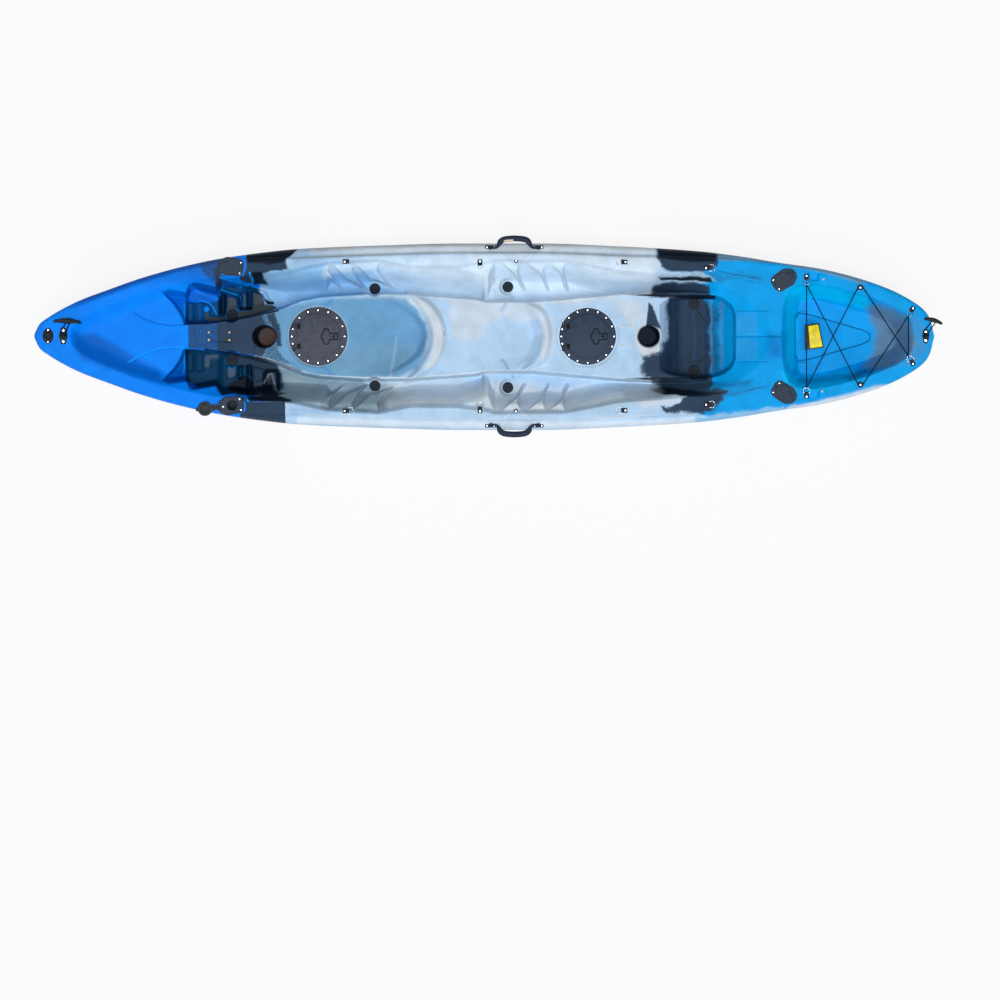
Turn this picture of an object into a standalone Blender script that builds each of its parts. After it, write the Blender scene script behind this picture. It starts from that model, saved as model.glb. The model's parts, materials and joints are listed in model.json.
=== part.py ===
"""Sit-on-top kayak with two main seats and a small middle seat.

The boat lies along X with its bow at -X and its stern at +X, and stands on Z = 0.
Lengths are metres. A station is a distance from the bow's tip, measured aft.
"""

import math

import bmesh
import bpy
from mathutils import Matrix, Vector

# Hull. The tables below are drawn for a boat of 3.95 m by 0.824 m, and follow these two sizes
HULL_LENGTH = 3.95
BEAM = 0.824
STRETCH = HULL_LENGTH / 3.95
WIDEN = BEAM / 0.824


def planned(rows, station=0, breadth=None):
    """A table with its stations, and a breadth if it has one, carried over to the boat's own size."""
    made = []
    for row in rows:
        row = list(row)
        row[station] *= STRETCH
        if breadth is not None:
            row[breadth] *= WIDEN
        made.append(tuple(row))
    return tuple(made)


WALL = 0.004
MID_RIM_HEIGHT = 0.295
BOW_RISE = 0.070
STERN_RISE = 0.035
BOW_KEEL_RISE = 0.20
STERN_KEEL_RISE = 0.12
BOW_ROCKER_LENGTH = 0.75
STERN_ROCKER_LENGTH = 0.70
SEAM_DROP = 0.085
END_INSET = 0.012
LEDGE_INSET = 0.047
LEDGE_DROP = 0.026
LEDGE_SLOPE = 0.006
STERN_OVERHANG = 0.04086
GAP = 0.0003
SEAM_GAP = 0.0003

# Wells
BASIN_DEPTH = 0.032
TROUGH_FLOOR = 0.105
BOW_TROUGH_FLOOR = 0.120
SEAT_FLOOR = 0.160
REAR_SEAT_FLOOR = 0.125
TANKWELL_FLOOR = 0.170
WELL_DRAFT = 0.004
WELL_FILLET = 0.006
BASIN_FILLET = 0.018
SEAT_FILLET = 0.030
CUTTER_RISE = 0.06
CUP_RADIUS = 0.050
CUP_FLOOR_RADIUS = 0.040
CUP_DEPTH = 0.085
FRONT_CUP_STATION = 1.005 * STRETCH
REAR_CUP_STATION = 2.700 * STRETCH

# Seat backs: raised crescents behind the front and middle seats
BACK_HEIGHT = 0.030
FRONT_BACK_STATION = 1.772 * STRETCH
FRONT_BACK_HALF_SPAN = 0.158 * WIDEN
FRONT_BACK_HALF_WIDTH = 0.034
FRONT_BACK_CURVE = 3.2
MIDDLE_BACK_STATION = 2.253 * STRETCH
MIDDLE_BACK_HALF_SPAN = 0.128 * WIDEN
MIDDLE_BACK_HALF_WIDTH = 0.024
MIDDLE_BACK_CURVE = 2.2

# Scuppers
SCUPPER_BORE = 0.038
SCUPPER_WALL = 0.004
SCUPPER_HEAD = 0.049
SCUPPER_HEAD_HEIGHT = 0.006
SCUPPER_SHANK = 0.035
SCUPPER_DEPTH = 0.030
SCUPPERS = planned((
    ("bow", 0.858, 0.100), ("front", 1.489, 0.215), ("middle", 2.078, 0.223), ("rear", 2.903, 0.147),
), station=1, breadth=2)

# Hatches
FRONT_HATCH_STATION = 1.2414 * STRETCH
REAR_HATCH_STATION = 2.4297 * STRETCH
HATCH_FLANGE_RADIUS = 0.125
HATCH_FLANGE_THICKNESS = 0.007
HATCH_FLANGE_EDGE = 0.003
HATCH_NECK_RADIUS = 0.0985
HATCH_CLEAR_RADIUS = 0.093
HATCH_NECK_DEPTH = 0.022
HATCH_SEAT_DEPTH = 0.004
HATCH_SEAT_MARGIN = 0.005
LID_RADIUS = 0.0985
LID_THICKNESS = 0.012
LID_SKIRT_DEPTH = 0.014
LID_SKIRT_WALL = 0.006
LID_SKIRT_CLEARANCE = 0.002
HINGE_REACH = 0.1055
HINGE_SPREAD = 0.044
HINGE_BARREL_RADIUS = 0.0045
HINGE_BARREL_LENGTH = 0.014
HINGE_PIN_RADIUS = 0.0022
HINGE_PIN_LENGTH = 0.009
HINGE_CLEARANCE = 0.0005
EAR_WIDTH = 0.006
LATCH_PIVOT_REACH = 0.068
LATCH_BAR_REACH = 0.024
LATCH_BAR_LENGTH = 0.062
LATCH_BAR_WIDTH = 0.016
LATCH_STEM_WIDTH = 0.012
LATCH_THICKNESS = 0.005
LATCH_PIN_RADIUS = 0.0018
LATCH_PIN_LENGTH = 0.003
LATCH_CLEARANCE = 0.001

# Rod holders: station, distance from the centre line, and heading of the cap's hinge
BOW_HOLDER = (0.864 * STRETCH, 0.305 * WIDEN, math.radians(173.0))
STERN_HOLDER = (3.290 * STRETCH, 0.2467 * WIDEN, math.radians(33.0))
HOLDER_FRONT = 0.046
HOLDER_BACK = 0.046
HOLDER_HALF_NARROW = 0.027
HOLDER_HALF_WIDE = 0.036
HOLDER_BEAK_REACH = 0.067
HOLDER_BEAK_HALF_WIDTH = 0.016
HOLDER_CORNER = 0.012
HOLDER_THICKNESS = 0.005
HOLDER_BORE_RADIUS = 0.022
HOLDER_TUBE_WALL = 0.004
HOLDER_TUBE_LENGTH = 0.150
HOLDER_HOLE_CLEARANCE = 0.0012
CAP_RADIUS = 0.028
CAP_THICKNESS = 0.004
CAP_PLUG_CLEARANCE = 0.002
CAP_PLUG_DEPTH = 0.008
CAP_STRAP_WIDTH = 0.018
CAP_STRAP_THICKNESS = 0.003
CAP_HINGE_REACH = 0.060
CAP_KNUCKLE_RADIUS = 0.0024
CAP_PIN_RADIUS = 0.0012
CAP_PIN_LENGTH = 0.0035
CAP_EAR_WIDTH = 0.004
CAP_TAB_LENGTH = 0.010
CAP_TAB_WIDTH = 0.014
OPEN_CAP_ANGLE = math.radians(182.0)

# Lashing rings under their saddles: name, station, inset from the rim edge, heading to starboard
RING_RADIUS = 0.015
RING_OFFSET = 0.009
RING_WIRE = 0.0014
RING_POINTS = 11
SADDLE_HALF_WIDTH = 0.010
SADDLE_HEEL = 0.023
SADDLE_NOSE = 0.0045
SADDLE_HEIGHT = 0.0066
SADDLE_HEEL_HEIGHT = 0.004
SADDLE_CLEARANCE = 0.0005
RING_BAR_HEIGHT = 0.0036
RING_DROOP = math.radians(-4.0)
LOADED_RING_LIFT = math.radians(8.0)
FREE_RINGS = planned((
    ("front", 1.374, 0.021, 0.0),
    ("middle", 1.955, 0.050, -90.0),
    ("rear", 2.581, 0.025, 180.0),
    ("seat", 2.966, 0.041, 0.0),
), station=1)
BUNGEE_RINGS = planned((("well_front", 3.393, 0.046, -90.0), ("well_rear", 3.853, 0.039, -120.0)), station=1)

# Bungee and its knobs
BUNGEE_RADIUS = 0.0025
BUNGEE_CLEARANCE = 0.0006
CROSSING_LIFT = 0.0032
KNOB_STATION = 3.6295 * STRETCH
KNOB_INSET = 0.030
KNOB_POST_RADIUS = 0.006
KNOB_POST_HEIGHT = 0.010
KNOB_HEAD_RADIUS = 0.0125
KNOB_HEAD_THICKNESS = 0.005

# Carry handles at the sides
HANDLE_MIDDLE_STATION = 2.107 * STRETCH
HANDLE_HALF_SPAN = 0.1035
HANDLE_INSET = 0.022
HANDLE_LIFT = 0.007
HANDLE_REACH = 0.046
HANDLE_HALF_WIDTH = 0.010
HANDLE_HALF_THICKNESS = 0.0055
HANDLE_END_RADIUS = 0.0045
HANDLE_END_LENGTH = 0.012
FINGER_RECESS_HALF_LENGTH = 0.086
FINGER_RECESS_FLAT = 0.055
FINGER_RECESS_SHARE = 0.42

# Towing handles: eye's station, bar's length, distance from the eye across and along, and skew
BOW_TOGGLE = (0.1234 * STRETCH, 0.126, 0.066, 0.018, math.radians(-3.0))
STERN_TOGGLE = (3.917 * STRETCH, 0.084, 0.070, 0.0347, math.radians(-16.0))
TOGGLE_RADIUS = 0.0085
TOGGLE_END_RADIUS = 0.0065
TOGGLE_BOW = 0.006
TOGGLE_HOLE_DEPTH = 0.008
TOGGLE_HOLE_SPREAD = 0.0085
TOW_CORD_RADIUS = 0.0025
TOW_CORD_CLEARANCE = 0.0006
EYE_BASE_THICKNESS = 0.004
EYE_ARCH_HALF_LENGTH = 0.007
EYE_ARCH_HALF_WIDTH = 0.012
EYE_ARCH_HEIGHT = 0.015
EYE_TUNNEL_HALF_WIDTH = 0.005
EYE_TUNNEL_HEIGHT = 0.0118
EYE_AXIS_HEIGHT = 0.0068
BOW_EYE_HALF_SIZE = (0.020, 0.037)
STERN_EYE_HALF_SIZE = (0.016, 0.032)

# Drain plug
DRAIN_STATION = 0.0565 * STRETCH
DRAIN_HEAD_RADIUS = 0.0165
DRAIN_HEAD_HEIGHT = 0.006
DRAIN_GRIP_HEIGHT = 0.006
DRAIN_GRIP_HALF_WIDTH = 0.003
DRAIN_SHANK_RADIUS = 0.011
DRAIN_SHANK_LENGTH = 0.016
DRAIN_CLEARANCE = 0.0008

# Half-breadth at the seam, at stations from the bow
OFFSETS = planned((
    (0.000, 0.022),
    (0.017, 0.055),
    (0.052, 0.082),
    (0.105, 0.115),
    (0.193, 0.159),
    (0.325, 0.209),
    (0.457, 0.256),
    (0.633, 0.306),
    (0.810, 0.344),
    (0.986, 0.370),
    (1.162, 0.388),
    (1.515, 0.403),
    (1.867, 0.412),
    (2.220, 0.412),
    (2.572, 0.399),
    (2.924, 0.377),
    (3.101, 0.355),
    (3.277, 0.326),
    (3.453, 0.300),
    (3.629, 0.256),
    (3.770, 0.205),
    (3.850, 0.163),
    (3.903, 0.126),
    (3.929, 0.095),
    (3.945, 0.052),
    (3.950, 0.025),
), breadth=1)

# Width of the side ledge between the seam and the rim edge
LEDGES = planned((
    (0.0, END_INSET), (0.90, END_INSET), (1.08, LEDGE_INSET), (2.75, LEDGE_INSET), (3.20, END_INSET), (3.95, END_INSET),
))

# Width of the gunwale's flat top at the basin, and the basin's depth as a share of its full depth
BASIN = planned((
    (0.180, 0.095, 0.15),
    (0.205, 0.078, 0.70),
    (0.281, 0.072, 0.85),
    (0.400, 0.076, 1.00),
    (0.545, 0.078, 1.00),
    (0.686, 0.082, 1.00),
    (0.942, 0.080, 1.00),
    (1.250, 0.062, 1.00),
    (1.515, 0.056, 1.00),
    (1.867, 0.064, 1.00),
    (1.986, 0.085, 1.00),
    (2.200, 0.075, 1.00),
    (2.444, 0.055, 1.00),
    (2.559, 0.074, 1.00),
    (2.753, 0.072, 1.00),
    (3.050, 0.066, 1.00),
    (3.120, 0.095, 1.00),
    (3.165, 0.150, 1.00),
    (3.185, 0.215, 0.60),
))

# Leg troughs: station, inner edge, gunwale width beside it, floor
FRONT_TROUGH = planned((
    (0.420, 0.098, 0.108, 0.290),
    (0.545, 0.056, 0.085, 0.245),
    (0.640, 0.044, 0.112, 0.195),
    (0.686, 0.040, 0.094, 0.170),
    (0.770, 0.046, 0.104, BOW_TROUGH_FLOOR),
    (0.818, 0.052, 0.092, BOW_TROUGH_FLOOR),
    (0.910, 0.064, 0.100, BOW_TROUGH_FLOOR),
    (1.000, 0.082, 0.090, TROUGH_FLOOR),
    (1.074, 0.106, 0.078, TROUGH_FLOOR),
    (1.162, 0.138, 0.072, TROUGH_FLOOR),
    (1.270, 0.165, 0.070, TROUGH_FLOOR),
    (1.292, 0.168, 0.028, TROUGH_FLOOR),
    (1.385, 0.172, 0.074, TROUGH_FLOOR),
    (1.404, 0.173, 0.030, TROUGH_FLOOR),
    (1.488, 0.174, 0.068, TROUGH_FLOOR),
    (1.507, 0.174, 0.024, TROUGH_FLOOR),
    (1.600, 0.176, 0.062, TROUGH_FLOOR),
    (1.740, 0.184, 0.072, TROUGH_FLOOR),
    (1.867, 0.176, 0.074, TROUGH_FLOOR),
    (1.940, 0.166, 0.086, TROUGH_FLOOR),
    (1.985, 0.162, 0.108, 0.115),
    (2.010, 0.162, 0.145, 0.145),
    (2.022, 0.164, 0.178, 0.220),
), breadth=1)
REAR_TROUGH = planned((
    (2.014, 0.250, 0.080, 0.220),
    (2.030, 0.216, 0.030, 0.140),
    (2.046, 0.176, 0.036, TROUGH_FLOOR),
    (2.112, 0.158, 0.084, TROUGH_FLOOR),
    (2.132, 0.154, 0.100, TROUGH_FLOOR),
    (2.151, 0.152, 0.034, TROUGH_FLOOR),
    (2.220, 0.148, 0.086, TROUGH_FLOOR),
    (2.236, 0.148, 0.096, TROUGH_FLOOR),
    (2.254, 0.150, 0.042, TROUGH_FLOOR),
    (2.310, 0.152, 0.076, TROUGH_FLOOR),
    (2.321, 0.154, 0.082, TROUGH_FLOOR),
    (2.338, 0.156, 0.030, TROUGH_FLOOR),
    (2.380, 0.164, 0.044, TROUGH_FLOOR),
    (2.444, 0.174, 0.066, TROUGH_FLOOR),
    (2.559, 0.184, 0.084, TROUGH_FLOOR),
    (2.690, 0.188, 0.086, TROUGH_FLOOR),
    (2.745, 0.192, 0.096, 0.130),
    (2.775, 0.198, 0.116, 0.210),
), breadth=1)

# Seat pans and tankwell: station, half-width, floor
FRONT_SEAT = planned((
    (1.375, 0.080, 0.245),
    (1.410, 0.120, 0.215),
    (1.480, 0.146, 0.175),
    (1.560, 0.150, SEAT_FLOOR),
    (1.650, 0.138, SEAT_FLOOR),
    (1.690, 0.116, 0.180),
    (1.712, 0.086, 0.210),
    (1.722, 0.060, 0.235),
), breadth=1)
MIDDLE_SEAT = planned((
    (1.952, 0.080, 0.240),
    (1.975, 0.116, 0.205),
    (2.030, 0.134, 0.172),
    (2.100, 0.132, SEAT_FLOOR),
    (2.170, 0.118, SEAT_FLOOR),
    (2.203, 0.096, 0.190),
    (2.216, 0.070, 0.235),
), breadth=1)
REAR_SEAT = planned((
    (2.785, 0.130, 0.235),
    (2.805, 0.170, 0.180),
    (2.850, 0.186, REAR_SEAT_FLOOR),
    (2.960, 0.186, REAR_SEAT_FLOOR),
    (3.020, 0.174, 0.140),
    (3.060, 0.150, 0.165),
    (3.080, 0.125, 0.230),
), breadth=1)
TANKWELL = planned((
    (3.278, 0.060, 0.215),
    (3.300, 0.122, 0.180),
    (3.322, 0.176, TANKWELL_FLOOR),
    (3.358, 0.218, TANKWELL_FLOOR),
    (3.400, 0.238, TANKWELL_FLOOR),
    (3.453, 0.240, TANKWELL_FLOOR),
    (3.629, 0.202, TANKWELL_FLOOR),
    (3.770, 0.148, 0.182),
    (3.840, 0.112, 0.205),
    (3.872, 0.082, 0.240),
    (3.885, 0.056, 0.275),
), breadth=1)

# Sections of the bottom: share of the half-breadth, and share of the height from keel to seam
FLAT_SECTION = ((0.0, 0.0), (0.30, 0.0), (0.62, 0.030), (0.80, 0.10), (0.92, 0.35), (0.985, 0.72), (1.0, 1.0))
VEE_SECTION = ((0.0, 0.0), (0.30, 0.22), (0.62, 0.50), (0.80, 0.66), (0.92, 0.80), (0.985, 0.92), (1.0, 1.0))
BOW_VEE_START = 0.95 * STRETCH
STERN_VEE_START = 3.10 * STRETCH
STERN_VEE_SHARE = 0.7

MID_STATION = HULL_LENGTH / 2
ORIGIN_STATION = (HULL_LENGTH + STERN_OVERHANG) / 2


def clear_scene():
    for item in list(bpy.data.objects):
        bpy.data.objects.remove(item, do_unlink=True)


def new_collection(name):
    made = bpy.data.collections.new(name)
    bpy.context.scene.collection.children.link(made)
    return made


def new_material(name, color, roughness, metallic=0.0):
    made = bpy.data.materials.new(name)
    made.use_nodes = True
    shader = made.node_tree.nodes["Principled BSDF"]
    shader.inputs["Base Color"].default_value = (*color, 1.0)
    shader.inputs["Roughness"].default_value = roughness
    shader.inputs["Metallic"].default_value = metallic
    return made


def blend_in_table(table, station, column):
    """The value of a table's column at a station, on straight lines between its rows."""
    if station <= table[0][0]:
        return table[0][column]
    for low, high in zip(table, table[1:]):
        if station <= high[0]:
            share = (station - low[0]) / (high[0] - low[0])
            return low[column] + share * (high[column] - low[column])
    return table[-1][column]


STATIONS = [(row[0], row[1]) for row in OFFSETS]


def smooth_rim_height(station):
    reach = (station - MID_STATION) / MID_STATION
    rise = BOW_RISE if reach < 0 else STERN_RISE
    return MID_RIM_HEIGHT + rise * reach * reach


RIM_HEIGHTS = [(station, smooth_rim_height(station)) for station, _ in STATIONS]


def half_breadth(station):
    return blend_in_table(STATIONS, station, 1)


def ledge_inset(station):
    return min(blend_in_table(LEDGES, station, 1), 0.5 * half_breadth(station))


LEDGE_INSETS = [(station, ledge_inset(station)) for station, _ in STATIONS]


def rim_half(station):
    """Half the deck's width, to the rim edge."""
    return half_breadth(station) - blend_in_table(LEDGE_INSETS, station, 1)


def deck_height(station):
    return blend_in_table(RIM_HEIGHTS, station, 1)


def keel_height(station):
    bow = max(0.0, (BOW_ROCKER_LENGTH - station) / BOW_ROCKER_LENGTH)
    stern = max(0.0, (station - HULL_LENGTH + STERN_ROCKER_LENGTH) / STERN_ROCKER_LENGTH)
    return BOW_KEEL_RISE * bow**2 + STERN_KEEL_RISE * stern**2


def vee_share(station):
    bow = max(0.0, (BOW_VEE_START - station) / BOW_VEE_START)
    stern = max(0.0, (station - STERN_VEE_START) / (HULL_LENGTH - STERN_VEE_START))
    return min(1.0, 1.4 * bow) + STERN_VEE_SHARE * stern


def at(station, y, z):
    """A point in the object's own frame."""
    return Vector((station - ORIGIN_STATION, y, z))


def finger_recess(station):
    """How far the flank is scooped out behind the carry handles, from 0 to 1."""
    reach = abs(station - HANDLE_MIDDLE_STATION)
    share = (FINGER_RECESS_HALF_LENGTH - reach) / (FINGER_RECESS_HALF_LENGTH - FINGER_RECESS_FLAT)
    return min(1.0, max(0.0, share))


def upper_ring(station):
    """The deck's outline in the plane of a station, from the seam over the top, as (y, z)."""
    half = half_breadth(station)
    inset = half - rim_half(station)
    top = deck_height(station)
    drop = LEDGE_DROP * inset / LEDGE_INSET + 0.004
    scoop = 0.35 + FINGER_RECESS_SHARE * finger_recess(station)
    side = [
        (half, top - SEAM_DROP + SEAM_GAP / 2),
        (half - scoop * inset, top - drop - LEDGE_SLOPE),
        (half - 0.85 * inset, top - drop),
        (half - inset, top),
    ]
    return side + [(-y, z) for y, z in reversed(side)]


def lower_ring(station):
    """The bottom's outline in the plane of a station, from seam to seam under the keel."""
    half = half_breadth(station)
    keel = keel_height(station)
    seam = smooth_rim_height(station) - SEAM_DROP - SEAM_GAP / 2
    vee = vee_share(station)
    side = []
    for flat, sharp in zip(FLAT_SECTION, VEE_SECTION):
        rise = (1 - vee) * flat[1] + vee * sharp[1]
        side.append((flat[0] * half, keel + rise * (seam - keel)))
    return [(-y, z) for y, z in reversed(side)] + side[1:]


def offset_outline(points, distance):
    """A closed outline moved outwards by a distance, square to each side. Negative moves it in."""
    area = sum(a[0] * b[1] - b[0] * a[1] for a, b in zip(points, points[1:] + points[:1]))
    turn = 1.0 if area > 0 else -1.0
    moved = []
    count = len(points)
    for i, point in enumerate(points):
        before = Vector(points[i - 1])
        here = Vector(point)
        after = Vector(points[(i + 1) % count])
        first = (here - before).normalized()
        second = (after - here).normalized()
        normal_a = Vector((first.y, -first.x)) * turn
        normal_b = Vector((second.y, -second.x)) * turn
        middle = (normal_a + normal_b).normalized()
        stretch = min(2.0, 1.0 / max(0.3, middle.dot(normal_a)))
        moved.append(tuple(here + middle * distance * stretch))
    return moved


def mesh_object(name, bm, collection):
    mesh = bpy.data.meshes.new(name)
    bmesh.ops.recalc_face_normals(bm, faces=bm.faces)
    bm.to_mesh(mesh)
    bm.free()
    made = bpy.data.objects.new(name, mesh)
    collection.objects.link(made)
    return made


def loft(name, rings, collection):
    """A closed solid through rings of equal count, each a list of points."""
    bm = bmesh.new()
    rows = [[bm.verts.new(point) for point in ring] for ring in rings]
    count = len(rings[0])
    for low, high in zip(rows, rows[1:]):
        for i in range(count):
            j = (i + 1) % count
            bm.faces.new((low[i], low[j], high[j], high[i]))
    bm.faces.new(rows[0])
    bm.faces.new(rows[-1])
    bmesh.ops.triangulate(bm, faces=bm.faces, quad_method="SHORT_EDGE")
    return mesh_object(name, bm, collection)


def section_loft(name, stations, ring_of, collection):
    rings = [[at(station, y, z) for y, z in ring_of(station)] for station in stations]
    return loft(name, rings, collection)


def add_boolean(target, other, operation):
    """Cuts or joins with one object, or with every object of a collection."""
    modifier = target.modifiers.new(operation.lower(), "BOOLEAN")
    modifier.operation = operation
    modifier.solver = "EXACT"
    if isinstance(other, bpy.types.Collection):
        modifier.operand_type = "COLLECTION"
        modifier.collection = other
    else:
        modifier.object = other


def hide_helpers(collection):
    for item in collection.all_objects:
        item.hide_render = True
        item.display_type = "WIRE"
    collection.hide_render = True


def cylinder(name, radius, low, high, collection, x=0.0, y=0.0, sides=20, top_radius=None):
    """A round solid along Z, with a wider or narrower top where one is given."""
    bm = bmesh.new()
    place = Matrix.Translation((x, y, (low + high) / 2))
    top = radius if top_radius is None else top_radius
    bmesh.ops.create_cone(
        bm, cap_ends=True, segments=sides, radius1=radius, radius2=top, depth=high - low, matrix=place
    )
    return mesh_object(name, bm, collection)


def cross_cylinder(name, radius, center, length, collection, axis="Y", sides=12):
    """A round solid along X or Y, around its centre."""
    bm = bmesh.new()
    turn = Matrix.Rotation(math.pi / 2, 4, "X" if axis == "Y" else "Y")
    bmesh.ops.create_cone(
        bm,
        cap_ends=True,
        segments=sides,
        radius1=radius,
        radius2=radius,
        depth=length,
        matrix=Matrix.Translation(center) @ turn,
    )
    return mesh_object(name, bm, collection)


def box(name, low, high, collection):
    bm = bmesh.new()
    size = Vector(high) - Vector(low)
    middle = (Vector(high) + Vector(low)) / 2
    bmesh.ops.create_cube(bm, size=1.0, matrix=Matrix.Translation(middle) @ Matrix.Diagonal((*size, 1.0)))
    return mesh_object(name, bm, collection)


def turned(name, profile, collection, steps=32):
    """A solid of revolution around Z from (radius, height) points.

    A profile that ends off the axis is closed on itself, as a ring.
    """
    bm = bmesh.new()
    rows = []
    for radius, height in profile:
        if radius == 0:
            rows.append([bm.verts.new((0.0, 0.0, height))] * steps)
            continue
        angles = [2 * math.pi * k / steps for k in range(steps)]
        rows.append([bm.verts.new((radius * math.cos(a), radius * math.sin(a), height)) for a in angles])
    pairs = list(zip(rows, rows[1:]))
    if profile[-1][0] > 0:
        pairs.append((rows[-1], rows[0]))
    for low, high in pairs:
        for i in range(steps):
            j = (i + 1) % steps
            corners = [low[i], low[j], high[j], high[i]]
            if low[i] is low[j]:
                corners = [low[i], high[j], high[i]]
            elif high[i] is high[j]:
                corners = [low[i], low[j], high[i]]
            bm.faces.new(corners)
    return mesh_object(name, bm, collection)


def plate(name, outline, low, high, collection):
    """A flat plate from an outline of (x, y) points."""
    bm = bmesh.new()
    face = bm.faces.new([bm.verts.new((x, y, low)) for x, y in outline])
    lifted = bmesh.ops.extrude_face_region(bm, geom=[face])
    moved = [item for item in lifted["geom"] if isinstance(item, bmesh.types.BMVert)]
    bmesh.ops.translate(bm, verts=moved, vec=(0, 0, high - low))
    return mesh_object(name, bm, collection)


def tube(name, points, radius, collection, cyclic=False, resolution=2):
    """A cord or wire along points, as a curve with a round section."""
    curve = bpy.data.curves.new(name, "CURVE")
    curve.dimensions = "3D"
    curve.bevel_depth = radius
    curve.bevel_resolution = resolution
    curve.use_fill_caps = True
    spline = curve.splines.new("POLY")
    spline.points.add(len(points) - 1)
    for target, point in zip(spline.points, points):
        target.co = (*point, 1.0)
    spline.use_cyclic_u = cyclic
    made = bpy.data.objects.new(name, curve)
    collection.objects.link(made)
    return made


def rounded_outline(corners, radius, steps=4):
    """An outline with its corners rounded by arcs."""
    outline = []
    count = len(corners)
    for i, corner in enumerate(corners):
        here = Vector(corner)
        back = (Vector(corners[i - 1]) - here).normalized()
        ahead = (Vector(corners[(i + 1) % count]) - here).normalized()
        half_angle = back.angle(ahead) / 2
        reach = radius / math.tan(half_angle)
        centre = here + (back + ahead).normalized() * (radius / math.sin(half_angle))
        start = here + back * reach - centre
        end = here + ahead * reach - centre
        sweep = start.angle_signed(end)
        for k in range(steps + 1):
            spin = Matrix.Rotation(-sweep * k / steps, 2)
            outline.append(tuple(centre + spin @ start))
    return outline


# Hull and deck


def well_section(inner, outer, floor, top, fillet, draft):
    """A well's section: an open-topped trough with drafted walls and bevelled floor corners."""
    room = (outer - inner) / 2
    foot = min(draft, 0.3 * room)
    corner = min(fillet, 0.5 * room, 0.5 * (top - floor))
    return [
        (inner, top),
        (outer, top),
        (outer - foot, floor + corner),
        (outer - foot - corner, floor),
        (inner + foot + corner, floor),
        (inner + foot, floor + corner),
    ]


def widest(table, station, column, reach, pick):
    values = [blend_in_table(table, station + shift, column) for shift in (-reach, 0.0, reach)]
    return pick(values)


def well_rings(table, grow, fillet, draft):
    """Rings of a well given as (station, inner, outer, floor), grown by a wall's thickness."""
    first, last = table[0][0] - grow, table[-1][0] + grow
    stations = [first] + [row[0] for row in table[1:-1]] + [last]
    rings = []
    for station in stations:
        inner = widest(table, station, 1, grow, min) - grow
        outer = widest(table, station, 2, grow, max) + grow
        floor = widest(table, station, 3, grow, min) - grow
        top = deck_height(station) + (CUTTER_RISE if grow == 0 else -WALL / 2)
        section = well_section(inner, outer, floor, top, fillet + grow, draft)
        rings.append([at(station, y, z) for y, z in section])
    return rings


def mirrored(rings):
    return [[Vector((point.x, -point.y, point.z)) for point in ring] for ring in rings]


def trough_table(rows):
    return [(station, inner, rim_half(station) - gunwale, floor) for station, inner, gunwale, floor in rows]


def symmetric_table(rows):
    return [(station, -half, half, floor) for station, half, floor in rows]


def basin_table():
    rows = []
    for station, gunwale, share in BASIN:
        half = rim_half(station) - gunwale
        rows.append((station, -half, half, deck_height(station) - share * BASIN_DEPTH))
    return rows


def basin_floor(station):
    return blend_in_table(basin_table(), station, 3)


def hatch_seat_height(station):
    reach = HATCH_FLANGE_RADIUS + HATCH_SEAT_MARGIN
    return min(basin_floor(station - reach), basin_floor(station), basin_floor(station + reach)) - HATCH_SEAT_DEPTH


def trough_floor(station):
    for rows in (FRONT_TROUGH, REAR_TROUGH):
        if rows[0][0] < station < rows[-1][0]:
            return blend_in_table(rows, station, 3)
    return blend_in_table(REAR_SEAT, station, 2)


def bottom_height(station, y):
    """Height of the outer bottom surface at a place."""
    ring = sorted(point for point in lower_ring(station) if point[0] >= 0)
    return blend_in_table(ring, abs(y), 1)


def add_well(name, table, blocks, cutters, fillet=WELL_FILLET, draft=WELL_DRAFT, both_sides=False):
    for grow, suffix, collection in ((WALL, "_wall", blocks), (0.0, "_cut", cutters)):
        rings = well_rings(table, grow, fillet, draft)
        loft(name + suffix, rings, collection)
        if both_sides:
            loft(name + "_port" + suffix, mirrored(rings), collection)


def add_cup(name, station, blocks, cutters):
    x = station - ORIGIN_STATION
    floor = basin_floor(station) - CUP_DEPTH
    top = deck_height(station)
    cylinder(
        name + "_wall", CUP_FLOOR_RADIUS + WALL, floor - WALL, top - BASIN_DEPTH / 2, blocks, x,
        top_radius=CUP_RADIUS + WALL, sides=24,
    )
    cylinder(name + "_cut", CUP_FLOOR_RADIUS, floor, top, cutters, x, top_radius=CUP_RADIUS, sides=24)


def add_hatch_seat(name, station, blocks, cutters):
    x = station - ORIGIN_STATION
    seat = hatch_seat_height(station)
    top = basin_floor(station)
    radius = HATCH_FLANGE_RADIUS + HATCH_SEAT_MARGIN
    cylinder(name + "_wall", radius + WALL, seat - WALL, top - WALL / 2, blocks, x, sides=32)
    cylinder(name + "_cut", radius, seat, top + CUTTER_RISE, cutters, x, sides=32)
    cylinder(name + "_hole", HATCH_NECK_RADIUS + 2 * GAP, seat - 2 * WALL, seat + WALL, cutters, x, sides=32)


def add_scupper(name, station, y, blocks, cutters, hull_cutters):
    """A drain tube from a well's floor down to the bottom, with its bore."""
    x = station - ORIGIN_STATION
    bore = SCUPPER_BORE / 2
    outer = bore + SCUPPER_WALL
    floor = trough_floor(station)
    foot = max(bottom_height(station + dx, abs(y) + dy) for dx in (-outer, outer) for dy in (-outer, outer))
    cylinder(name + "_tube", outer, foot + WALL + 2 * GAP, floor - WALL / 2, blocks, x, y, sides=16)
    cylinder(name + "_bore", bore, -0.01, floor + 0.01, cutters, x, y, sides=16)
    cylinder(name + "_outlet", bore, -0.01, foot + 2 * WALL, hull_cutters, x, y, sides=16)


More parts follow.
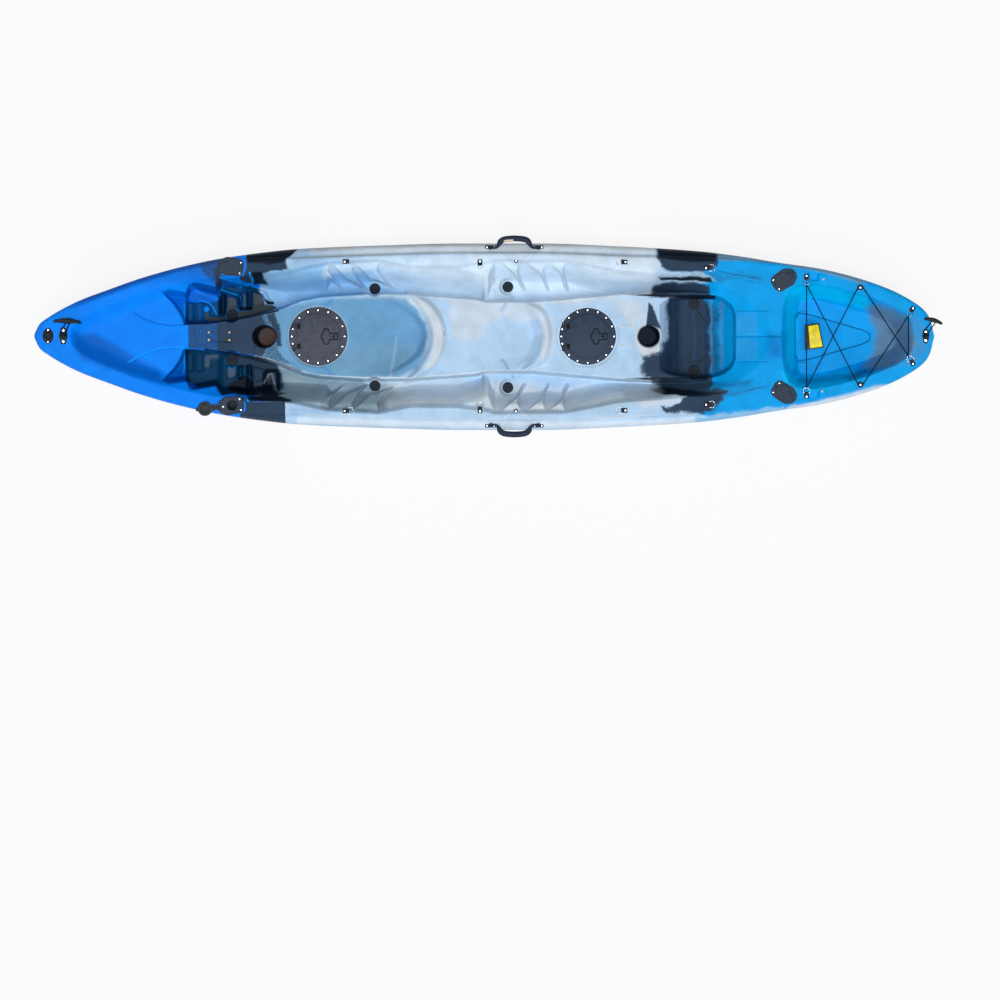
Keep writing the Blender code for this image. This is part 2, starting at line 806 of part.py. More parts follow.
def seat_back_rings(station, half_span, half_width, curve, steps=8):
    """A raised crescent that wraps the rear of a seat pan."""
    rings = []
    for k in range(steps + 1):
        y = half_span * (2 * k / steps - 1)
        end = 1 - 0.55 * abs(2 * k / steps - 1) ** 3
        middle = station - curve * y * y
        lean = -2 * curve * y
        forward = Vector((1.0, -lean, 0.0)).normalized()
        floor = basin_floor(middle)
        width = half_width * end
        height = BACK_HEIGHT * end
        centre = at(middle, y, 0.0)
        ring = []
        for across, z in ((-width, -0.6 * WALL), (-0.55 * width, height), (0.55 * width, height), (width, -0.6 * WALL)):
            ring.append(centre + forward * across + Vector((0, 0, floor + z)))
        rings.append(ring)
    return rings


def make_shells(parts, helpers):
    """The deck and the bottom: thin walls around the hollow hull."""
    walls = bpy.data.collections.new("deck_walls")
    wells = bpy.data.collections.new("deck_wells")
    outlets = bpy.data.collections.new("bottom_outlets")
    for group in (walls, wells, outlets):
        helpers.children.link(group)

    stations = [row[0] for row in STATIONS]
    inside = stations[1:-1]

    recess = []
    for reach in (FINGER_RECESS_HALF_LENGTH, FINGER_RECESS_FLAT):
        recess += [HANDLE_MIDDLE_STATION - reach, HANDLE_MIDDLE_STATION + reach]
    deck_stations = sorted(stations + recess)
    deck = section_loft("deck_shell", deck_stations, upper_ring, parts)

    def deck_cavity_ring(station):
        ring = offset_outline(upper_ring(station), -WALL)
        seam = ring[0][1] - 2 * WALL
        return [(ring[0][0], seam)] + ring[1:-1] + [(ring[-1][0], seam)]

    cavity = section_loft("deck_cavity", deck_stations[1:-1], deck_cavity_ring, helpers)

    add_well("basin", basin_table(), walls, wells, fillet=BASIN_FILLET)
    add_well("front_trough", trough_table(FRONT_TROUGH), walls, wells, both_sides=True)
    add_well("rear_trough", trough_table(REAR_TROUGH), walls, wells, both_sides=True)
    add_well("front_seat_pan", symmetric_table(FRONT_SEAT), walls, wells, fillet=SEAT_FILLET)
    add_well("middle_seat_pan", symmetric_table(MIDDLE_SEAT), walls, wells, fillet=SEAT_FILLET)
    add_well("rear_seat_pan", symmetric_table(REAR_SEAT), walls, wells, fillet=WELL_FILLET)
    add_well("tankwell", symmetric_table(TANKWELL), walls, wells, fillet=BASIN_FILLET)
    add_cup("front_cup", FRONT_CUP_STATION, walls, wells)
    add_cup("rear_cup", REAR_CUP_STATION, walls, wells)
    add_hatch_seat("front_hatch", FRONT_HATCH_STATION, walls, wells)
    add_hatch_seat("rear_hatch", REAR_HATCH_STATION, walls, wells)
    for name, station, y in SCUPPERS:
        for side, sign in (("starboard", 1), ("port", -1)):
            add_scupper(f"{name}_{side}_scupper", station, sign * y, walls, wells, outlets)
    for name, station, y, _ in holder_places():
        x = station - ORIGIN_STATION
        top = deck_height(station)
        radius = HOLDER_BORE_RADIUS + HOLDER_TUBE_WALL + HOLDER_HOLE_CLEARANCE
        cylinder(name + "_hole", radius, top - 4 * WALL, top + CUTTER_RISE, wells, x, y, sides=20)
    drain_top = deck_height(DRAIN_STATION)
    cylinder(
        "drain_hole", DRAIN_SHANK_RADIUS + DRAIN_CLEARANCE, drain_top - 4 * WALL, drain_top + CUTTER_RISE,
        wells, DRAIN_STATION - ORIGIN_STATION, sides=16,
    )

    front_back = loft(
        "front_back",
        seat_back_rings(FRONT_BACK_STATION, FRONT_BACK_HALF_SPAN, FRONT_BACK_HALF_WIDTH, FRONT_BACK_CURVE),
        helpers,
    )
    middle_back = loft(
        "middle_back",
        seat_back_rings(MIDDLE_BACK_STATION, MIDDLE_BACK_HALF_SPAN, MIDDLE_BACK_HALF_WIDTH, MIDDLE_BACK_CURVE),
        helpers,
    )

    add_boolean(deck, cavity, "DIFFERENCE")
    add_boolean(deck, walls, "UNION")
    add_boolean(deck, wells, "DIFFERENCE")
    add_boolean(deck, front_back, "UNION")
    add_boolean(deck, middle_back, "UNION")

    hull = section_loft("hull_shell", stations, lower_ring, parts)

    def hull_cavity_ring(station):
        ring = offset_outline(lower_ring(station), -WALL)
        seam = ring[0][1] + 4 * WALL
        return [(ring[0][0], seam)] + ring[1:-1] + [(ring[-1][0], seam)]

    hollow = section_loft("hull_cavity", inside, hull_cavity_ring, helpers)
    add_boolean(hull, hollow, "DIFFERENCE")
    add_boolean(hull, outlets, "DIFFERENCE")
    return deck, hull


# Fittings


def holder_places():
    """Name, station, y and heading of the four rod holders."""
    places = []
    for side, sign in (("starboard", 1), ("port", -1)):
        for end, (station, y, turn) in (("bow", BOW_HOLDER), ("stern", STERN_HOLDER)):
            places.append((f"{end}_{side}", station, sign * y, sign * turn))
    return places


def deck_slope(station):
    step = 0.0005
    return (deck_height(station + step) - deck_height(station - step)) / (2 * step)


def on_deck(station, y, turn=0.0, lift=0.0):
    """A place on the deck's flat top, tilted with it, with X turned about its own Z."""
    tilt = Matrix.Rotation(-math.atan(deck_slope(station)), 4, "Y")
    spot = Matrix.Translation(at(station, y, deck_height(station) + lift))
    return spot @ tilt @ Matrix.Rotation(turn, 4, "Z")


def place(items, matrix):
    for item in items:
        item.matrix_world = matrix


def move_origin(item, point):
    """Puts an item's origin at a point of its own space, and leaves its shape where it is."""
    item.data.transform(Matrix.Translation(-Vector(point)))
    item.matrix_world = item.matrix_world @ Matrix.Translation(point)


def group(name, helpers):
    made = bpy.data.collections.new(name)
    helpers.children.link(made)
    return made


def make_hatch(end, station, parts, helpers, plastics):
    """A hatch: the bolted ring, its hinged lid, and the latch on the lid."""
    base = Matrix.Translation(at(station, 0.0, hatch_seat_height(station) + GAP))
    top = HATCH_FLANGE_THICKNESS
    ring = turned(
        f"hatch_ring_{end}",
        [
            (HATCH_CLEAR_RADIUS, top),
            (HATCH_FLANGE_RADIUS - HATCH_FLANGE_EDGE, top),
            (HATCH_FLANGE_RADIUS, top - HATCH_FLANGE_EDGE),
            (HATCH_FLANGE_RADIUS, 0.0),
            (HATCH_NECK_RADIUS, 0.0),
            (HATCH_NECK_RADIUS, -HATCH_NECK_DEPTH),
            (HATCH_CLEAR_RADIUS, -HATCH_NECK_DEPTH),
        ],
        parts,
    )
    axis_x = -HINGE_REACH
    axis_z = top + HINGE_BARREL_RADIUS + 2 * HINGE_CLEARANCE
    half_barrel = HINGE_BARREL_LENGTH / 2
    ear_low = HINGE_SPREAD + half_barrel + HINGE_CLEARANCE
    ears = group(f"ears_{end}", helpers)
    for sign in (1, -1):
        inner, outer = sorted((sign * ear_low, sign * (ear_low + EAR_WIDTH)))
        box(
            f"ear_{end}_{sign}",
            (axis_x - HINGE_BARREL_RADIUS, inner, top - 0.002),
            (axis_x + HINGE_BARREL_RADIUS, outer, axis_z + HINGE_BARREL_RADIUS),
            ears,
        )
        middle = sign * (ear_low + EAR_WIDTH / 2 - HINGE_PIN_LENGTH / 2)
        cross_cylinder(
            f"pin_{end}_{sign}", HINGE_PIN_RADIUS, (axis_x, middle, axis_z), HINGE_PIN_LENGTH + EAR_WIDTH / 2, ears,
        )
    add_boolean(ring, ears, "UNION")

    low = top + GAP
    skirt = HATCH_CLEAR_RADIUS - LID_SKIRT_CLEARANCE
    lid = turned(
        f"hatch_lid_{end}",
        [
            (0.0, low + LID_THICKNESS),
            (LID_RADIUS - 0.004, low + LID_THICKNESS),
            (LID_RADIUS, low + LID_THICKNESS - 0.003),
            (LID_RADIUS, low),
            (skirt, low),
            (skirt, low - LID_SKIRT_DEPTH),
            (skirt - LID_SKIRT_WALL, low - LID_SKIRT_DEPTH),
            (skirt - LID_SKIRT_WALL, low),
            (0.0, low),
        ],
        parts,
    )
    barrels = group(f"barrels_{end}", helpers)
    bores = group(f"bores_{end}", helpers)
    for sign in (1, -1):
        y = sign * HINGE_SPREAD
        cross_cylinder(f"barrel_{end}_{sign}", HINGE_BARREL_RADIUS, (axis_x, y, axis_z), HINGE_BARREL_LENGTH, barrels)
        box(
            f"arm_{end}_{sign}",
            (axis_x, y - half_barrel, low + 2 * HINGE_CLEARANCE),
            (-0.5 * LID_RADIUS, y + half_barrel, axis_z + 0.5 * HINGE_BARREL_RADIUS),
            barrels,
        )
        depth = HINGE_PIN_LENGTH + 2 * HINGE_CLEARANCE
        middle = sign * (HINGE_SPREAD + half_barrel - depth / 2 + 0.001)
        cross_cylinder(
            f"bore_{end}_{sign}", HINGE_PIN_RADIUS + HINGE_CLEARANCE, (axis_x, middle, axis_z), depth, bores,
        )

    lever_low = low + LID_THICKNESS - LATCH_THICKNESS - LATCH_CLEARANCE
    pivot_z = lever_low + LATCH_THICKNESS / 2
    floor = lever_low - LATCH_CLEARANCE
    bar_end = LATCH_BAR_REACH + LATCH_BAR_WIDTH
    half_bar = LATCH_BAR_LENGTH / 2
    half_stem = LATCH_STEM_WIDTH / 2
    margin = LATCH_CLEARANCE
    high = low + LID_THICKNESS + 0.01
    box(
        f"latch_recess_{end}",
        (LATCH_BAR_REACH - margin, -half_bar - margin, floor),
        (bar_end + margin, half_bar + margin, high),
        bores,
    )
    box(
        f"stem_recess_{end}",
        (bar_end - margin, -half_stem - margin, floor),
        (LATCH_PIVOT_REACH + LATCH_THICKNESS / 2 + 1.5 * margin, half_stem + margin, high),
        bores,
    )
    pin_reach = 2 * (half_stem + margin + LATCH_PIN_LENGTH + HINGE_CLEARANCE)
    cross_cylinder(
        f"latch_bore_{end}", LATCH_PIN_RADIUS + HINGE_CLEARANCE, (LATCH_PIVOT_REACH, 0.0, pivot_z), pin_reach, bores,
    )
    add_boolean(lid, barrels, "UNION")
    add_boolean(lid, bores, "DIFFERENCE")

    outline = [
        (LATCH_BAR_REACH, -half_bar),
        (bar_end, -half_bar),
        (bar_end, -half_stem),
        (LATCH_PIVOT_REACH, -half_stem),
        (LATCH_PIVOT_REACH, half_stem),
        (bar_end, half_stem),
        (bar_end, half_bar),
        (LATCH_BAR_REACH, half_bar),
    ]
    latch = plate(f"hatch_latch_{end}", outline, lever_low, lever_low + LATCH_THICKNESS, parts)
    pivots = group(f"pivots_{end}", helpers)
    center = (LATCH_PIVOT_REACH, 0.0, pivot_z)
    cross_cylinder(f"hub_{end}", LATCH_THICKNESS / 2, center, LATCH_STEM_WIDTH, pivots)
    cross_cylinder(
        f"latch_pin_{end}", LATCH_PIN_RADIUS, center, LATCH_STEM_WIDTH + 2 * (margin + LATCH_PIN_LENGTH), pivots,
    )
    add_boolean(latch, pivots, "UNION")

    place([ring, lid, latch], base)
    for helper_group in (ears, barrels, bores, pivots):
        place(helper_group.objects, base)
    move_origin(lid, (axis_x, 0.0, axis_z))
    move_origin(latch, center)
    ring.data.materials.append(plastics["black"])
    lid.data.materials.append(plastics["lid"])
    latch.data.materials.append(plastics["black"])


def make_rod_holder(label, matrix, is_open, parts, helpers, plastics):
    """A rod holder's flange with its tube, and the cap on its hinge."""
    beak_base = HOLDER_FRONT
    outline = rounded_outline(
        [
            (-HOLDER_BACK, -HOLDER_HALF_WIDE),
            (beak_base, -HOLDER_HALF_NARROW),
            (beak_base, HOLDER_HALF_NARROW),
            (-HOLDER_BACK, HOLDER_HALF_WIDE),
        ],
        HOLDER_CORNER,
    )
    holder = plate(f"rod_holder_{label}", outline, GAP, GAP + HOLDER_THICKNESS, parts)
    top = GAP + HOLDER_THICKNESS
    cap_low = top + GAP
    axis = (CAP_HINGE_REACH, 0.0, cap_low + CAP_KNUCKLE_RADIUS)
    ear_low = CAP_STRAP_WIDTH / 2 + HINGE_CLEARANCE
    adds = group(f"holder_adds_{label}", helpers)
    cuts = group(f"holder_cuts_{label}", helpers)
    box(
        f"beak_{label}",
        (0.5 * beak_base, -HOLDER_BEAK_HALF_WIDTH, GAP),
        (HOLDER_BEAK_REACH, HOLDER_BEAK_HALF_WIDTH, top - 0.0002),
        adds,
    )
    cylinder(
        f"tube_{label}", HOLDER_BORE_RADIUS + HOLDER_TUBE_WALL, top - HOLDER_TUBE_LENGTH, top - 0.002, adds, sides=20,
    )
    for sign in (1, -1):
        inner, outer = sorted((sign * ear_low, sign * (ear_low + CAP_EAR_WIDTH)))
        box(
            f"cap_ear_{label}_{sign}",
            (axis[0] - 0.003, inner, top - 0.002),
            (axis[0] + 0.003, outer, axis[2] + 0.003),
            adds,
        )
    cylinder(f"holder_bore_{label}", HOLDER_BORE_RADIUS, top - HOLDER_TUBE_LENGTH + HOLDER_TUBE_WALL, 0.02, cuts, sides=20)
    cross_cylinder(f"ear_bore_{label}", CAP_PIN_RADIUS + HINGE_CLEARANCE, axis, 0.05, cuts, sides=10)
    add_boolean(holder, adds, "UNION")
    add_boolean(holder, cuts, "DIFFERENCE")

    plug = HOLDER_BORE_RADIUS - CAP_PLUG_CLEARANCE
    cap = turned(
        f"rod_cap_{label}",
        [
            (0.0, cap_low + CAP_THICKNESS),
            (CAP_RADIUS - 0.0015, cap_low + CAP_THICKNESS),
            (CAP_RADIUS, cap_low + CAP_THICKNESS - 0.0015),
            (CAP_RADIUS, cap_low),
            (plug, cap_low),
            (0.94 * plug, cap_low - CAP_PLUG_DEPTH),
            (0.0, cap_low - CAP_PLUG_DEPTH),
        ],
        parts,
        steps=20,
    )
    half_strap = CAP_STRAP_WIDTH / 2
    straps = group(f"cap_adds_{label}", helpers)
    box(
        f"strap_{label}",
        (0.75 * CAP_RADIUS, -half_strap, cap_low + 0.0002),
        (axis[0], half_strap, cap_low + CAP_STRAP_THICKNESS),
        straps,
    )
    box(
        f"tab_{label}",
        (-CAP_RADIUS - CAP_TAB_LENGTH, -CAP_TAB_WIDTH / 2, cap_low + 0.0004),
        (-0.75 * CAP_RADIUS, CAP_TAB_WIDTH / 2, cap_low + CAP_STRAP_THICKNESS),
        straps,
    )
    cross_cylinder(f"knuckle_{label}", CAP_KNUCKLE_RADIUS, axis, CAP_STRAP_WIDTH, straps)
    cross_cylinder(f"cap_pin_{label}", CAP_PIN_RADIUS, axis, CAP_STRAP_WIDTH + 2 * CAP_PIN_LENGTH, straps, sides=8)
    add_boolean(cap, straps, "UNION")

    place([holder, cap], matrix)
    for helper_group in (adds, cuts, straps):
        place(helper_group.objects, matrix)
    move_origin(cap, axis)
    if is_open:
        swing = cap.matrix_world @ Matrix.Rotation(OPEN_CAP_ANGLE, 4, "Y") @ cap.matrix_world.inverted()
        for item in [cap, *straps.objects]:
            item.matrix_world = swing @ item.matrix_world
    holder.data.materials.append(plastics["black"])
    cap.data.materials.append(plastics["black"])


def ring_places():
    """Name, place matrix and lift angle of every lashing ring's bar."""
    places = []
    for rows, angle in ((FREE_RINGS, RING_DROOP), (BUNGEE_RINGS, LOADED_RING_LIFT)):
        for label, station, inset, heading in rows:
            for side, sign in (("starboard", 1), ("port", -1)):
                y = sign * (rim_half(station) - inset)
                turn = sign * math.radians(heading)
                places.append((f"{label}_{side}", on_deck(station, y, turn), angle))
    return places


def ring_tip(matrix, angle):
    """The middle of a ring's far wire."""
    reach = RING_OFFSET + RING_RADIUS
    return matrix @ Vector((reach * math.cos(angle), 0.0, RING_BAR_HEIGHT + reach * math.sin(angle)))


def make_lashing(label, matrix, angle, parts, helpers, plastics, steel):
    """A wire ring and the saddle that holds its bar to the deck."""
    profile = [
        (-SADDLE_HEEL, GAP),
        (SADDLE_NOSE - 0.0005, GAP),
        (SADDLE_NOSE, RING_BAR_HEIGHT),
        (0.6 * SADDLE_NOSE, SADDLE_HEIGHT - 0.0004),
        (0.0, SADDLE_HEIGHT),
        (-SADDLE_NOSE, SADDLE_HEIGHT - 0.0004),
        (-2 * SADDLE_NOSE, SADDLE_HEEL_HEIGHT + 0.0005),
        (-SADDLE_HEEL, SADDLE_HEEL_HEIGHT),
    ]
    bm = bmesh.new()
    face = bm.faces.new([bm.verts.new((x, -SADDLE_HALF_WIDTH, z)) for x, z in profile])
    lifted = bmesh.ops.extrude_face_region(bm, geom=[face])
    moved = [item for item in lifted["geom"] if isinstance(item, bmesh.types.BMVert)]
    bmesh.ops.translate(bm, verts=moved, vec=(0, 2 * SADDLE_HALF_WIDTH, 0))
    saddle = mesh_object(f"saddle_{label}", bm, parts)
    tunnel = cross_cylinder(
        f"tunnel_{label}", RING_WIRE + SADDLE_CLEARANCE, (0.0, 0.0, RING_BAR_HEIGHT), 0.05, helpers, sides=10,
    )
    place([saddle, tunnel], matrix)
    add_boolean(saddle, tunnel, "DIFFERENCE")

    spread = math.acos(-RING_OFFSET / RING_RADIUS)
    points = []
    for k in range(RING_POINTS):
        turn = spread * (2 * k / (RING_POINTS - 1) - 1)
        points.append(Vector((RING_OFFSET + RING_RADIUS * math.cos(turn), RING_RADIUS * math.sin(turn), 0.0)))
    ring = tube(f"d_ring_{label}", points, RING_WIRE, parts, cyclic=True, resolution=1)
    lift = Matrix.Translation((0, 0, RING_BAR_HEIGHT)) @ Matrix.Rotation(-angle, 4, "Y")
    place([ring], matrix @ lift)
    saddle.data.materials.append(plastics["black"])
    ring.data.materials.append(steel)


def make_knob(label, matrix, parts, plastics):
    top = GAP + KNOB_POST_HEIGHT
    knob = turned(
        f"knob_{label}",
        [
            (0.0, top + KNOB_HEAD_THICKNESS),
            (KNOB_HEAD_RADIUS - 0.003, top + KNOB_HEAD_THICKNESS),
            (KNOB_HEAD_RADIUS, top + 0.4 * KNOB_HEAD_THICKNESS),
            (KNOB_HEAD_RADIUS - 0.002, top),
            (KNOB_POST_RADIUS, top),
            (KNOB_POST_RADIUS, GAP),
            (0.0, GAP),
        ],
        parts,
        steps=16,
    )
    place([knob], matrix)
    knob.data.materials.append(plastics["black"])


def turn_about(center, start, end, axis, radius, steps=8):
    """Points of an arc round a centre, from one direction to another about an axis."""
    first = (start - axis * start.dot(axis)).normalized()
    last = (end - axis * end.dot(axis)).normalized()
    sweep = math.atan2(first.cross(last).dot(axis), first.dot(last))
    if sweep < 0:
        sweep += 2 * math.pi
    return [center + Matrix.Rotation(sweep * k / steps, 3, axis) @ first * radius for k in range(steps + 1)]


def bungee_points():
    """The bungee's closed route round four rings and two knobs."""
    up = Vector((0, 0, 1))
    rings = {label: ring_tip(matrix, angle) for label, matrix, angle in ring_places()}
    knob_y = rim_half(KNOB_STATION) - KNOB_INSET
    knob_z = deck_height(KNOB_STATION) + GAP + KNOB_POST_HEIGHT / 2
    wrap = RING_WIRE + BUNGEE_RADIUS + BUNGEE_CLEARANCE
    round_post = KNOB_POST_RADIUS + BUNGEE_RADIUS + BUNGEE_CLEARANCE

    def ring_turn(here, to_knob, to_ring):
        """Half a turn round a ring's wire, from the knob's strand above to the ring's strand below."""
        away = -((to_knob - here).normalized() + (to_ring - here).normalized())
        away = Vector((away.x, away.y, 0.0)).normalized()
        axis = up.cross(away)
        return turn_about(here, up, -up, axis, wrap)

    def knob_turn(here, before, after):
        """Half a turn round a knob's post, on the side away from both strands."""
        arrive = (here - before).normalized()
        leave = (after - here).normalized()
        side = 1.0 if here.y > 0 else -1.0
        first = Vector((arrive.y, -arrive.x, 0.0)) * side
        last = Vector((leave.y, -leave.x, 0.0)) * side
        if first.y * side < 0 and last.y * side < 0:
            first, last = -first, -last
        return turn_about(here, first, last, up * (1.0 if first.cross(last).z > 0 else -1.0), round_post)

    front = {1: rings["well_front_starboard"], -1: rings["well_front_port"]}
    rear = {1: rings["well_rear_starboard"], -1: rings["well_rear_port"]}
    knob = {side: at(KNOB_STATION, side * knob_y, knob_z) for side in (1, -1)}

    def crossing(a, b, lift):
        return [a.lerp(b, 0.5) + up * lift]

    route = []
    front_turns = {side: ring_turn(front[side], knob[-side], front[-side]) for side in (1, -1)}
    rear_turns = {side: ring_turn(rear[side], knob[-side], rear[-side]) for side in (1, -1)}
    knob_turns = {side: knob_turn(knob[side], front[-side], rear[-side]) for side in (1, -1)}
    route += list(reversed(front_turns[1]))
    route += crossing(front_turns[1][0], knob_turns[-1][0], CROSSING_LIFT)
    route += knob_turns[-1]
    route += crossing(knob_turns[-1][-1], rear_turns[1][0], CROSSING_LIFT)
    route += rear_turns[1]
    route += list(reversed(rear_turns[-1]))
    route += crossing(rear_turns[-1][0], knob_turns[1][-1], -CROSSING_LIFT)
    route += list(reversed(knob_turns[1]))
    route += crossing(knob_turns[1][0], front_turns[-1][0], -CROSSING_LIFT)
    route += front_turns[-1]
    return route


def make_side_handle(side, sign, parts, plastics):
    """A carry handle that stands out from the side, on round ends that turn in its brackets."""
    station = HANDLE_MIDDLE_STATION
    y = half_breadth(station) - HANDLE_INSET
    ledge = min(z for _, z in upper_ring(station)[1:3])
    axis = at(station, sign * y, ledge + HANDLE_LIFT)
    rings = []
    steps = 14
    for k in range(steps + 1):
        along = 2 * k / steps - 1
        arch = math.cos(0.5 * math.pi * abs(along) ** 1.6)
        x = along * HANDLE_HALF_SPAN
        reach = HANDLE_REACH * arch
        slope = -math.copysign(1.0, along) * 1.2 * (1 - arch) * abs(along) ** 0.5
        ahead = Vector((1.0, slope, 0.0)).normalized()
        across = Vector((-ahead.y, ahead.x, 0.0))
        grow = min(1.0, 1.6 * arch)
        half_width = HANDLE_END_RADIUS + grow * (HANDLE_HALF_WIDTH - HANDLE_END_RADIUS)
        half_height = HANDLE_END_RADIUS + grow * (HANDLE_HALF_THICKNESS - HANDLE_END_RADIUS)
        rings.append((Vector((x, reach, 0.0)), across, half_width, half_height))
    tip = Vector((HANDLE_HALF_SPAN + HANDLE_END_LENGTH, 0.0, 0.0))
    straight = Vector((0.0, 1.0, 0.0))
    first = (-tip, straight, HANDLE_END_RADIUS, HANDLE_END_RADIUS)
    last = (tip, straight, HANDLE_END_RADIUS, HANDLE_END_RADIUS)
    loops = []
    for center, across, half_width, half_height in [first, *rings, last]:
        loop = []
        for i in range(10):
            turn = 2 * math.pi * (i + 0.5) / 10
            point = center + across * half_width * math.cos(turn) + Vector((0, 0, half_height * math.sin(turn)))
            loop.append(Vector((point.x, sign * point.y, point.z)))
        loops.append(loop)
    handle = loft(f"side_handle_{side}", loops, parts)
    place([handle], Matrix.Translation(axis))
    handle.data.materials.append(plastics["black"])


def make_toggle(end, setup, eye_size, parts, helpers, plastics, cord_material):
    """A towing handle: the eye on the deck, the cord through it, and the bar."""
    station, length, reach, shift, skew = setup
    base = on_deck(station, 0.0)
    half_x, half_y = eye_size
    outline = rounded_outline(
        [
            (-0.5 * half_x, -half_y),
            (0.5 * half_x, -half_y),
            (half_x, 0.0),
            (0.5 * half_x, half_y),
            (-0.5 * half_x, half_y),
            (-half_x, 0.0),
        ],
        0.006,
        steps=3,
    )
    eye = plate(f"pad_eye_{end}", outline, GAP, EYE_BASE_THICKNESS, parts)
    arch = box(
        f"arch_{end}",
        (-EYE_ARCH_HALF_LENGTH, -EYE_ARCH_HALF_WIDTH, 2 * GAP),
        (EYE_ARCH_HALF_LENGTH, EYE_ARCH_HALF_WIDTH, EYE_ARCH_HEIGHT),
        helpers,
    )
    tunnel = box(
        f"eye_tunnel_{end}",
        (-0.05, -EYE_TUNNEL_HALF_WIDTH, EYE_BASE_THICKNESS),
        (0.05, EYE_TUNNEL_HALF_WIDTH, EYE_TUNNEL_HEIGHT),
        helpers,
    )
    place([eye, arch, tunnel], base)
    add_boolean(eye, arch, "UNION")
    add_boolean(eye, tunnel, "DIFFERENCE")

    bar_z = TOGGLE_RADIUS + 2 * GAP - EYE_AXIS_HEIGHT
    middle = Vector((shift, reach, bar_z))
    along = Vector((math.cos(skew), math.sin(skew), 0.0))
    aside = Vector((-along.y, along.x, 0.0))
    loops = []
    stops = ((-1.0, 0.45), (-0.96, 0.85), (-0.86, 1.0), (-0.45, 1.12), (0.0, 1.3), (0.45, 1.12), (0.86, 1.0), (0.96, 0.85), (1.0, 0.45))
    for share, fat in stops:
        radius = min(TOGGLE_RADIUS, fat * TOGGLE_END_RADIUS)
        center = middle + along * share * length / 2 - aside * TOGGLE_BOW * share * share
        loop = []
        for i in range(10):
            turn = 2 * math.pi * (i + 0.5) / 10
            loop.append(center + aside * radius * math.cos(turn) + Vector((0, 0, radius * math.sin(turn))))
        loops.append(loop)
    toggle = loft(f"toggle_{end}", loops, parts)
    holes = group(f"toggle_holes_{end}", helpers)
    legs = {}
    for sign in (1, -1):
        entry = middle + along * sign * TOGGLE_HOLE_SPREAD
        inside = entry + aside * 0.002
        outside = entry - aside * 0.030
        hole = cross_cylinder(
            f"toggle_hole_{end}_{sign}", TOW_CORD_RADIUS + TOW_CORD_CLEARANCE, (0, 0, 0), 0.030, holes, sides=10,
        )
        spin = Matrix.Rotation(skew, 4, "Z")
        hole.data.transform(Matrix.Translation(entry - aside * 0.013) @ spin)
        legs[sign] = (entry, outside)
    hinge = base @ Matrix.Translation((0, 0, EYE_AXIS_HEIGHT))
    place([toggle, *holes.objects], hinge)
    add_boolean(toggle, holes, "DIFFERENCE")

    bend = EYE_ARCH_HALF_LENGTH + TOW_CORD_RADIUS + 2 * TOW_CORD_CLEARANCE
    halves = {}
    for sign in (1, -1):
        entry, outside = legs[sign]
        turn = [
            Vector((sign * (bend - 0.0042), 0.0, 0.0)),
            Vector((sign * (bend - 0.0016), 0.0005, 0.0)),
            Vector((sign * (bend + 0.0002), 0.0022, 0.0)),
            Vector((sign * (bend + 0.0010), 0.0050, 0.0)),
            Vector((sign * (bend + 0.0010), EYE_ARCH_HALF_WIDTH + 0.003, 0.0)),
        ]
        approach = entry - aside * (TOGGLE_RADIUS + 0.004)
        halves[sign] = turn + [turn[-1].lerp(approach, 0.5), approach, entry - aside * 0.0002]
    points = list(reversed(halves[-1])) + halves[1]
    cord = tube(f"tow_cord_{end}", points, TOW_CORD_RADIUS, parts, resolution=2)
    place([cord], hinge)
    eye.data.materials.append(plastics["black"])
    toggle.data.materials.append(plastics["black"])
    cord.data.materials.append(cord_material)


def make_scupper_plug(label, station, y, parts, plastics):
    z = trough_floor(station) + GAP
    shank = SCUPPER_SHANK / 2
    head = SCUPPER_HEAD / 2
    plug = turned(
        f"scupper_plug_{label}",
        [
            (0.0, SCUPPER_HEAD_HEIGHT),
            (head - 0.004, SCUPPER_HEAD_HEIGHT),
            (head, 0.4 * SCUPPER_HEAD_HEIGHT),
            (head, 0.0),
            (shank, 0.0),
            (0.9 * shank, -SCUPPER_DEPTH),
            (0.0, -SCUPPER_DEPTH),
        ],
        parts,
        steps=16,
    )
    place([plug], Matrix.Translation(at(station, y, z)))
    plug.data.materials.append(plastics["black"])


def make_drain_plug(parts, helpers, plastics):
    plug = turned(
        "drain_plug",
        [
            (0.0, GAP + DRAIN_HEAD_HEIGHT),
            (DRAIN_HEAD_RADIUS - 0.002, GAP + DRAIN_HEAD_HEIGHT),
            (DRAIN_HEAD_RADIUS, GAP + DRAIN_HEAD_HEIGHT - 0.002),
            (DRAIN_HEAD_RADIUS, GAP),
            (DRAIN_SHANK_RADIUS, GAP),
            (0.95 * DRAIN_SHANK_RADIUS, -DRAIN_SHANK_LENGTH),
            (0.0, -DRAIN_SHANK_LENGTH),
        ],
        parts,
        steps=16,
    )
    grip = box(
        "drain_grip",
        (-DRAIN_GRIP_HALF_WIDTH, -0.8 * DRAIN_HEAD_RADIUS, 0.5 * DRAIN_HEAD_HEIGHT),
        (DRAIN_GRIP_HALF_WIDTH, 0.8 * DRAIN_HEAD_RADIUS, GAP + DRAIN_HEAD_HEIGHT + DRAIN_GRIP_HEIGHT),
        helpers,
    )
    place([plug, grip], on_deck(DRAIN_STATION, 0.0))
    add_boolean(plug, grip, "UNION")
    plug.data.materials.append(plastics["black"])


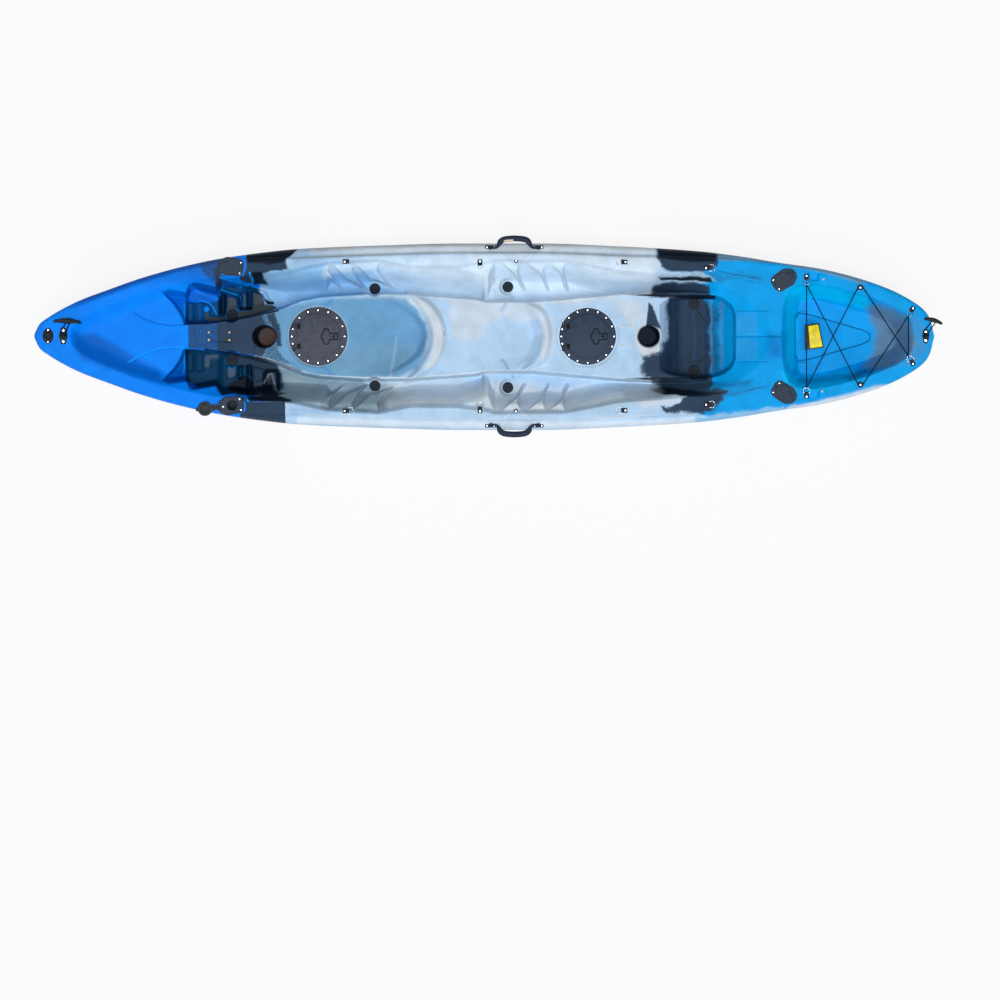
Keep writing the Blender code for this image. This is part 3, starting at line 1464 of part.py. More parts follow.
def main():
    clear_scene()
    parts = new_collection("sit_on_top_kayak")
    helpers = new_collection("cutters")
    deck_plastic = new_material("deck_plastic", (0.03, 0.36, 0.85), 0.45)
    hull_plastic = new_material("hull_plastic", (0.02, 0.30, 0.80), 0.45)
    plastics = {
        "black": new_material("fitting_plastic", (0.025, 0.028, 0.032), 0.5),
        "lid": new_material("lid_plastic", (0.03, 0.032, 0.036), 0.42),
    }
    steel = new_material("ring_steel", (0.72, 0.73, 0.75), 0.28, 1.0)
    cord = new_material("cord_black", (0.02, 0.02, 0.024), 0.85)

    deck, hull = make_shells(parts, helpers)
    deck.data.materials.append(deck_plastic)
    hull.data.materials.append(hull_plastic)
    make_hatch("front", FRONT_HATCH_STATION, parts, helpers, plastics)
    make_hatch("rear", REAR_HATCH_STATION, parts, helpers, plastics)
    for label, station, y, turn in holder_places():
        make_rod_holder(label, on_deck(station, y, turn), label == "bow_port", parts, helpers, plastics)
    for label, matrix, angle in ring_places():
        make_lashing(label, matrix, angle, parts, helpers, plastics, steel)
    for side, sign in (("starboard", 1), ("port", -1)):
        knob_y = sign * (rim_half(KNOB_STATION) - KNOB_INSET)
        make_knob(side, on_deck(KNOB_STATION, knob_y), parts, plastics)
        make_side_handle(side, sign, parts, plastics)
        for name, station, y in SCUPPERS:
            make_scupper_plug(f"{name}_{side}", station, sign * y, parts, plastics)
    bungee = tube("bungee", bungee_points(), BUNGEE_RADIUS, parts, cyclic=True)
    bungee.data.materials.append(cord)
    make_toggle("bow", BOW_TOGGLE, BOW_EYE_HALF_SIZE, parts, helpers, plastics, cord)
    make_toggle("stern", STERN_TOGGLE, STERN_EYE_HALF_SIZE, parts, helpers, plastics, cord)
    make_drain_plug(parts, helpers, plastics)
    hide_helpers(helpers)


main()
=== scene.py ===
"""Looks of the sit-on-top kayak: its marbled moulding, its fittings, the studio and the camera.

Lengths are metres. A station is a distance from the bow's tip, measured aft. Outlines on the deck
are written in the units of a plan drawing, whose columns run aft and whose rows run to port.
"""

import json
import logging
import math
from collections.abc import Callable, Sequence
from dataclasses import dataclass
from enum import Enum

import bmesh
import bpy
import numpy as np
from mathutils import Matrix, Vector

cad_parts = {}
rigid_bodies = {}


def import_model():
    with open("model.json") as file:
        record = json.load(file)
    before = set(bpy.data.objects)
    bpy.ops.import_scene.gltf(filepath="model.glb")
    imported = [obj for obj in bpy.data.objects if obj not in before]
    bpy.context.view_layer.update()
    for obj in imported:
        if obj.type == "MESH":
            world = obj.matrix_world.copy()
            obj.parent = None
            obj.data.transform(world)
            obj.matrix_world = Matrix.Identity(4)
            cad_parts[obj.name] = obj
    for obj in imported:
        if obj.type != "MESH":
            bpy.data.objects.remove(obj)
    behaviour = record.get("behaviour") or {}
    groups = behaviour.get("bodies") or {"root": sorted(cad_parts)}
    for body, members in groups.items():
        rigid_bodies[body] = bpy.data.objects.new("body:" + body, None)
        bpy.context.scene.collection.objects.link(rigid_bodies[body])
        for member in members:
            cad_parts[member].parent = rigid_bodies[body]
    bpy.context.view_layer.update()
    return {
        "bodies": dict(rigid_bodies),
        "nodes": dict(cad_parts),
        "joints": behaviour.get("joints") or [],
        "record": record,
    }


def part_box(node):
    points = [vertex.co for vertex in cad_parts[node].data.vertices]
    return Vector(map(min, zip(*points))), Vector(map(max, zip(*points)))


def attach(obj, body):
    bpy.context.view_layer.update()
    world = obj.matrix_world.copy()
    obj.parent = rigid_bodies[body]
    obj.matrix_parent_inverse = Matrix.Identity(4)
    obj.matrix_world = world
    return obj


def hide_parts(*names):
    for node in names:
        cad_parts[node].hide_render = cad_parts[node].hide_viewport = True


LOG = logging.getLogger("kayak")

Rows = Sequence[Sequence[float]]
Outline = Sequence[tuple[float, float]]
Array = np.ndarray
Curve = Callable[[Array], Array]
Socket = bpy.types.NodeSocket


def path(words: str) -> tuple[tuple[float, ...], ...]:
    """Points from words, such as "10,5 20,8"."""
    return tuple(tuple(map(float, word.split(","))) for word in words.split())


def mm(words: str, lift: float = 0.0) -> tuple[tuple[float, float], ...]:
    """Points from words in millimetres, raised by a height in metres."""
    return tuple((first / 1000, second / 1000 + lift) for first, second in path(words))


def at(x: float, y: float, z: float) -> Matrix:
    """A plain move."""
    return Matrix.Translation((x, y, z))


def spin(angle: float, axis: str) -> Matrix:
    """A turn about an axis."""
    return Matrix.Rotation(angle, 4, axis)


def turns(count: int) -> Array:
    """Evenly spaced angles of a full turn."""
    return np.linspace(0.0, 2 * math.pi, count, endpoint=False)


def oblong(x0: float, y0: float, x1: float, y1: float) -> tuple[tuple[float, float], ...]:
    """The corners of a rectangle."""
    return ((x0, y0), (x1, y0), (x1, y1), (x0, y1))


def mirrored(side: Sequence[tuple[float, float]]) -> tuple[tuple[float, float], ...]:
    """A closed outline from the half of it on one side of the centre line."""
    return (*side, *((x, -y) for x, y in reversed(side) if y))


HULL_LENGTH = 3.95
MID_STATION = HULL_LENGTH / 2
ORIGIN_STATION = 1.99543
GAP = 0.0003
SIDES = (("starboard", 1), ("port", -1))

# Half-breadth at the seam
OFFSETS = path(
    "0,0.022 0.017,0.055 0.052,0.082 0.105,0.115 0.193,0.159 0.325,0.209 0.457,0.256 0.633,0.306 "
    "0.81,0.344 0.986,0.37 1.162,0.388 1.515,0.403 1.867,0.412 2.22,0.412 2.572,0.399 2.924,0.377 "
    "3.101,0.355 3.277,0.326 3.453,0.3 3.629,0.256 3.77,0.205 3.85,0.163 3.903,0.126 3.929,0.095 "
    "3.945,0.052 3.95,0.025"
)
LEDGES = path("0,0.012 0.9,0.012 1.08,0.047 2.75,0.047 3.2,0.012 3.95,0.012")
LEDGE_FULL = 0.047
LEDGE_DROP = 0.026
SEAM_DROP = 0.085
BASIN_DEPTH = 0.032

# Station, width of the gunwale's top, share of the basin's depth
BASIN = path(
    "0.18,0.095,0.1 0.205,0.078,0.6 0.281,0.072,0.85 0.4,0.076,1 0.545,0.078,1 0.686,0.082,1 0.942,0.08,1 "
    "1.25,0.062,1 1.515,0.056,1 1.867,0.064,1 1.986,0.085,1 2.2,0.075,1 2.444,0.055,1 2.559,0.074,1 "
    "2.753,0.072,1 3.05,0.066,1 3.12,0.095,1 3.165,0.15,1 3.185,0.215,0.6"
)
# Name, station, place across, height of the floor that it drains
SCUPPERS = (
    ("bow", 0.858, 0.100, 0.120), ("front", 1.489, 0.215, 0.105),
    ("middle", 2.078, 0.223, 0.105), ("rear", 2.903, 0.147, 0.125),
)
HATCHES = (("front", 1.2414), ("rear", 2.4297))
HOLDERS = (("bow", 0.864, 0.305, 173.0), ("stern", 3.290, 0.2467, 33.0))
FREE_RINGS = (
    ("front", 1.374, 0.021, 0.0), ("middle", 1.955, 0.050, -90.0),
    ("rear", 2.581, 0.025, 180.0), ("seat", 2.966, 0.041, 0.0),
)
BUNGEE_RINGS = (("well_front", 3.393, 0.046, -90.0), ("well_rear", 3.853, 0.039, -120.0))
KNOB_STATION = 3.6295
KNOB_INSET = 0.030
HANDLE_STATION = 2.107
DRAIN_STATION = 0.0565
# End, station, bar's length, reach across, shift along, skew in degrees, eye's half sizes, waist
TOWING = (
    ("bow", 0.1234, 0.126, 0.066, 0.018, -3.0, (0.020, 0.037), 0.0100),
    ("stern", 3.917, 0.084, 0.070, 0.0347, -16.0, (0.016, 0.032), 0.0085),
)
# The straps of the rear plugs, in the plan's units
TETHERS = {
    "starboard": path("698.5,309 703,316.5 707.5,322 711,327"),
    "port": path("698,363 703,358.5 707,355 709.5,351"),
}


def through(rows: Rows, column: int) -> Curve:
    """A smooth curve through a column of a table that never overshoots its rows.

    Args:
        rows: The table, with stations in its first column.
        column: The column to follow.

    Returns:
        A function from stations to values.
    """
    x = np.array([row[0] for row in rows])
    y = np.array([row[column] for row in rows])
    step = np.diff(x)
    slope = np.diff(y) / step
    tangent = np.zeros_like(y)
    tangent[0], tangent[-1] = slope[0], slope[-1]
    ahead, behind = slope[1:], slope[:-1]
    level = ahead * behind > 0
    one = 2 * step[1:] + step[:-1]
    two = step[1:] + 2 * step[:-1]
    safe = np.where(level, behind, 1.0)
    other = np.where(level, ahead, 1.0)
    tangent[1:-1] = np.where(level, (one + two) / (one / safe + two / other), 0.0)

    def value(station: Array) -> Array:
        """The curve's value at stations.

        Args:
            station: Distances from the bow's tip.

        Returns:
            The values.
        """
        s = np.clip(station, x[0], x[-1])
        i = np.clip(np.searchsorted(x, s, side="right") - 1, 0, len(step) - 1)
        t = (s - x[i]) / step[i]
        return (
            y[i] * (2 * t**3 - 3 * t**2 + 1)
            + step[i] * tangent[i] * (t**3 - 2 * t**2 + t)
            + y[i + 1] * (3 * t**2 - 2 * t**3)
            + step[i] * tangent[i + 1] * (t**3 - t**2)
        )

    return value


def straight(rows: Rows, column: int) -> Curve:
    """Straight lines through a column of a table, as a function from stations to values.

    Args:
        rows: The table, with stations in its first column.
        column: The column to follow.

    Returns:
        The function.
    """
    x = np.array([row[0] for row in rows])
    y = np.array([row[column] for row in rows])
    return lambda station: np.interp(station, x, y)


def ease(share: Array) -> Array:
    """A smooth step from 0 to 1."""
    t = np.clip(share, 0.0, 1.0)
    return t * t * (3 - 2 * t)


class Plan:
    """The plan drawing's grid."""

    UNIT = 0.004406
    COLUMN = 489.14
    ROW = 336.3

    @classmethod
    def x(cls, column: float) -> float:
        """Place along the boat of a column."""
        return (column - cls.COLUMN) * cls.UNIT

    @classmethod
    def y(cls, row: float) -> float:
        """Place across the boat of a row."""
        return (cls.ROW - row) * cls.UNIT

    @classmethod
    def column(cls, x: Array) -> Array:
        """Column of a place along the boat."""
        return x / cls.UNIT + cls.COLUMN

    @classmethod
    def row(cls, y: Array) -> Array:
        """Row of a place across the boat."""
        return cls.ROW - y / cls.UNIT


def line_distance(points: Outline, u: Array, v: Array) -> Array:
    """Distance to a chain of straight pieces, in plan units.

    Args:
        points: The chain's corners.
        u: Columns of the places.
        v: Rows of the places.

    Returns:
        The least distance to the chain at each place.
    """
    best = np.full(np.shape(u), 1e9)
    for (ax, ay), (bx, by) in zip(points, points[1:]):
        dx, dy = bx - ax, by - ay
        t = np.clip(((u - ax) * dx + (v - ay) * dy) / (dx * dx + dy * dy + 1e-12), 0.0, 1.0)
        best = np.minimum(best, np.hypot(u - ax - t * dx, v - ay - t * dy))
    return best


def depth_inside(points: Outline, u: Array, v: Array) -> Array:
    """Distance inside a closed outline, in plan units, negative outside it.

    Args:
        points: The outline's corners.
        u: Columns of the places.
        v: Rows of the places.

    Returns:
        The distances.
    """
    closed = [*points, points[0]]
    inside = np.zeros(np.shape(u), dtype=bool)
    for (ax, ay), (bx, by) in zip(closed, closed[1:]):
        if ay == by:
            continue
        spans = (ay > v) != (by > v)
        inside ^= spans & (u < (bx - ax) * (v - ay) / (by - ay) + ax)
    away = line_distance(closed, u, v)
    return np.where(inside, away, -away)


class HullLines:
    """The boat's outer lines, as functions of the station."""

    def __init__(self) -> None:
        """Fairs curves through the offsets."""
        self.half = through(OFFSETS, 1)
        inset = [(s, min(float(np.interp(s, *zip(*LEDGES))), 0.5 * half)) for s, half in OFFSETS]
        self.inset = straight(inset, 1)
        self.top = straight([(s, self.smooth_top(s)) for s, _ in OFFSETS], 1)
        corner_half = straight(OFFSETS, 1)
        self.corner_rim = lambda s: corner_half(s) - self.inset(s)
        basin = [(s, float(self.corner_rim(s)) - gunwale, share) for s, gunwale, share in BASIN]
        self.basin_half = through(basin, 1)
        self.basin_share = through(basin, 2)
        floors = [(s, float(self.top(s)) - share * BASIN_DEPTH) for s, _, share in BASIN]
        self.basin_floor = straight(floors, 1)

    @staticmethod
    def smooth_top(station: float) -> float:
        """Height of the rim."""
        reach = (station - MID_STATION) / MID_STATION
        return 0.295 + (0.070 if reach < 0 else 0.035) * reach * reach

    @staticmethod
    def keel(station: Array) -> Array:
        """Height of the keel line.

        Args:
            station: Distances from the bow's tip.

        Returns:
            The heights.
        """
        bow = np.clip((0.75 - station) / 0.75, 0.0, None)
        stern = np.clip((station - HULL_LENGTH + 0.70) / 0.70, 0.0, None)
        return 0.20 * bow**2 + 0.12 * stern**2

    @staticmethod
    def vee(station: Array) -> Array:
        """How far the bottom is a vee, from 0 to 1.

        Args:
            station: Distances from the bow's tip.

        Returns:
            The shares.
        """
        bow = np.clip((0.95 - station) / 0.95, 0.0, None)
        stern = np.clip((station - 3.10) / (HULL_LENGTH - 3.10), 0.0, None)
        return np.minimum(1.0, 1.4 * bow) + 0.7 * stern

    def rim(self, station: Array) -> Array:
        """Half the deck's width at the rim edge."""
        return self.half(station) - self.inset(station)

    def hatch_seat(self, station: float) -> float:
        """Height of the flat that a hatch is bolted to."""
        reach = 0.130
        return min(float(self.basin_floor(station + d)) for d in (-reach, 0.0, reach)) - 0.004

    def on_deck(self, station: float, y: float, turn: float = 0.0, lift: float = 0.0) -> Matrix:
        """A place on the deck's flat top, tilted with it.

        Args:
            station: Where it lies along the boat.
            y: Where it lies across the boat.
            turn: How far its own X is turned about its Z.
            lift: Height above the deck.

        Returns:
            The place as a matrix.
        """
        slope = float(self.top(station + 0.0005) - self.top(station - 0.0005)) / 0.001
        spot = at(station - ORIGIN_STATION, y, float(self.top(station)) + lift)
        return spot @ spin(-math.atan(slope), "Y") @ spin(turn, "Z")


LINES = HullLines()


# Finishes


def srgb(red: int, green: int, blue: int) -> tuple[float, float, float, float]:
    """A colour written as bytes, as the shader takes it.

    Args:
        red: Red, to 255.
        green: Green, to 255.
        blue: Blue, to 255.

    Returns:
        The linear colour, with its alpha.
    """
    def linear(byte: int) -> float:
        """One channel."""
        c = byte / 255
        return c / 12.92 if c <= 0.04045 else ((c + 0.055) / 1.055) ** 2.4
    return (linear(red), linear(green), linear(blue), 1.0)


class Graph:
    """A short way to write a material's nodes."""

    def __init__(self, name: str, roughness: float, metallic: float = 0.0) -> None:
        """Starts a material with its shader.

        Args:
            name: Its name.
            roughness: The shader's roughness.
            metallic: How far it is metal.
        """
        self.material = bpy.data.materials.new(name)
        self.material.use_nodes = True
        self.tree = self.material.node_tree
        self.shader = self.tree.nodes["Principled BSDF"]
        self.shader.inputs["Roughness"].default_value = roughness
        self.shader.inputs["Metallic"].default_value = metallic
        self.place = self.tree.nodes.new("ShaderNodeTexCoord").outputs["Object"]

    def put(self, socket: Socket, value: object) -> None:
        """Links an output, or sets a plain value.

        Args:
            socket: The input.
            value: The output or number.
        """
        if isinstance(value, Socket):
            self.tree.links.new(value, socket)
        else:
            socket.default_value = value

    def stretched(self, scale: Sequence[float]) -> Socket:
        """The object's coordinates, scaled unevenly.

        Args:
            scale: Scale along each axis.

        Returns:
            The coordinates.
        """
        node = self.tree.nodes.new("ShaderNodeMapping")
        node.inputs["Scale"].default_value = scale
        self.put(node.inputs["Vector"], self.place)
        return node.outputs["Vector"]

    def noise(
        self, scale: float, detail: float = 2.0, stretch: Sequence[float] | None = None, rough: float = 0.5,
    ) -> Socket:
        """A noise from 0 to 1, with so many grains a metre.

        Args:
            scale: Grains a metre.
            detail: How many finer layers it has.
            stretch: Scale along each axis, if uneven.
            rough: How strong the finer layers are.

        Returns:
            The noise.
        """
        node = self.tree.nodes.new("ShaderNodeTexNoise")
        node.inputs["Scale"].default_value = scale
        node.inputs["Detail"].default_value = detail
        node.inputs["Roughness"].default_value = rough
        self.put(node.inputs["Vector"], self.stretched(stretch) if stretch else self.place)
        return node.outputs["Fac"]

    def field(self, name: str) -> Socket:
        """A number stored on the mesh.

        Args:
            name: The field's name.

        Returns:
            The number.
        """
        node = self.tree.nodes.new("ShaderNodeAttribute")
        node.attribute_name = name
        return node.outputs["Fac"]

    def math(self, kind: str, first: object, second: object = 0.0, third: object = 0.0) -> Socket:
        """One sum on numbers.

        Args:
            kind: The node's operation.
            first: First value.
            second: Second value.
            third: Third value.

        Returns:
            The result.
        """
        node = self.tree.nodes.new("ShaderNodeMath")
        node.operation = kind
        for socket, value in zip(node.inputs, (first, second, third)):
            self.put(socket, value)
        return node.outputs[0]

    def span(
        self, value: object, low: float, high: float, to_low: float = 0.0, to_high: float = 1.0,
    ) -> Socket:
        """A smooth step from one range to another.

        Args:
            value: The output or number.
            low: Where the step begins.
            high: Where it ends.
            to_low: The result below it.
            to_high: The result above it.

        Returns:
            The result.
        """
        node = self.tree.nodes.new("ShaderNodeMapRange")
        node.interpolation_type = "SMOOTHSTEP"
        for socket, item in zip(node.inputs, (value, low, high, to_low, to_high)):
            self.put(socket, item)
        return node.outputs[0]

    def mix(self, share: object, first: object, second: object, blend: str = "MIX") -> Socket:
        """A mix of two colours.

        Args:
            share: Share of the second value.
            first: First value.
            second: Second value.
            blend: How they are mixed.

        Returns:
            The colour.
        """
        node = self.tree.nodes.new("ShaderNodeMix")
        node.data_type = "RGBA"
        node.blend_type = blend
        for index, value in ((0, share), (6, first), (7, second)):
            self.put(node.inputs[index], value)
        return node.outputs[2]

    def bump(self, height: object, strength: float, distance: float) -> None:
        """Relief on the shader's normal.

        Args:
            height: The height, as an output.
            strength: How strong it is.
            distance: How high it is, in metres.
        """
        node = self.tree.nodes.new("ShaderNodeBump")
        node.inputs["Strength"].default_value = strength
        node.inputs["Distance"].default_value = distance
        self.put(node.inputs["Height"], height)
        self.put(self.shader.inputs["Normal"], node.outputs["Normal"])

    def color(self, value: object) -> None:
        """The shader's own colour."""
        self.put(self.shader.inputs["Base Color"], value)

    def rough(self, value: object) -> None:
        """The shader's roughness."""
        self.put(self.shader.inputs["Roughness"], value)


class Tone(Enum):
    """The colours laid on the moulding, from the lowest to the topmost: mostly the plastic's own marbled
    colours, with painted light and shade among them. Deep blue is painted shade; glow, mist, bright and light
    are painted light; teal, sky, haze, sand and black are the plastic's colours that also serve as painted
    light and shade in places.
    """

    DEEP = "deep"
    GLOW = "glow"
    TEAL = "teal"
    HAZE = "haze"
    PALE = "pale"
    STEEL = "steel"
    MOSS = "moss"
    SAND = "sand"
    MILK = "milk"
    SKY = "sky"
    MIST = "mist"
    INK = "ink"
    OLIVE = "olive"
    BLACK = "black"
    BROWN = "brown"
    BRIGHT = "bright"
    LIGHT = "light"


@dataclass(frozen=True)
class MarbledPlastic:
    """Rotomoulded polyethylene, with its colours run into each other and speckled at their edges, and with
    painted light and shade laid into the same colours: a darker blue where shade falls, and lighter colours for
    highlights and to make up for the shade in the wells.
    """

    name: str = "marbled_plastic"
    bow_blue: tuple = srgb(0, 132, 252)
    stern_blue: tuple = srgb(0, 158, 234)
    # Painted shade: the bow's blue as it looks in shade.
    deep: tuple = srgb(0, 82, 178)
    # Painted light: a light cyan on the tankwell's walls, to make up for their shade.
    glow: tuple = srgb(0, 214, 255)
    # Teal: the plastic's dark teal, also used as painted shade on the port walls of the tankwell and of the
    # stern's basin, and in the sockets.
    teal: tuple = srgb(4, 60, 96)
    # Haze: a grey blue of the plastic, also used as painted shade on the aft edges of the port fins.
    haze: tuple = srgb(96, 132, 164)
    pale: tuple = srgb(176, 208, 238)
    steel: tuple = srgb(104, 158, 200)
    moss: tuple = srgb(126, 156, 172)
    # Sand: a grey of the plastic, also used as painted shade on the starboard flank and ledge.
    sand: tuple = srgb(176, 186, 192)
    milk: tuple = srgb(208, 217, 226)
    # Sky: a pale blue of the plastic, laid lighter in the front wells and along the port rim as painted light.
    sky: tuple = srgb(142, 194, 234)
    # Painted light: a near white laid in the wells, lighter than the plastic, to make up for their shade.
    mist: tuple = srgb(212, 234, 252)
    ink: tuple = srgb(42, 63, 86)
    olive: tuple = srgb(68, 80, 86)
    # Black: the plastic's black, also used as painted shade in grooves and sockets and along the seats' and
    # console's edges.
    black: tuple = srgb(12, 25, 40)
    brown: tuple = srgb(74, 60, 56)
    # Painted highlight: a bright blue on lit edges in the dark footwells and on the seats.
    bright: tuple = srgb(4, 150, 255)
    # Painted light: near-white highlights on edges and crests, the light on the port flank, and lighter wells
    # to make up for their shade.
    light: tuple = srgb(222, 233, 242)

    def speckle(self, tone: Tone) -> float:
        """How much a colour breaks up into grains where it thins out.

        Args:
            tone: The colour.

        Returns:
            The share, from 0 to 1.
        """
        return {
            Tone.HAZE: 0.6, Tone.STEEL: 0.6, Tone.MOSS: 0.4, Tone.INK: 0.75, Tone.BLACK: 0.5,
            Tone.TEAL: 0.3, Tone.PALE: 0.35, Tone.OLIVE: 0.3, Tone.BRIGHT: 0.3, Tone.SKY: 0.5,
        }.get(tone, 0.0)

    def make(self) -> bpy.types.Material:
        """Makes the material.

        Returns:
            The material.
        """
        g = Graph(self.name, 0.42)
        cloud = g.noise(14.0, 3.0)
        fine = g.noise(420.0, 1.5)
        clump = g.noise(190.0, 2.0, None, 0.6)
        grain = g.math("MULTIPLY_ADD", fine, 0.45, g.math("MULTIPLY", clump, 0.55))
        tint = g.mix(g.field("aft"), self.bow_blue, self.stern_blue)
        for tone in Tone:
            speck = self.speckle(tone)
            share = g.field(tone.value)
            if speck:
                lifted = g.math("MULTIPLY_ADD", grain, speck * 2.4, g.math("SUBTRACT", share, speck * 1.2))
                edge = 0.26 if speck > 0.6 else 0.34
                share = g.math("MULTIPLY", g.span(lifted, 0.5 - edge, 0.5 + edge), g.span(share, 0.0, 0.06))
            tint = g.mix(share, tint, getattr(self, tone.value))
        tint = g.mix(1.0, tint, g.span(cloud, 0.3, 0.7, 0.92, 1.05), "MULTIPLY")
        tint = g.mix(1.0, tint, g.span(grain, 0.36, 0.64, 0.93, 1.06), "MULTIPLY")
        g.color(tint)
        g.rough(g.span(clump, 0.3, 0.7, 0.48, 0.58))
        g.bump(g.math("MULTIPLY_ADD", fine, 0.35, g.noise(45.0, 2.0)), 0.09, 0.002)
        g.shader.inputs["Specular IOR Level"].default_value = 0.07
        return g.material


@dataclass(frozen=True)
class MouldedPlastic:
    """Injection-moulded plastic with a fine spark-eroded grain."""

    name: str
    tint: tuple
    roughness: float = 0.5
    grain: float = 900.0
    depth: float = 0.12

    def make(self) -> bpy.types.Material:
        """Makes the material.

        Returns:
            The material.
        """
        g = Graph(self.name, self.roughness)
        fine = g.noise(self.grain, 2.0)
        worn = g.noise(38.0, 3.0)
        dark = tuple(0.72 * c for c in self.tint[:3]) + (1.0,)
        light = tuple(min(1.0, 1.35 * c + 0.004) for c in self.tint[:3]) + (1.0,)
        g.color(g.mix(g.math("MULTIPLY_ADD", fine, 0.35, g.span(worn, 0.3, 0.7, 0.0, 0.65)), dark, light))
        g.rough(g.span(worn, 0.3, 0.7, self.roughness - 0.06, self.roughness + 0.08))
        g.bump(fine, self.depth, 0.0006)
        g.shader.inputs["Specular IOR Level"].default_value = 0.16
        return g.material


@dataclass(frozen=True)
class PolishedMetal:
    """Drawn or turned metal, with faint scratches."""

    name: str
    tint: tuple
    roughness: float = 0.24

    def make(self) -> bpy.types.Material:
        """Makes the material.

        Returns:
            The material.
        """
        g = Graph(self.name, self.roughness, 1.0)
        lines = g.noise(260.0, 3.0, (1.0, 9.0, 9.0))
        g.color(g.mix(g.span(lines, 0.3, 0.7), tuple(0.82 * c for c in self.tint[:3]) + (1.0,), self.tint))
        g.rough(g.span(lines, 0.3, 0.7, self.roughness - 0.05, self.roughness + 0.10))
        g.bump(lines, 0.05, 0.0003)
        return g.material


@dataclass(frozen=True)
class BraidedCord:
    """Woven polyester over a rubber or fibre core."""

    name: str = "braided_cord"
    tint: tuple = srgb(8, 16, 34)

    def make(self) -> bpy.types.Material:
        """Makes the material.

        Returns:
            The material.
        """
        g = Graph(self.name, 0.8)
        wave = g.tree.nodes.new("ShaderNodeTexWave")
        wave.wave_type = "BANDS"
        wave.bands_direction = "DIAGONAL"
        wave.inputs["Scale"].default_value = 130.0
        wave.inputs["Distortion"].default_value = 1.5
        g.put(wave.inputs["Vector"], g.place)
        weave = wave.outputs["Fac"]
        fleck = g.noise(700.0, 1.0)
        g.color(g.mix(g.math("MULTIPLY", weave, 0.7), self.tint, srgb(22, 32, 54)))
        g.bump(g.math("MULTIPLY_ADD", fleck, 0.3, weave), 0.5, 0.0005)
        g.shader.inputs["Specular IOR Level"].default_value = 0.15
        return g.material


class Finishes:
    """Every finish on the boat, made once."""

    def __init__(self) -> None:
        """Makes the materials."""
        self.marble = MarbledPlastic().make()
        self.charcoal = MouldedPlastic("charcoal_plastic", srgb(66, 71, 86), 0.54).make()
        self.holder = MouldedPlastic("holder_plastic", srgb(42, 56, 72), 0.52).make()
        self.slate = MouldedPlastic("slate_plastic", srgb(42, 58, 80), 0.54).make()
        self.black = MouldedPlastic("black_plastic", srgb(26, 30, 38), 0.45).make()
        self.handle = MouldedPlastic("handle_rubber", srgb(20, 35, 60), 0.50, 600.0, 0.2).make()
        self.rubber = MouldedPlastic("plug_rubber", srgb(30, 38, 48), 0.62, 500.0, 0.15).make()
        self.seal = MouldedPlastic("seal_rubber", srgb(14, 15, 18), 0.7).make()
        self.cream = MouldedPlastic("cream_inlay", srgb(214, 196, 168), 0.6).make()
        self.yellow = MouldedPlastic("yellow_vinyl", srgb(226, 208, 36), 0.38, 500.0, 0.1).make()
        self.steel = PolishedMetal("bright_steel", srgb(214, 217, 222), 0.22).make()
        self.brass = PolishedMetal("brass_insert", srgb(186, 150, 88), 0.46).make()
        self.cord = BraidedCord().make()


# Mesh work


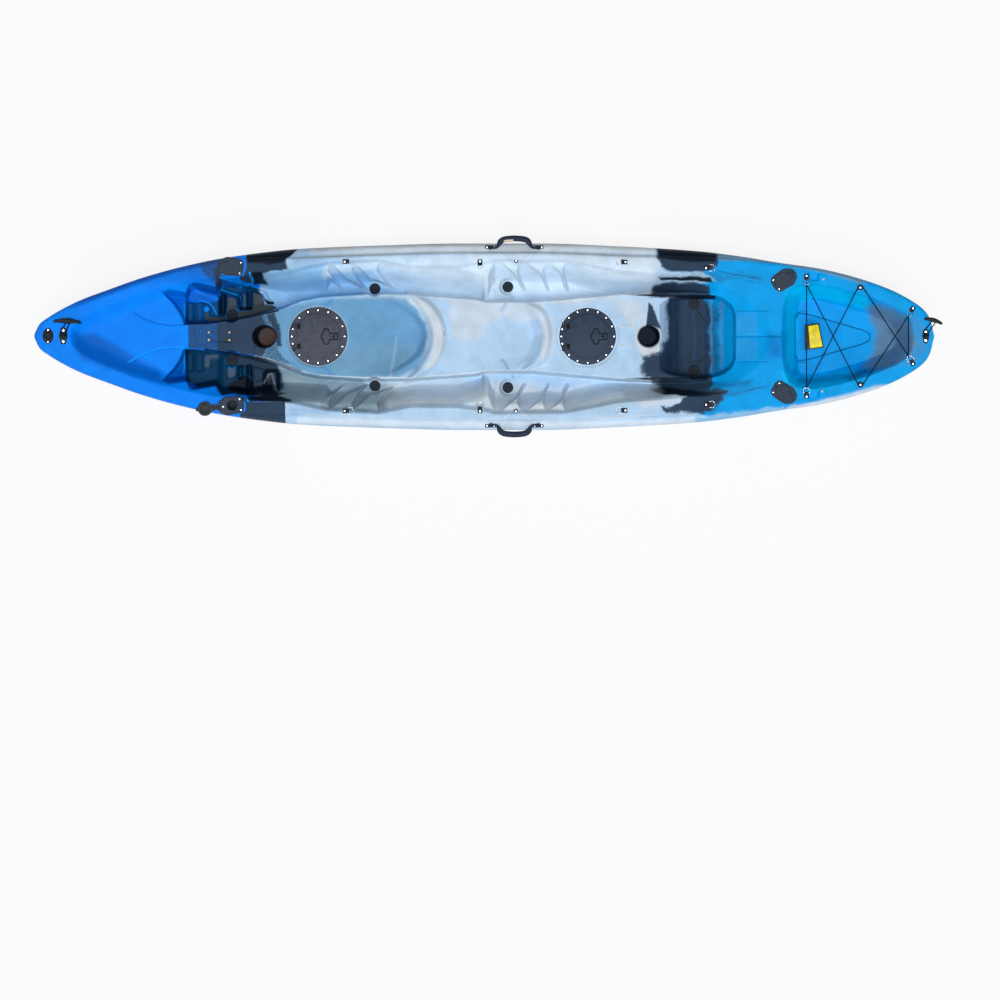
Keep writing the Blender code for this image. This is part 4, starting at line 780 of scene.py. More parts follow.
class Part:
    """A mesh in the making, with several finishes, in a fitting's own space."""

    def __init__(self, name: str) -> None:
        """Starts an empty mesh."""
        self.name = name
        self.bm = bmesh.new()

    def _join(
        self, rows: Sequence[list], matrix: Matrix | None, tone: int, ring: bool = False, caps: bool = True,
    ) -> "Part":
        """Adds the faces between rows of new points, places them and gives them their finish.

        Args:
            rows: The rows, each joined up with itself. One on the axis repeats a single point.
            matrix: Where they go.
            tone: Index of their finish.
            ring: Whether the last row joins the first.
            caps: Whether both ends are closed with a face.

        Returns:
            The part.
        """
        start, first_face = len(self.bm.verts), len(self.bm.faces)
        made = []
        for row in rows:
            if row[0] is row[-1]:
                made.append([self.bm.verts.new(row[0])] * len(row))
            else:
                made.append([self.bm.verts.new(point) for point in row])
        rows = made
        pairs = list(zip(rows, rows[1:]))
        if ring:
            pairs.append((rows[-1], rows[0]))
        for low, high in pairs:
            for i in range(len(low)):
                j = (i + 1) % len(low)
                corners = list(dict.fromkeys((low[i], low[j], high[j], high[i])))
                if len(corners) > 2:
                    self.bm.faces.new(corners)
        if caps and not ring:
            self.bm.faces.new(list(reversed(rows[0])))
            self.bm.faces.new(rows[-1])
        self.bm.verts.ensure_lookup_table()
        self.bm.faces.ensure_lookup_table()
        if matrix is not None:
            bmesh.ops.transform(self.bm, matrix=matrix, verts=self.bm.verts[start:])
        for face in self.bm.faces[first_face:]:
            face.material_index = tone
        return self

    def turned(
        self, profile: Outline, steps: int = 48, matrix: Matrix | None = None, tone: int = 0,
    ) -> "Part":
        """Adds a solid of revolution round Z.

        Args:
            profile: Points of radius and height. One that ends off the axis is closed on itself.
            steps: How many sides it has.
            matrix: Where it goes.
            tone: Index of its finish.

        Returns:
            The part.
        """
        rows = []
        for radius, height in profile:
            if radius == 0:
                rows.append([(0.0, 0.0, height)] * steps)
            else:
                rows.append([(x, y, height) for x, y in circle(radius, steps)])
        return self._join(rows, matrix, tone, ring=profile[-1][0] > 0, caps=False)

    def plate(
        self, outline: Outline, low: float, high: float, edge: float = 0.001,
        matrix: Matrix | None = None, tone: int = 0,
    ) -> "Part":
        """Adds a flat plate with rounded rims.

        Args:
            outline: Its corners in X and Y.
            low: Height of its underside.
            high: Height of its top.
            edge: Radius of the rims.
            matrix: Where it goes.
            tone: Index of its finish.

        Returns:
            The part.
        """
        ring = list(outline)
        area = sum(a[0] * b[1] - b[0] * a[1] for a, b in zip(ring, ring[1:] + ring[:1]))
        if area < 0:
            ring.reverse()
        levels = (
            (low, 0.3 * edge), (low + 0.3 * edge, 0.0), (high - edge, 0.0),
            (high - 0.35 * edge, 0.25 * edge), (high, edge),
        )
        rows = [[(x, y, height) for x, y in inset_outline(ring, inset)] for height, inset in levels]
        return self._join(rows, matrix, tone)

    def lofted(self, rings: Sequence[Sequence[Vector]]) -> "Part":
        """Adds a closed solid through rings of points."""
        return self._join(rings, None, 0)

    def tube(
        self, points: Sequence[Vector], radius: float, sides: int = 10, closed: bool = False,
        tone: int = 0, flat: float = 1.0,
    ) -> "Part":
        """Adds a wire, cord or strap along points.

        Args:
            points: Its middle line.
            radius: Half its thickness across.
            sides: How many sides its section has.
            closed: Whether it joins up with itself.
            tone: Index of its finish.
            flat: Its height as a share of its width.

        Returns:
            The part.
        """
        count = len(points)
        rows = []
        last_side = None
        for i, point in enumerate(points):
            before = points[i - 1] if closed or i else points[0]
            after = points[(i + 1) % count] if closed or i < count - 1 else points[-1]
            ahead = (after - before).normalized()
            side = Vector((-ahead.y, ahead.x, 0.0))
            if side.length < 1e-3:
                side = last_side or Vector((1.0, 0.0, 0.0))
            side.normalize()
            last_side = side
            up = ahead.cross(side).normalized()
            rows.append([point + side * x + up * flat * y for x, y in circle(radius, sides)])
        return self._join(rows, None, tone, ring=closed)

    def screw(self, matrix: Matrix, radius: float, height: float) -> "Part":
        """Adds a pan-head screw with a round socket in its head, in the second finish."""
        shape = path("0,0.45 0.42,0.45 0.42,1 0.62,1 0.9,0.72 1,0.3 1,0 0,0")
        return self.turned([(x * radius, z * height) for x, z in shape], 18, matrix, 1)

    def publish(
        self,
        finishes: Sequence[bpy.types.Material],
        body: str,
        matrix: Matrix | None = None,
        replaces: Sequence[str] = (),
        crease: float = 32.0,
    ) -> bpy.types.Object:
        """Turns the mesh into a piece that rides on a body.

        Args:
            finishes: Its materials, in the order of the tones.
            body: The body that it rides on.
            matrix: Where it goes.
            replaces: The nodes that it stands for.
            crease: The angle in degrees from which an edge is sharp.

        Returns:
            The piece.
        """
        bmesh.ops.recalc_face_normals(self.bm, faces=self.bm.faces)
        for edge in self.bm.edges:
            edge.smooth = len(edge.link_faces) == 2 and edge.calc_face_angle(0.0) < math.radians(crease)
        for face in self.bm.faces:
            face.smooth = True
        mesh = bpy.data.meshes.new(self.name)
        self.bm.to_mesh(mesh)
        self.bm.free()
        if matrix is not None:
            mesh.transform(matrix)
        for finish in finishes:
            mesh.materials.append(finish)
        piece = placed(self.name, mesh)
        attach(piece, body)
        if replaces:
            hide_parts(*replaces)
        LOG.info("%s: %d faces on %s", self.name, len(mesh.polygons), body)
        return piece


def placed(name: str, data: bpy.types.ID) -> bpy.types.Object:
    """A new object in the scene.

    Args:
        name: Its name.
        data: The mesh, lamp or camera.

    Returns:
        The object.
    """
    item = bpy.data.objects.new(name, data)
    bpy.context.scene.collection.objects.link(item)
    return item


def dress(node: str, finish: bpy.types.Material) -> None:
    """Gives a piece of the frame a finish.

    Args:
        node: The node's name.
        finish: The finish.
    """
    piece = FRAME["nodes"][node]
    piece.data.materials.clear()
    piece.data.materials.append(finish)
    for slot in piece.material_slots:
        slot.material = finish


def inset_outline(ring: Outline, distance: float) -> list[tuple[float, float]]:
    """A counter-clockwise outline moved inwards, square to its sides.

    Args:
        ring: The outline.
        distance: How far it is moved.

    Returns:
        The new outline.
    """
    if distance == 0:
        return [tuple(p) for p in ring]
    moved = []
    count = len(ring)
    for i, point in enumerate(ring):
        before, here, after = Vector(ring[i - 1]), Vector(point), Vector(ring[(i + 1) % count])
        first, second = (here - before).normalized(), (after - here).normalized()
        normal = Vector((-first.y, first.x)) + Vector((-second.y, second.x))
        if normal.length < 1e-6:
            moved.append(tuple(here))
            continue
        normal.normalize()
        stretch = min(1.6, 1.0 / max(0.4, normal.dot(Vector((-first.y, first.x)))))
        moved.append(tuple(here + normal * distance * stretch))
    return moved


def rounded(corners: Outline, radius: float, steps: int = 6) -> list[tuple[float, float]]:
    """An outline with its corners rounded by arcs.

    Args:
        corners: Its corners.
        radius: Radius of the arcs.
        steps: Pieces of each arc.

    Returns:
        The new outline.
    """
    outline = []
    count = len(corners)
    for i, corner in enumerate(corners):
        here = Vector(corner)
        back = (Vector(corners[i - 1]) - here).normalized()
        ahead = (Vector(corners[(i + 1) % count]) - here).normalized()
        half_angle = back.angle(ahead) / 2
        reach = radius / math.tan(half_angle)
        centre = here + (back + ahead).normalized() * (radius / math.sin(half_angle))
        start = here + back * reach - centre
        end = here + ahead * reach - centre
        sweep = start.angle_signed(end)
        for k in range(steps + 1):
            outline.append(tuple(centre + Matrix.Rotation(-sweep * k / steps, 2) @ start))
    return outline


def circle(radius: float, steps: int) -> list[tuple[float, float]]:
    """A round outline."""
    return [(radius * math.cos(turn), radius * math.sin(turn)) for turn in turns(steps)]


def faired(points: Sequence[Vector], rounds: int = 2, closed: bool = False) -> list[Vector]:
    """A chain of points with its corners cut, over and over.

    Args:
        points: The chain.
        rounds: How often the corners are cut.
        closed: Whether it is closed.

    Returns:
        The new chain.
    """
    points = [Vector(p) for p in points]
    for _ in range(rounds):
        ahead = points[1:] + points[:1] if closed else points[1:]
        cut = []
        for a, b in zip(points, ahead):
            cut += [a.lerp(b, 0.25), a.lerp(b, 0.75)]
        points = cut if closed else [points[0], *cut[1:-1], points[-1]]
    return points


# The moulding


def clouds(u: Array, v: Array, cell: float, seed: int) -> Array:
    """A smooth seeded noise from -1 to 1 over the plan.

    Args:
        u: Columns of the places.
        v: Rows of the places.
        cell: Size of its clumps in plan units.
        seed: Which noise it is.

    Returns:
        The noise at each place.
    """
    grid = np.random.default_rng(seed).uniform(-1.0, 1.0, (64, 64))
    x, y = u / cell, v / cell
    i, j = np.floor(x).astype(int), np.floor(y).astype(int)
    fx, fy = ease(x - i), ease(y - j)
    i, j = i % 64, j % 64
    i1, j1 = (i + 1) % 64, (j + 1) % 64
    low = grid[i, j] * (1 - fx) + grid[i1, j] * fx
    high = grid[i, j1] * (1 - fx) + grid[i1, j1] * fx
    return low * (1 - fy) + high * fy


def beside(points: Outline, reach: float, u: Array) -> Array:
    """Which places have columns within reach of an outline's."""
    columns = [point[0] for point in points]
    return (u > min(columns) - reach) & (u < max(columns) + reach)


@dataclass(frozen=True)
class Patch:
    """A patch of one colour on the plan, with a soft edge that wanders."""

    tone: Tone
    outline: Outline
    soft: float = 3.0
    amount: float = 1.0
    wander: float = 3.0

    def cover(self, u: Array, v: Array) -> Array:
        """How far it covers each place, from 0 to its amount.

        Args:
            u: Columns of the places.
            v: Rows of the places.

        Returns:
            The shares.
        """
        if self.wander:
            u = u + self.wander * (clouds(u, v, 11.0, 5) + 0.6 * clouds(u, v, 4.3, 6))
            v = v + 0.7 * self.wander * (clouds(u, v, 12.0, 7) + 0.6 * clouds(u, v, 4.7, 8))
        near = beside(self.outline, self.soft, u)
        near &= beside([(row, column) for column, row in self.outline], self.soft, v)
        made = np.zeros_like(u)
        inside = depth_inside(self.outline, u[near], v[near])
        made[near] = self.amount * ease(0.5 + inside / (2 * self.soft))
        return made


class Half(Enum):
    """The side of the plan that a line is drawn on."""

    BOTH = 0
    STARBOARD = 1
    PORT = -1

    def rows(self, v: Array) -> Array:
        """Distances from the centre line, far off on the side that isn't meant.

        Args:
            v: Rows of the places.

        Returns:
            The distances.
        """
        w = np.abs(v - Plan.ROW)
        if self is Half.BOTH:
            return w
        return np.where((Plan.ROW - v) * self.value >= 0, w, 1e4)


@dataclass(frozen=True)
class Stroke:
    """A line of one colour, given by columns and distances from the centre line."""

    tone: Tone
    points: Outline
    width: float = 1.4
    amount: float = 1.0
    half: Half = Half.BOTH

    def cover(self, u: Array, v: Array) -> Array:
        """How far it covers each place, from 0 to its amount.

        Args:
            u: Columns of the places.
            v: Rows of the places.

        Returns:
            The shares.
        """
        near = beside(self.points, self.width, u)
        made = np.zeros_like(u)
        away = line_distance(self.points, u[near], self.half.rows(v[near]))
        made[near] = self.amount * ease(1.4 * (1 - away / self.width))
        return made


@dataclass(frozen=True)
class Relief:
    """A ridge or groove along a line, given by columns and distances from the centre line."""

    points: Outline
    width: float
    height: float
    half: Half = Half.BOTH

    def lift(self, u: Array, v: Array) -> Array:
        """How far it raises each place.

        Args:
            u: Columns of the places.
            v: Rows of the places.

        Returns:
            The heights to add.
        """
        near = beside(self.points, self.width, u)
        made = np.zeros_like(u)
        away = line_distance(self.points, u[near], self.half.rows(v[near]))
        made[near] = self.height * ease(1 - away / self.width)
        return made


@dataclass(frozen=True)
class Pad:
    """An area that stands higher or lower than its surroundings, given as a relief is."""

    outline: Outline
    height: float
    soft: float = 1.2
    half: Half = Half.BOTH

    def lift(self, u: Array, v: Array) -> Array:
        """How far it raises each place.

        Args:
            u: Columns of the places.
            v: Rows of the places.

        Returns:
            The heights to add.
        """
        near = beside(self.outline, self.soft, u)
        made = np.zeros_like(u)
        inside = depth_inside(self.outline, u[near], self.half.rows(v[near]))
        made[near] = self.height * ease(0.5 + inside / (2 * self.soft))
        return made


T = Tone
UPPER, LOWER = Half.STARBOARD, Half.PORT


def drawn(kind: type, words: str) -> list:
    """Patches or strokes from words: a colour, then numbers and a side, then points.

    Args:
        kind: Patch or Stroke.
        words: What is drawn, with "upper" or "lower" for a side.

    Returns:
        The marks.
    """
    sides = {"upper": UPPER, "lower": LOWER}
    marks = []
    for word in words.split():
        if word in sides:
            marks[-1][2].append(sides[word])
        elif word.isalpha():
            marks.append((Tone(word), [], []))
        elif "," in word:
            marks[-1][1].extend(path(word))
        else:
            marks[-1][2].append(float(word))
    return [kind(tone, points, *rest) for tone, points, rest in marks]


# Columns and distances from the centre line
OUTER_EDGE = path(
    "150,43 161,44.5 169,47 186,44.5 189.5,52 194,53.5 215,49.8 221,58.5 232,58 246,60.5 263,62.5 286,64.3 "
    "318,66.3 326,67.5 329.6,73.4 353,73.6 378.6,75.8 390,72.4 411.6,68.1 458.8,69.2 475,65 488,60.5 "
    "490.5,68 495,76.6 523,75.2 546,73.4 566,75.2 575,72 592.2,67.5 620.3,63 658.6,61.5 690,57 712,50 "
    "724,42"
)
INNER_EDGE = path(
    "150,14.5 170,11 184,11.8 210.6,13.3 243.8,18.4 278.2,26 301.2,35 320.3,38.8 365,41.6 409,41.3 "
    "425.7,40.1 476.7,36.3 485.6,33.7 530,33.7 560,36 592,39 619,41.5 650,43 690,44 724,42"
)
TROUGH_FLOOR = path(
    "150,0.205 184.6,0.205 187,0.158 216,0.14 222,0.12 245,0.12 262,0.11 286,0.105 474,0.105 481.5,0.108 "
    "484.6,0.15 493,0.16 502,0.14 513,0.107 640,0.105 655,0.122 668,0.175 684,0.215 712,0.245 724,0.28"
)
OUTER_WALL = path(
    "150,0.04 186,0.026 245,0.04 286,0.085 330,0.088 390,0.09 480,0.1 500,0.088 570,0.088 640,0.085 "
    "724,0.06"
)
INNER_WALL = path("150,0.012 250,0.012 290,0.016 330,0.016 650,0.016 700,0.014")
BASIN_EDGE = path(
    "70,0 72,8 80,16 95,25 115,34 140,43 160,48.5 186,55 215,60.5 246,63 286,66.3 328,75 353,76.5 378.5,78 "
    "411,71.5 459,72 488,76 495,78.5 520,77.5 565,77.5 620,66.5 659,64 690,61 712,56 728,49.5 744,41 "
    "757,31 766,20 771,9 773,0"
)
BASIN_WALL = path("70,9 100,17 180,14 240,8 300,5 640,5 700,12 735,24 773,30")
REAR_SEAT_FLOOR = path(
    "660,0.264 664,0.238 672,0.172 680,0.13 684,0.125 706,0.125 714,0.15 726,0.205 733,0.238 735.4,0.262 "
    "737,0.29"
)
REAR_SEAT_EDGE = path("660,34 668,38 679,40.5 706,42 716,40.5 723,38 730,33 734,27 737,18")
WELL_EDGE = path(
    "781,0 782,20 784.5,38 788,46 795,51 806,53.5 818,53 840,48.5 870,39.5 895,29.5 906,22.5 912,13 914,0"
)
WELL_FLOOR = path("780,0.185 800,0.17 860,0.171 892,0.184 905,0.212 913,0.24")

# Fins between the leg wells' scoops, each with its fore edge and then its aft one
FINS = (
    path("300,67 316.6,66.8 331,57 344.6,46.3 334,56 328.3,66 329.8,74.5 300,78"),
    path("329.6,74.5 338,66 346,57.5 367.8,46.3 358,57 352,66 353,75"),
    path("353,75 361.5,66 369.5,57.5 392.7,50.4 383,58 377.3,66 378.8,77"),
    path("462,69 472,65.6 488.7,59.5 500,42.5 493.5,55 490,66 495,78"),
    path("494.8,78 502,73.9 516.9,60 524.6,44.4 527.6,44.8 519.8,57.8 517.7,66 523,77"),
    path("522.9,77 530.3,71.2 541,62.5 544,56.5 549.6,42 551.4,42.6 545.4,56.5 543.4,66 546.4,75"),
    path(
        "546.3,75 554.4,69.9 562.4,62.5 564.3,52.5 568.7,42.4 570.6,43.6 565.4,57.8 563.4,67.2 566.5,77"
    ),
)
FORE_EDGES = tuple(fin[1:4] if number in (0, 3) else fin[:4] for number, fin in enumerate(FINS))
AFT_EDGES = tuple(fin[3:7] if number in (0, 1, 2, 3) else fin[4:9] for number, fin in enumerate(FINS))
DECK_EDGES = (
    path("184,11.8 210.6,13.3 243.8,18.4 278.2,26 301.2,35 320.3,38.8 365,41.6 409,41.3"),
    path("409,41.3 425.7,40.1 476.7,36.3 485.6,33.7 530,33.7 560,36 592,39"),
)
LEAF = path("134.6,23.5 144.8,17.1 157.6,12.9 170.3,11 184,11.6")
FOOT_EDGE = path("161.4,44.3 166,39.5 172.6,33 178,25.5 181.5,19 183.4,12")


def disc(column: float, row: float, across: float, down: float) -> Outline:
    """A round outline on the plan."""
    return tuple((column + across * math.cos(t / 4), row + down * math.sin(t / 4)) for t in range(25))


PATCHES = (
    # The pale middle of the boat, and painted light along the port rim: the near-white and pale blue patches
    # there stand for the light on the port flank
    *drawn(Patch, """
        pale 4 1 2 258,238 668,238 668,270 700,271 716,280 690,286 676,290 676,345 662,352 662,392 688,393
            690,408 678,413 668,434 278,434 278,402 258,398 254,340 256,300 262,270
        light 1.8 0.86 1.2 776,411 790,407 820,401 886,384 892,386 800,432 776,428
        sky 2.6 0.85 2 690,417 745,411 784,405 788,426 740,437 690,438
        light 2.6 0.7 2 640,421.5 696,416 700,438 640,440
    """),
    # Grey white lobes, crescents and the starboard gunwale
    *drawn(Patch, """
        milk 3.6 0.62 1 450,300 470,297 545,299 546,317 522,322 512,322 505,315 498,321 488,323 486,333
            478,340 466,341 453,336 449,318
        milk 1.8 0.8 0.4 409,296 427,298.8 438.4,309 446.7,335.8 444.2,352 435.9,365 424,372 432,350 432,330
            424,314 409,301
        milk 1.6 0.7 0.5 535,310 551,318 554,337 551,352 543,362 540,352 543,337 540,322
        milk 5 0.75 500,253 656,256 658,270 600,268 560,258 500,257
        milk 6 0.7 545,290 640,300 648,316 634,326 610,300 560,304
    """),
    Patch(T.MILK, disc(649.0, 338.0, 13.4, 18.6), 1.6, 0.9, 0.3),
    *drawn(Patch, """
        milk 5 0.5 462,251 500,252 500,260 470,262
        milk 4 0.7 1 634,398 690,396 690,405 664,404 640,410
    """),
    # Steel blue round the front hatch, the front seat and the wells beside it, with painted light in the wells:
    # the sky, mist and light patches are paler than the plastic, to make up for the wells' shade
    *drawn(Patch, """
        steel 6 1 1.6 262,306 300,302 322,297 400,296 418,309 428,332 426,352 416,368 400,377 330,377
            300,370 262,358
        moss 9 0.4 2 326,350 372,338 420,345 412,368 392,377 330,377
        haze 11 0.52 2 342,318 372,312 388,330 384,352 366,368 344,362
        steel 7 0.42 256,268 288,268 330,270 372,272 394,290 352,297 300,304 268,308
        steel 4 0.5 256,292 290,290 330,289 352,291 352,298 300,306 268,310
        sky 6 0.8 1.5 258,266 300,267 340,262 400,272 420,290 352,297 300,305 262,310
        mist 9 0.85 366,258 500,254 650,262 664,276 650,292 500,297 400,292 380,280
        light 7 0.36 1.5 430,272 500,274 650,272 652,288 560,292 500,292 430,286
        light 7 0.3 1.5 452,383 486,381 500,384 496,396 470,398
        light 7 0.42 392,384 486,381 560,386 656,383 660,392 560,408 500,412 400,405
        steel 7 0.42 1 288,250 322,250 338,262 330,271 288,272
        steel 7 0.4 1 287,404 326,404 338,410 330,418 287,418
    """),
    # Grey green of the port wells
    *drawn(Patch, """
        moss 6 1 2 262,362 300,372 340,381 392,382 410,390 400,404 378,412 330,410 318,403 258,402
        steel 4 0.6 1 262,390 310,392 322,400 316,404 262,404
        sand 7 0.4 2 284,374 330,386 400,388 392,404 330,407 300,400 284,394
        sand 7 0.85 380,384 430,380 486,380 500,384 560,388 656,382 664,392 640,400 560,411 500,411 470,402
            400,406 378,411
        sand 3 0.35 286,291 340,292 478,292 478,298 340,297 286,300
        sand 1 0.75 0 497,249 533,249 528,252.6 515,254.6 502,252.6
    """),
    # Bow: charcoal of the gunwales, footwells and console, with painted shade: the deep blue patches darken the
    # starboard gunwale and the footwells' fronts and walls
    *drawn(Patch, """
        ink 12 0.36 150,258 176,254 205,250 224,250 224,272 206,282 182,276
        ink 6 0.6 196,262 222,252 226,284 214,284 203,276
        ink 1.2 1 0.6 215,268 221,266 222,280 219,287.5 215.2,285
        ink 1.2 0.9 0.6 240,276 250,276 251,283 240,280
        ink 3 1 1.6 246,256 288,254 288,269 264,273 266,284 254,283 246,276
        black 2.4 1 1.2 245,250 300,245 296,252 284,262 270,265 248,262
        black 1.4 0.8 0.5 252,271.5 263,271 264,283 253,283.5
        teal 1.2 0.55 0 187.6,324.8 214,323.6 222,326 222,346 214,349 187.6,348.2
        ink 1.6 0.54 0.3 188.4,323.6 212,322 243,317.4 270,311.5 276,316 278,330 276,346 284,358 300,367
            270,359.4 240,353.2 188.4,349.8
        ink 3 0.86 0.6 216,321.5 243,316.6 263,311.5 268,330 268,345 263,358 240,353.5 216,351
        ink 5 0.86 1 236,321 258,317 262,322 250,328 246,336 248,346 258,354 236,349 216,346 218,327
        ink 3 0.9 1 266,314 274,312 280,326 282,346 276,348 272,326
        haze 4 0.62 1 250,320 262,315 270,318 262,324
        haze 4 0.62 1 250,348 262,351 276,348 276,358 258,356
        teal 1.2 0.66 0.3 184.4,301.3 212.4,301.3 220,297 228,292 250,288 268,292 274,301 262,312 232,320.5
            212,323.5 184.4,323.8
        teal 1.6 0.95 0.3 184.4,349 220,352 240,354 244,372 238,392 222,396 216,386 200,388 186,380
        deep 0.9 0.42 0 161.4,292 169,289.4 183,292.6 212,300.5 216,302 184.4,302 183.6,323 181.5,317
            178,311 172.6,303
        deep 2 0.6 0 188,289 214,298 217,303 186,303 184.6,294
        deep 6 0.42 2 150,270 190,259 224,254 224,286 190,284 160,280
        teal 1.5 0.7 0 218,286 232,284 247,288 250,297 236,299 220,297
        deep 0.9 0.8 0 190.5,283.8 195,282 217,286 229,291 219,297 205,294
        deep 0.9 0.85 0 161.4,381 166,376 172.6,369.3 178,361.8 183.4,348.5 187,349 190,376 214,374.5
            185,382.5 169,385
        deep 0.9 1 0 190.5,390.5 204,380 222,377 228,384 209,388
        deep 1.4 0.7 0.6 220.5,277.8 232,280 242,284 244,292 236,294 222,288
    """),
    # Flats and steps of the starboard footwell, with a painted highlight, the bright blue spot, and painted
    # shade, the black marks in the sockets and between the steps
    Patch(T.BRIGHT, disc(205.3, 308.2, 2.8, 2.8), 1.2, 1.0, 0.0),
    *drawn(Patch, """
        olive 0.8 0.9 0 203.8,312 207,312 208.6,316.2 225,315.4 225,319.8 207,320.4 204.4,318
        olive 0.9 1 0 226,296.4 230,295.6 234.6,299 236,309.4 226,310.4
        olive 0.7 0.9 0 241.6,292.6 243.8,292.6 244.4,306.2 242,306.4
        olive 1 1 0 252,291 256,290.8 260.6,294.4 263.4,303 272.6,304.6 276,306.6 266,311.6 236.6,318.4
            236.4,310.8 251,309
        black 1.2 0.7 0.3 216.8,296 221,293 225.4,294 225.6,313.4 216.6,313.8
        black 0.9 0.95 0.3 237.6,305.4 251,305.4 251,309 238.4,309.4
        black 0.9 0.6 0.3 236.6,297.4 241.2,295.6 241.4,306 237.2,306
        black 0.9 0.6 0.3 244.6,292 251.4,288.4 251.6,306 244.8,306
        black 0.9 0.9 0.3 263.6,297.4 268.4,300.4 272.8,300.6 273,303 265.6,303.6
    """),
    # The same to port, with a painted highlight, the small bright mark, and painted shade: the black marks
    # round the sockets, and the deep blue patches on the bow's nose and on the port wall of its dish
    *drawn(Patch, """
        milk 1.4 0.1 0 203.6,357 206.4,354.2 217.4,354 217.4,358 209.4,358.6 208.4,366 205.6,367.8 203.6,366
        milk 1.4 0.12 0 225.6,367.4 234.4,367 234,374 230,378 226,376.6
        bright 0.6 1 0 225.8,364.6 230.6,367.8 235.2,364.8 233.4,367.4 228,368.2
        teal 1 1 0 236,362 252,362 254,396 236,394
        ink 4 1 2 236.4,354.4 256,356 276,362 282,373 281,388 275,398 262,396 251.8,388 251.6,364.6
            237,363.6
        black 1.6 0.95 0.5 227,384 236,378 243,374 251.6,380 254,388 262,396 250,395 236,393 227,390
        black 1 0.6 0.3 236.4,363.8 251.6,364 251.6,376 246,374 245,367.4 237,367
        black 2.4 0.95 0.8 254,385 262,384 270,378 272,390 281,392 286,393 270,396.6 256,391
        black 1.8 0.95 0.6 246,396.4 278,395.4 290,399 292,402 250,402
        ink 0.8 1 0 246,402 285.4,402 285.4,428 240,428 240,414 246,410
        steel 2.5 0.55 1 246,418 285,418 285,426 246,426
        ink 2 0.8 236,396 246,398 248,406 240,402
        deep 7 0.35 0 20,320 42,318 42,354 20,352
        deep 5 0.72 0 74,333 75,350 84,360 102,366 130,375 158,384 166,384 160,370 140,360 118,346 96,334
    """),
    # Stern: charcoal of the gunwales, the rear seat and the console, with painted shade: the thin black lines
    # along the rear seat's sides, the teal on the port side of the basin's end and along the tankwell's port
    # wall, and the deep blue patch before the tankwell
    *drawn(Patch, """
        ink 4 1 3 656,248 716.5,251 715.7,261.5 712.4,268.5 704,273.5 685.8,272.5 669.3,270 660,265
            657.5,259
        black 2 0.9 0.8 655.5,246 717,250 715,262 690,262.5 660,258
        ink 6 0.42 4 655,270 684,272 712,270 765,272 766,280 716,283 664,280
        black 1.6 0.9 1.6 660,276.5 690,276.5 712,278.5 713,283 690,281 664,280
        ink 4 0.95 2.5 649,291.5 654,286 668,282.6 690,282 708,286 713,297 649,297
        black 0.8 1 0.3 618,294 649,293.2 680,294.5 716,295.2 716,298.6 680,297.6 649,296.2
        ink 5 1 2 667,298 679,295.5 706,296 713,310 710,336 714,356 708,377 680,378.5 646,377 640,366
            643,356 660,352 667,336 668,316
        ink 7 0.52 3 706,298 722,302 722,372 706,376
        black 7 0.3 3 686,304 708,304 707,372 686,372
        bright 1.8 0.26 2 693,312 697,311 697,358 693,360
        bright 1.6 0.3 1 706,300 708.5,300 709.5,374 707,374
        light 1.8 0.13 1 711.5,300 713.5,300 713,372 711,372
        black 1.8 0.3 1 716,300 717.5,300 717,370 715,370
        light 2.4 0.1 1 720.5,302 723,302 723,368 721,368
        ink 1.4 0.95 0.6 649.4,301.3 653,306 657,316 661,329.5 654,326 646,326 647.7,313
        ink 4 1 3 649.4,389 661,384.2 707.4,379 709,387.5 729,390.5 727.3,396 715.7,411 702.4,412.6
            662.6,412.6 661,408 679.2,404.5 680,397.5 685.8,396 666,394.2
        black 1.6 0.95 1 648,389 664,387 690,390 712,392 726,393 700,397 666,394.5
        ink 3 1 1 650,374 712,374 712,386 664,387 652,382
        pale 2 1 0.6 664,410 692,411 706,416 700,426 664,434
        black 0.9 0.9 0.3 624,378 652,377.4 708,377 708,380.5 652,380.2
        ink 5 0.4 3 722,391 765,384 768,388 732,400 722,404
        teal 7 0.5 1 700,380 756,378 750,388 720,392 700,390
        ink 3 0.3 1 716,248 760,252 832,266 872,282 860,284.5 820,273 765,262.5 716,261
        moss 3 0.62 1 716,248 760,252 832,266 872,282 860,284.5 820,273 765,262.5 716,261
        haze 1.2 0.3 0.4 735.6,312.4 758.6,312.4 758.6,335.6 735.6,335.6
        haze 1.2 0.3 0.4 735.6,338.6 758.6,338.6 758.6,360.2 735.6,360.2
        haze 8 0.8 2 868,306 880,304 900,312 914,326 918,346 904,362 878,370 862,368 874,352 876,334
        haze 5 0.22 1.5 868,297 884,300 904,308 918,318 914,330 900,318 880,308
        haze 4 0.42 2 908,312 920,318 929,331 928,350 918,364 904,370 908,350 914,336
        teal 6 0.62 0.5 838,377 864,368 902,355 904,362 862,378 850,382
        teal 3 0.4 0.5 796,377 850,372 902,355 902,362 850,381 798,386
        deep 7 0.5 0 768,334 782,334 783,358 768,358
    """),
    # Walls of the tankwell, painted a light cyan as painted light, to make up for their shade
    *drawn(Patch, """
        glow 3 0.62 0 785.5,298 787,291 796,286 818,285 840,290 866,298 870,303 868,309 856,306 820,297
            799,301 796,338 796,366 791,372 786.5,360
        glow 3 0.42 0 782,372 796,374 818,374 840,370 856,366 856,379 840,384 818,390 796,388 785,382
    """),
    # Bottoms of the cups
    Patch(T.BLACK, disc(264.2, 336.4, 12.2, 11.6), 0.7, 1.0, 0.0),
    Patch(T.BROWN, disc(266.9, 336.4, 9.0, 9.0), 0.8, 1.0, 0.0),
    Patch(T.BLACK, disc(649.3, 335.8, 10.9, 10.7), 0.7, 1.0, 0.0),
    Patch(T.OLIVE, disc(646.9, 335.8, 7.8, 8.6), 1.2, 0.5, 0.0),
)

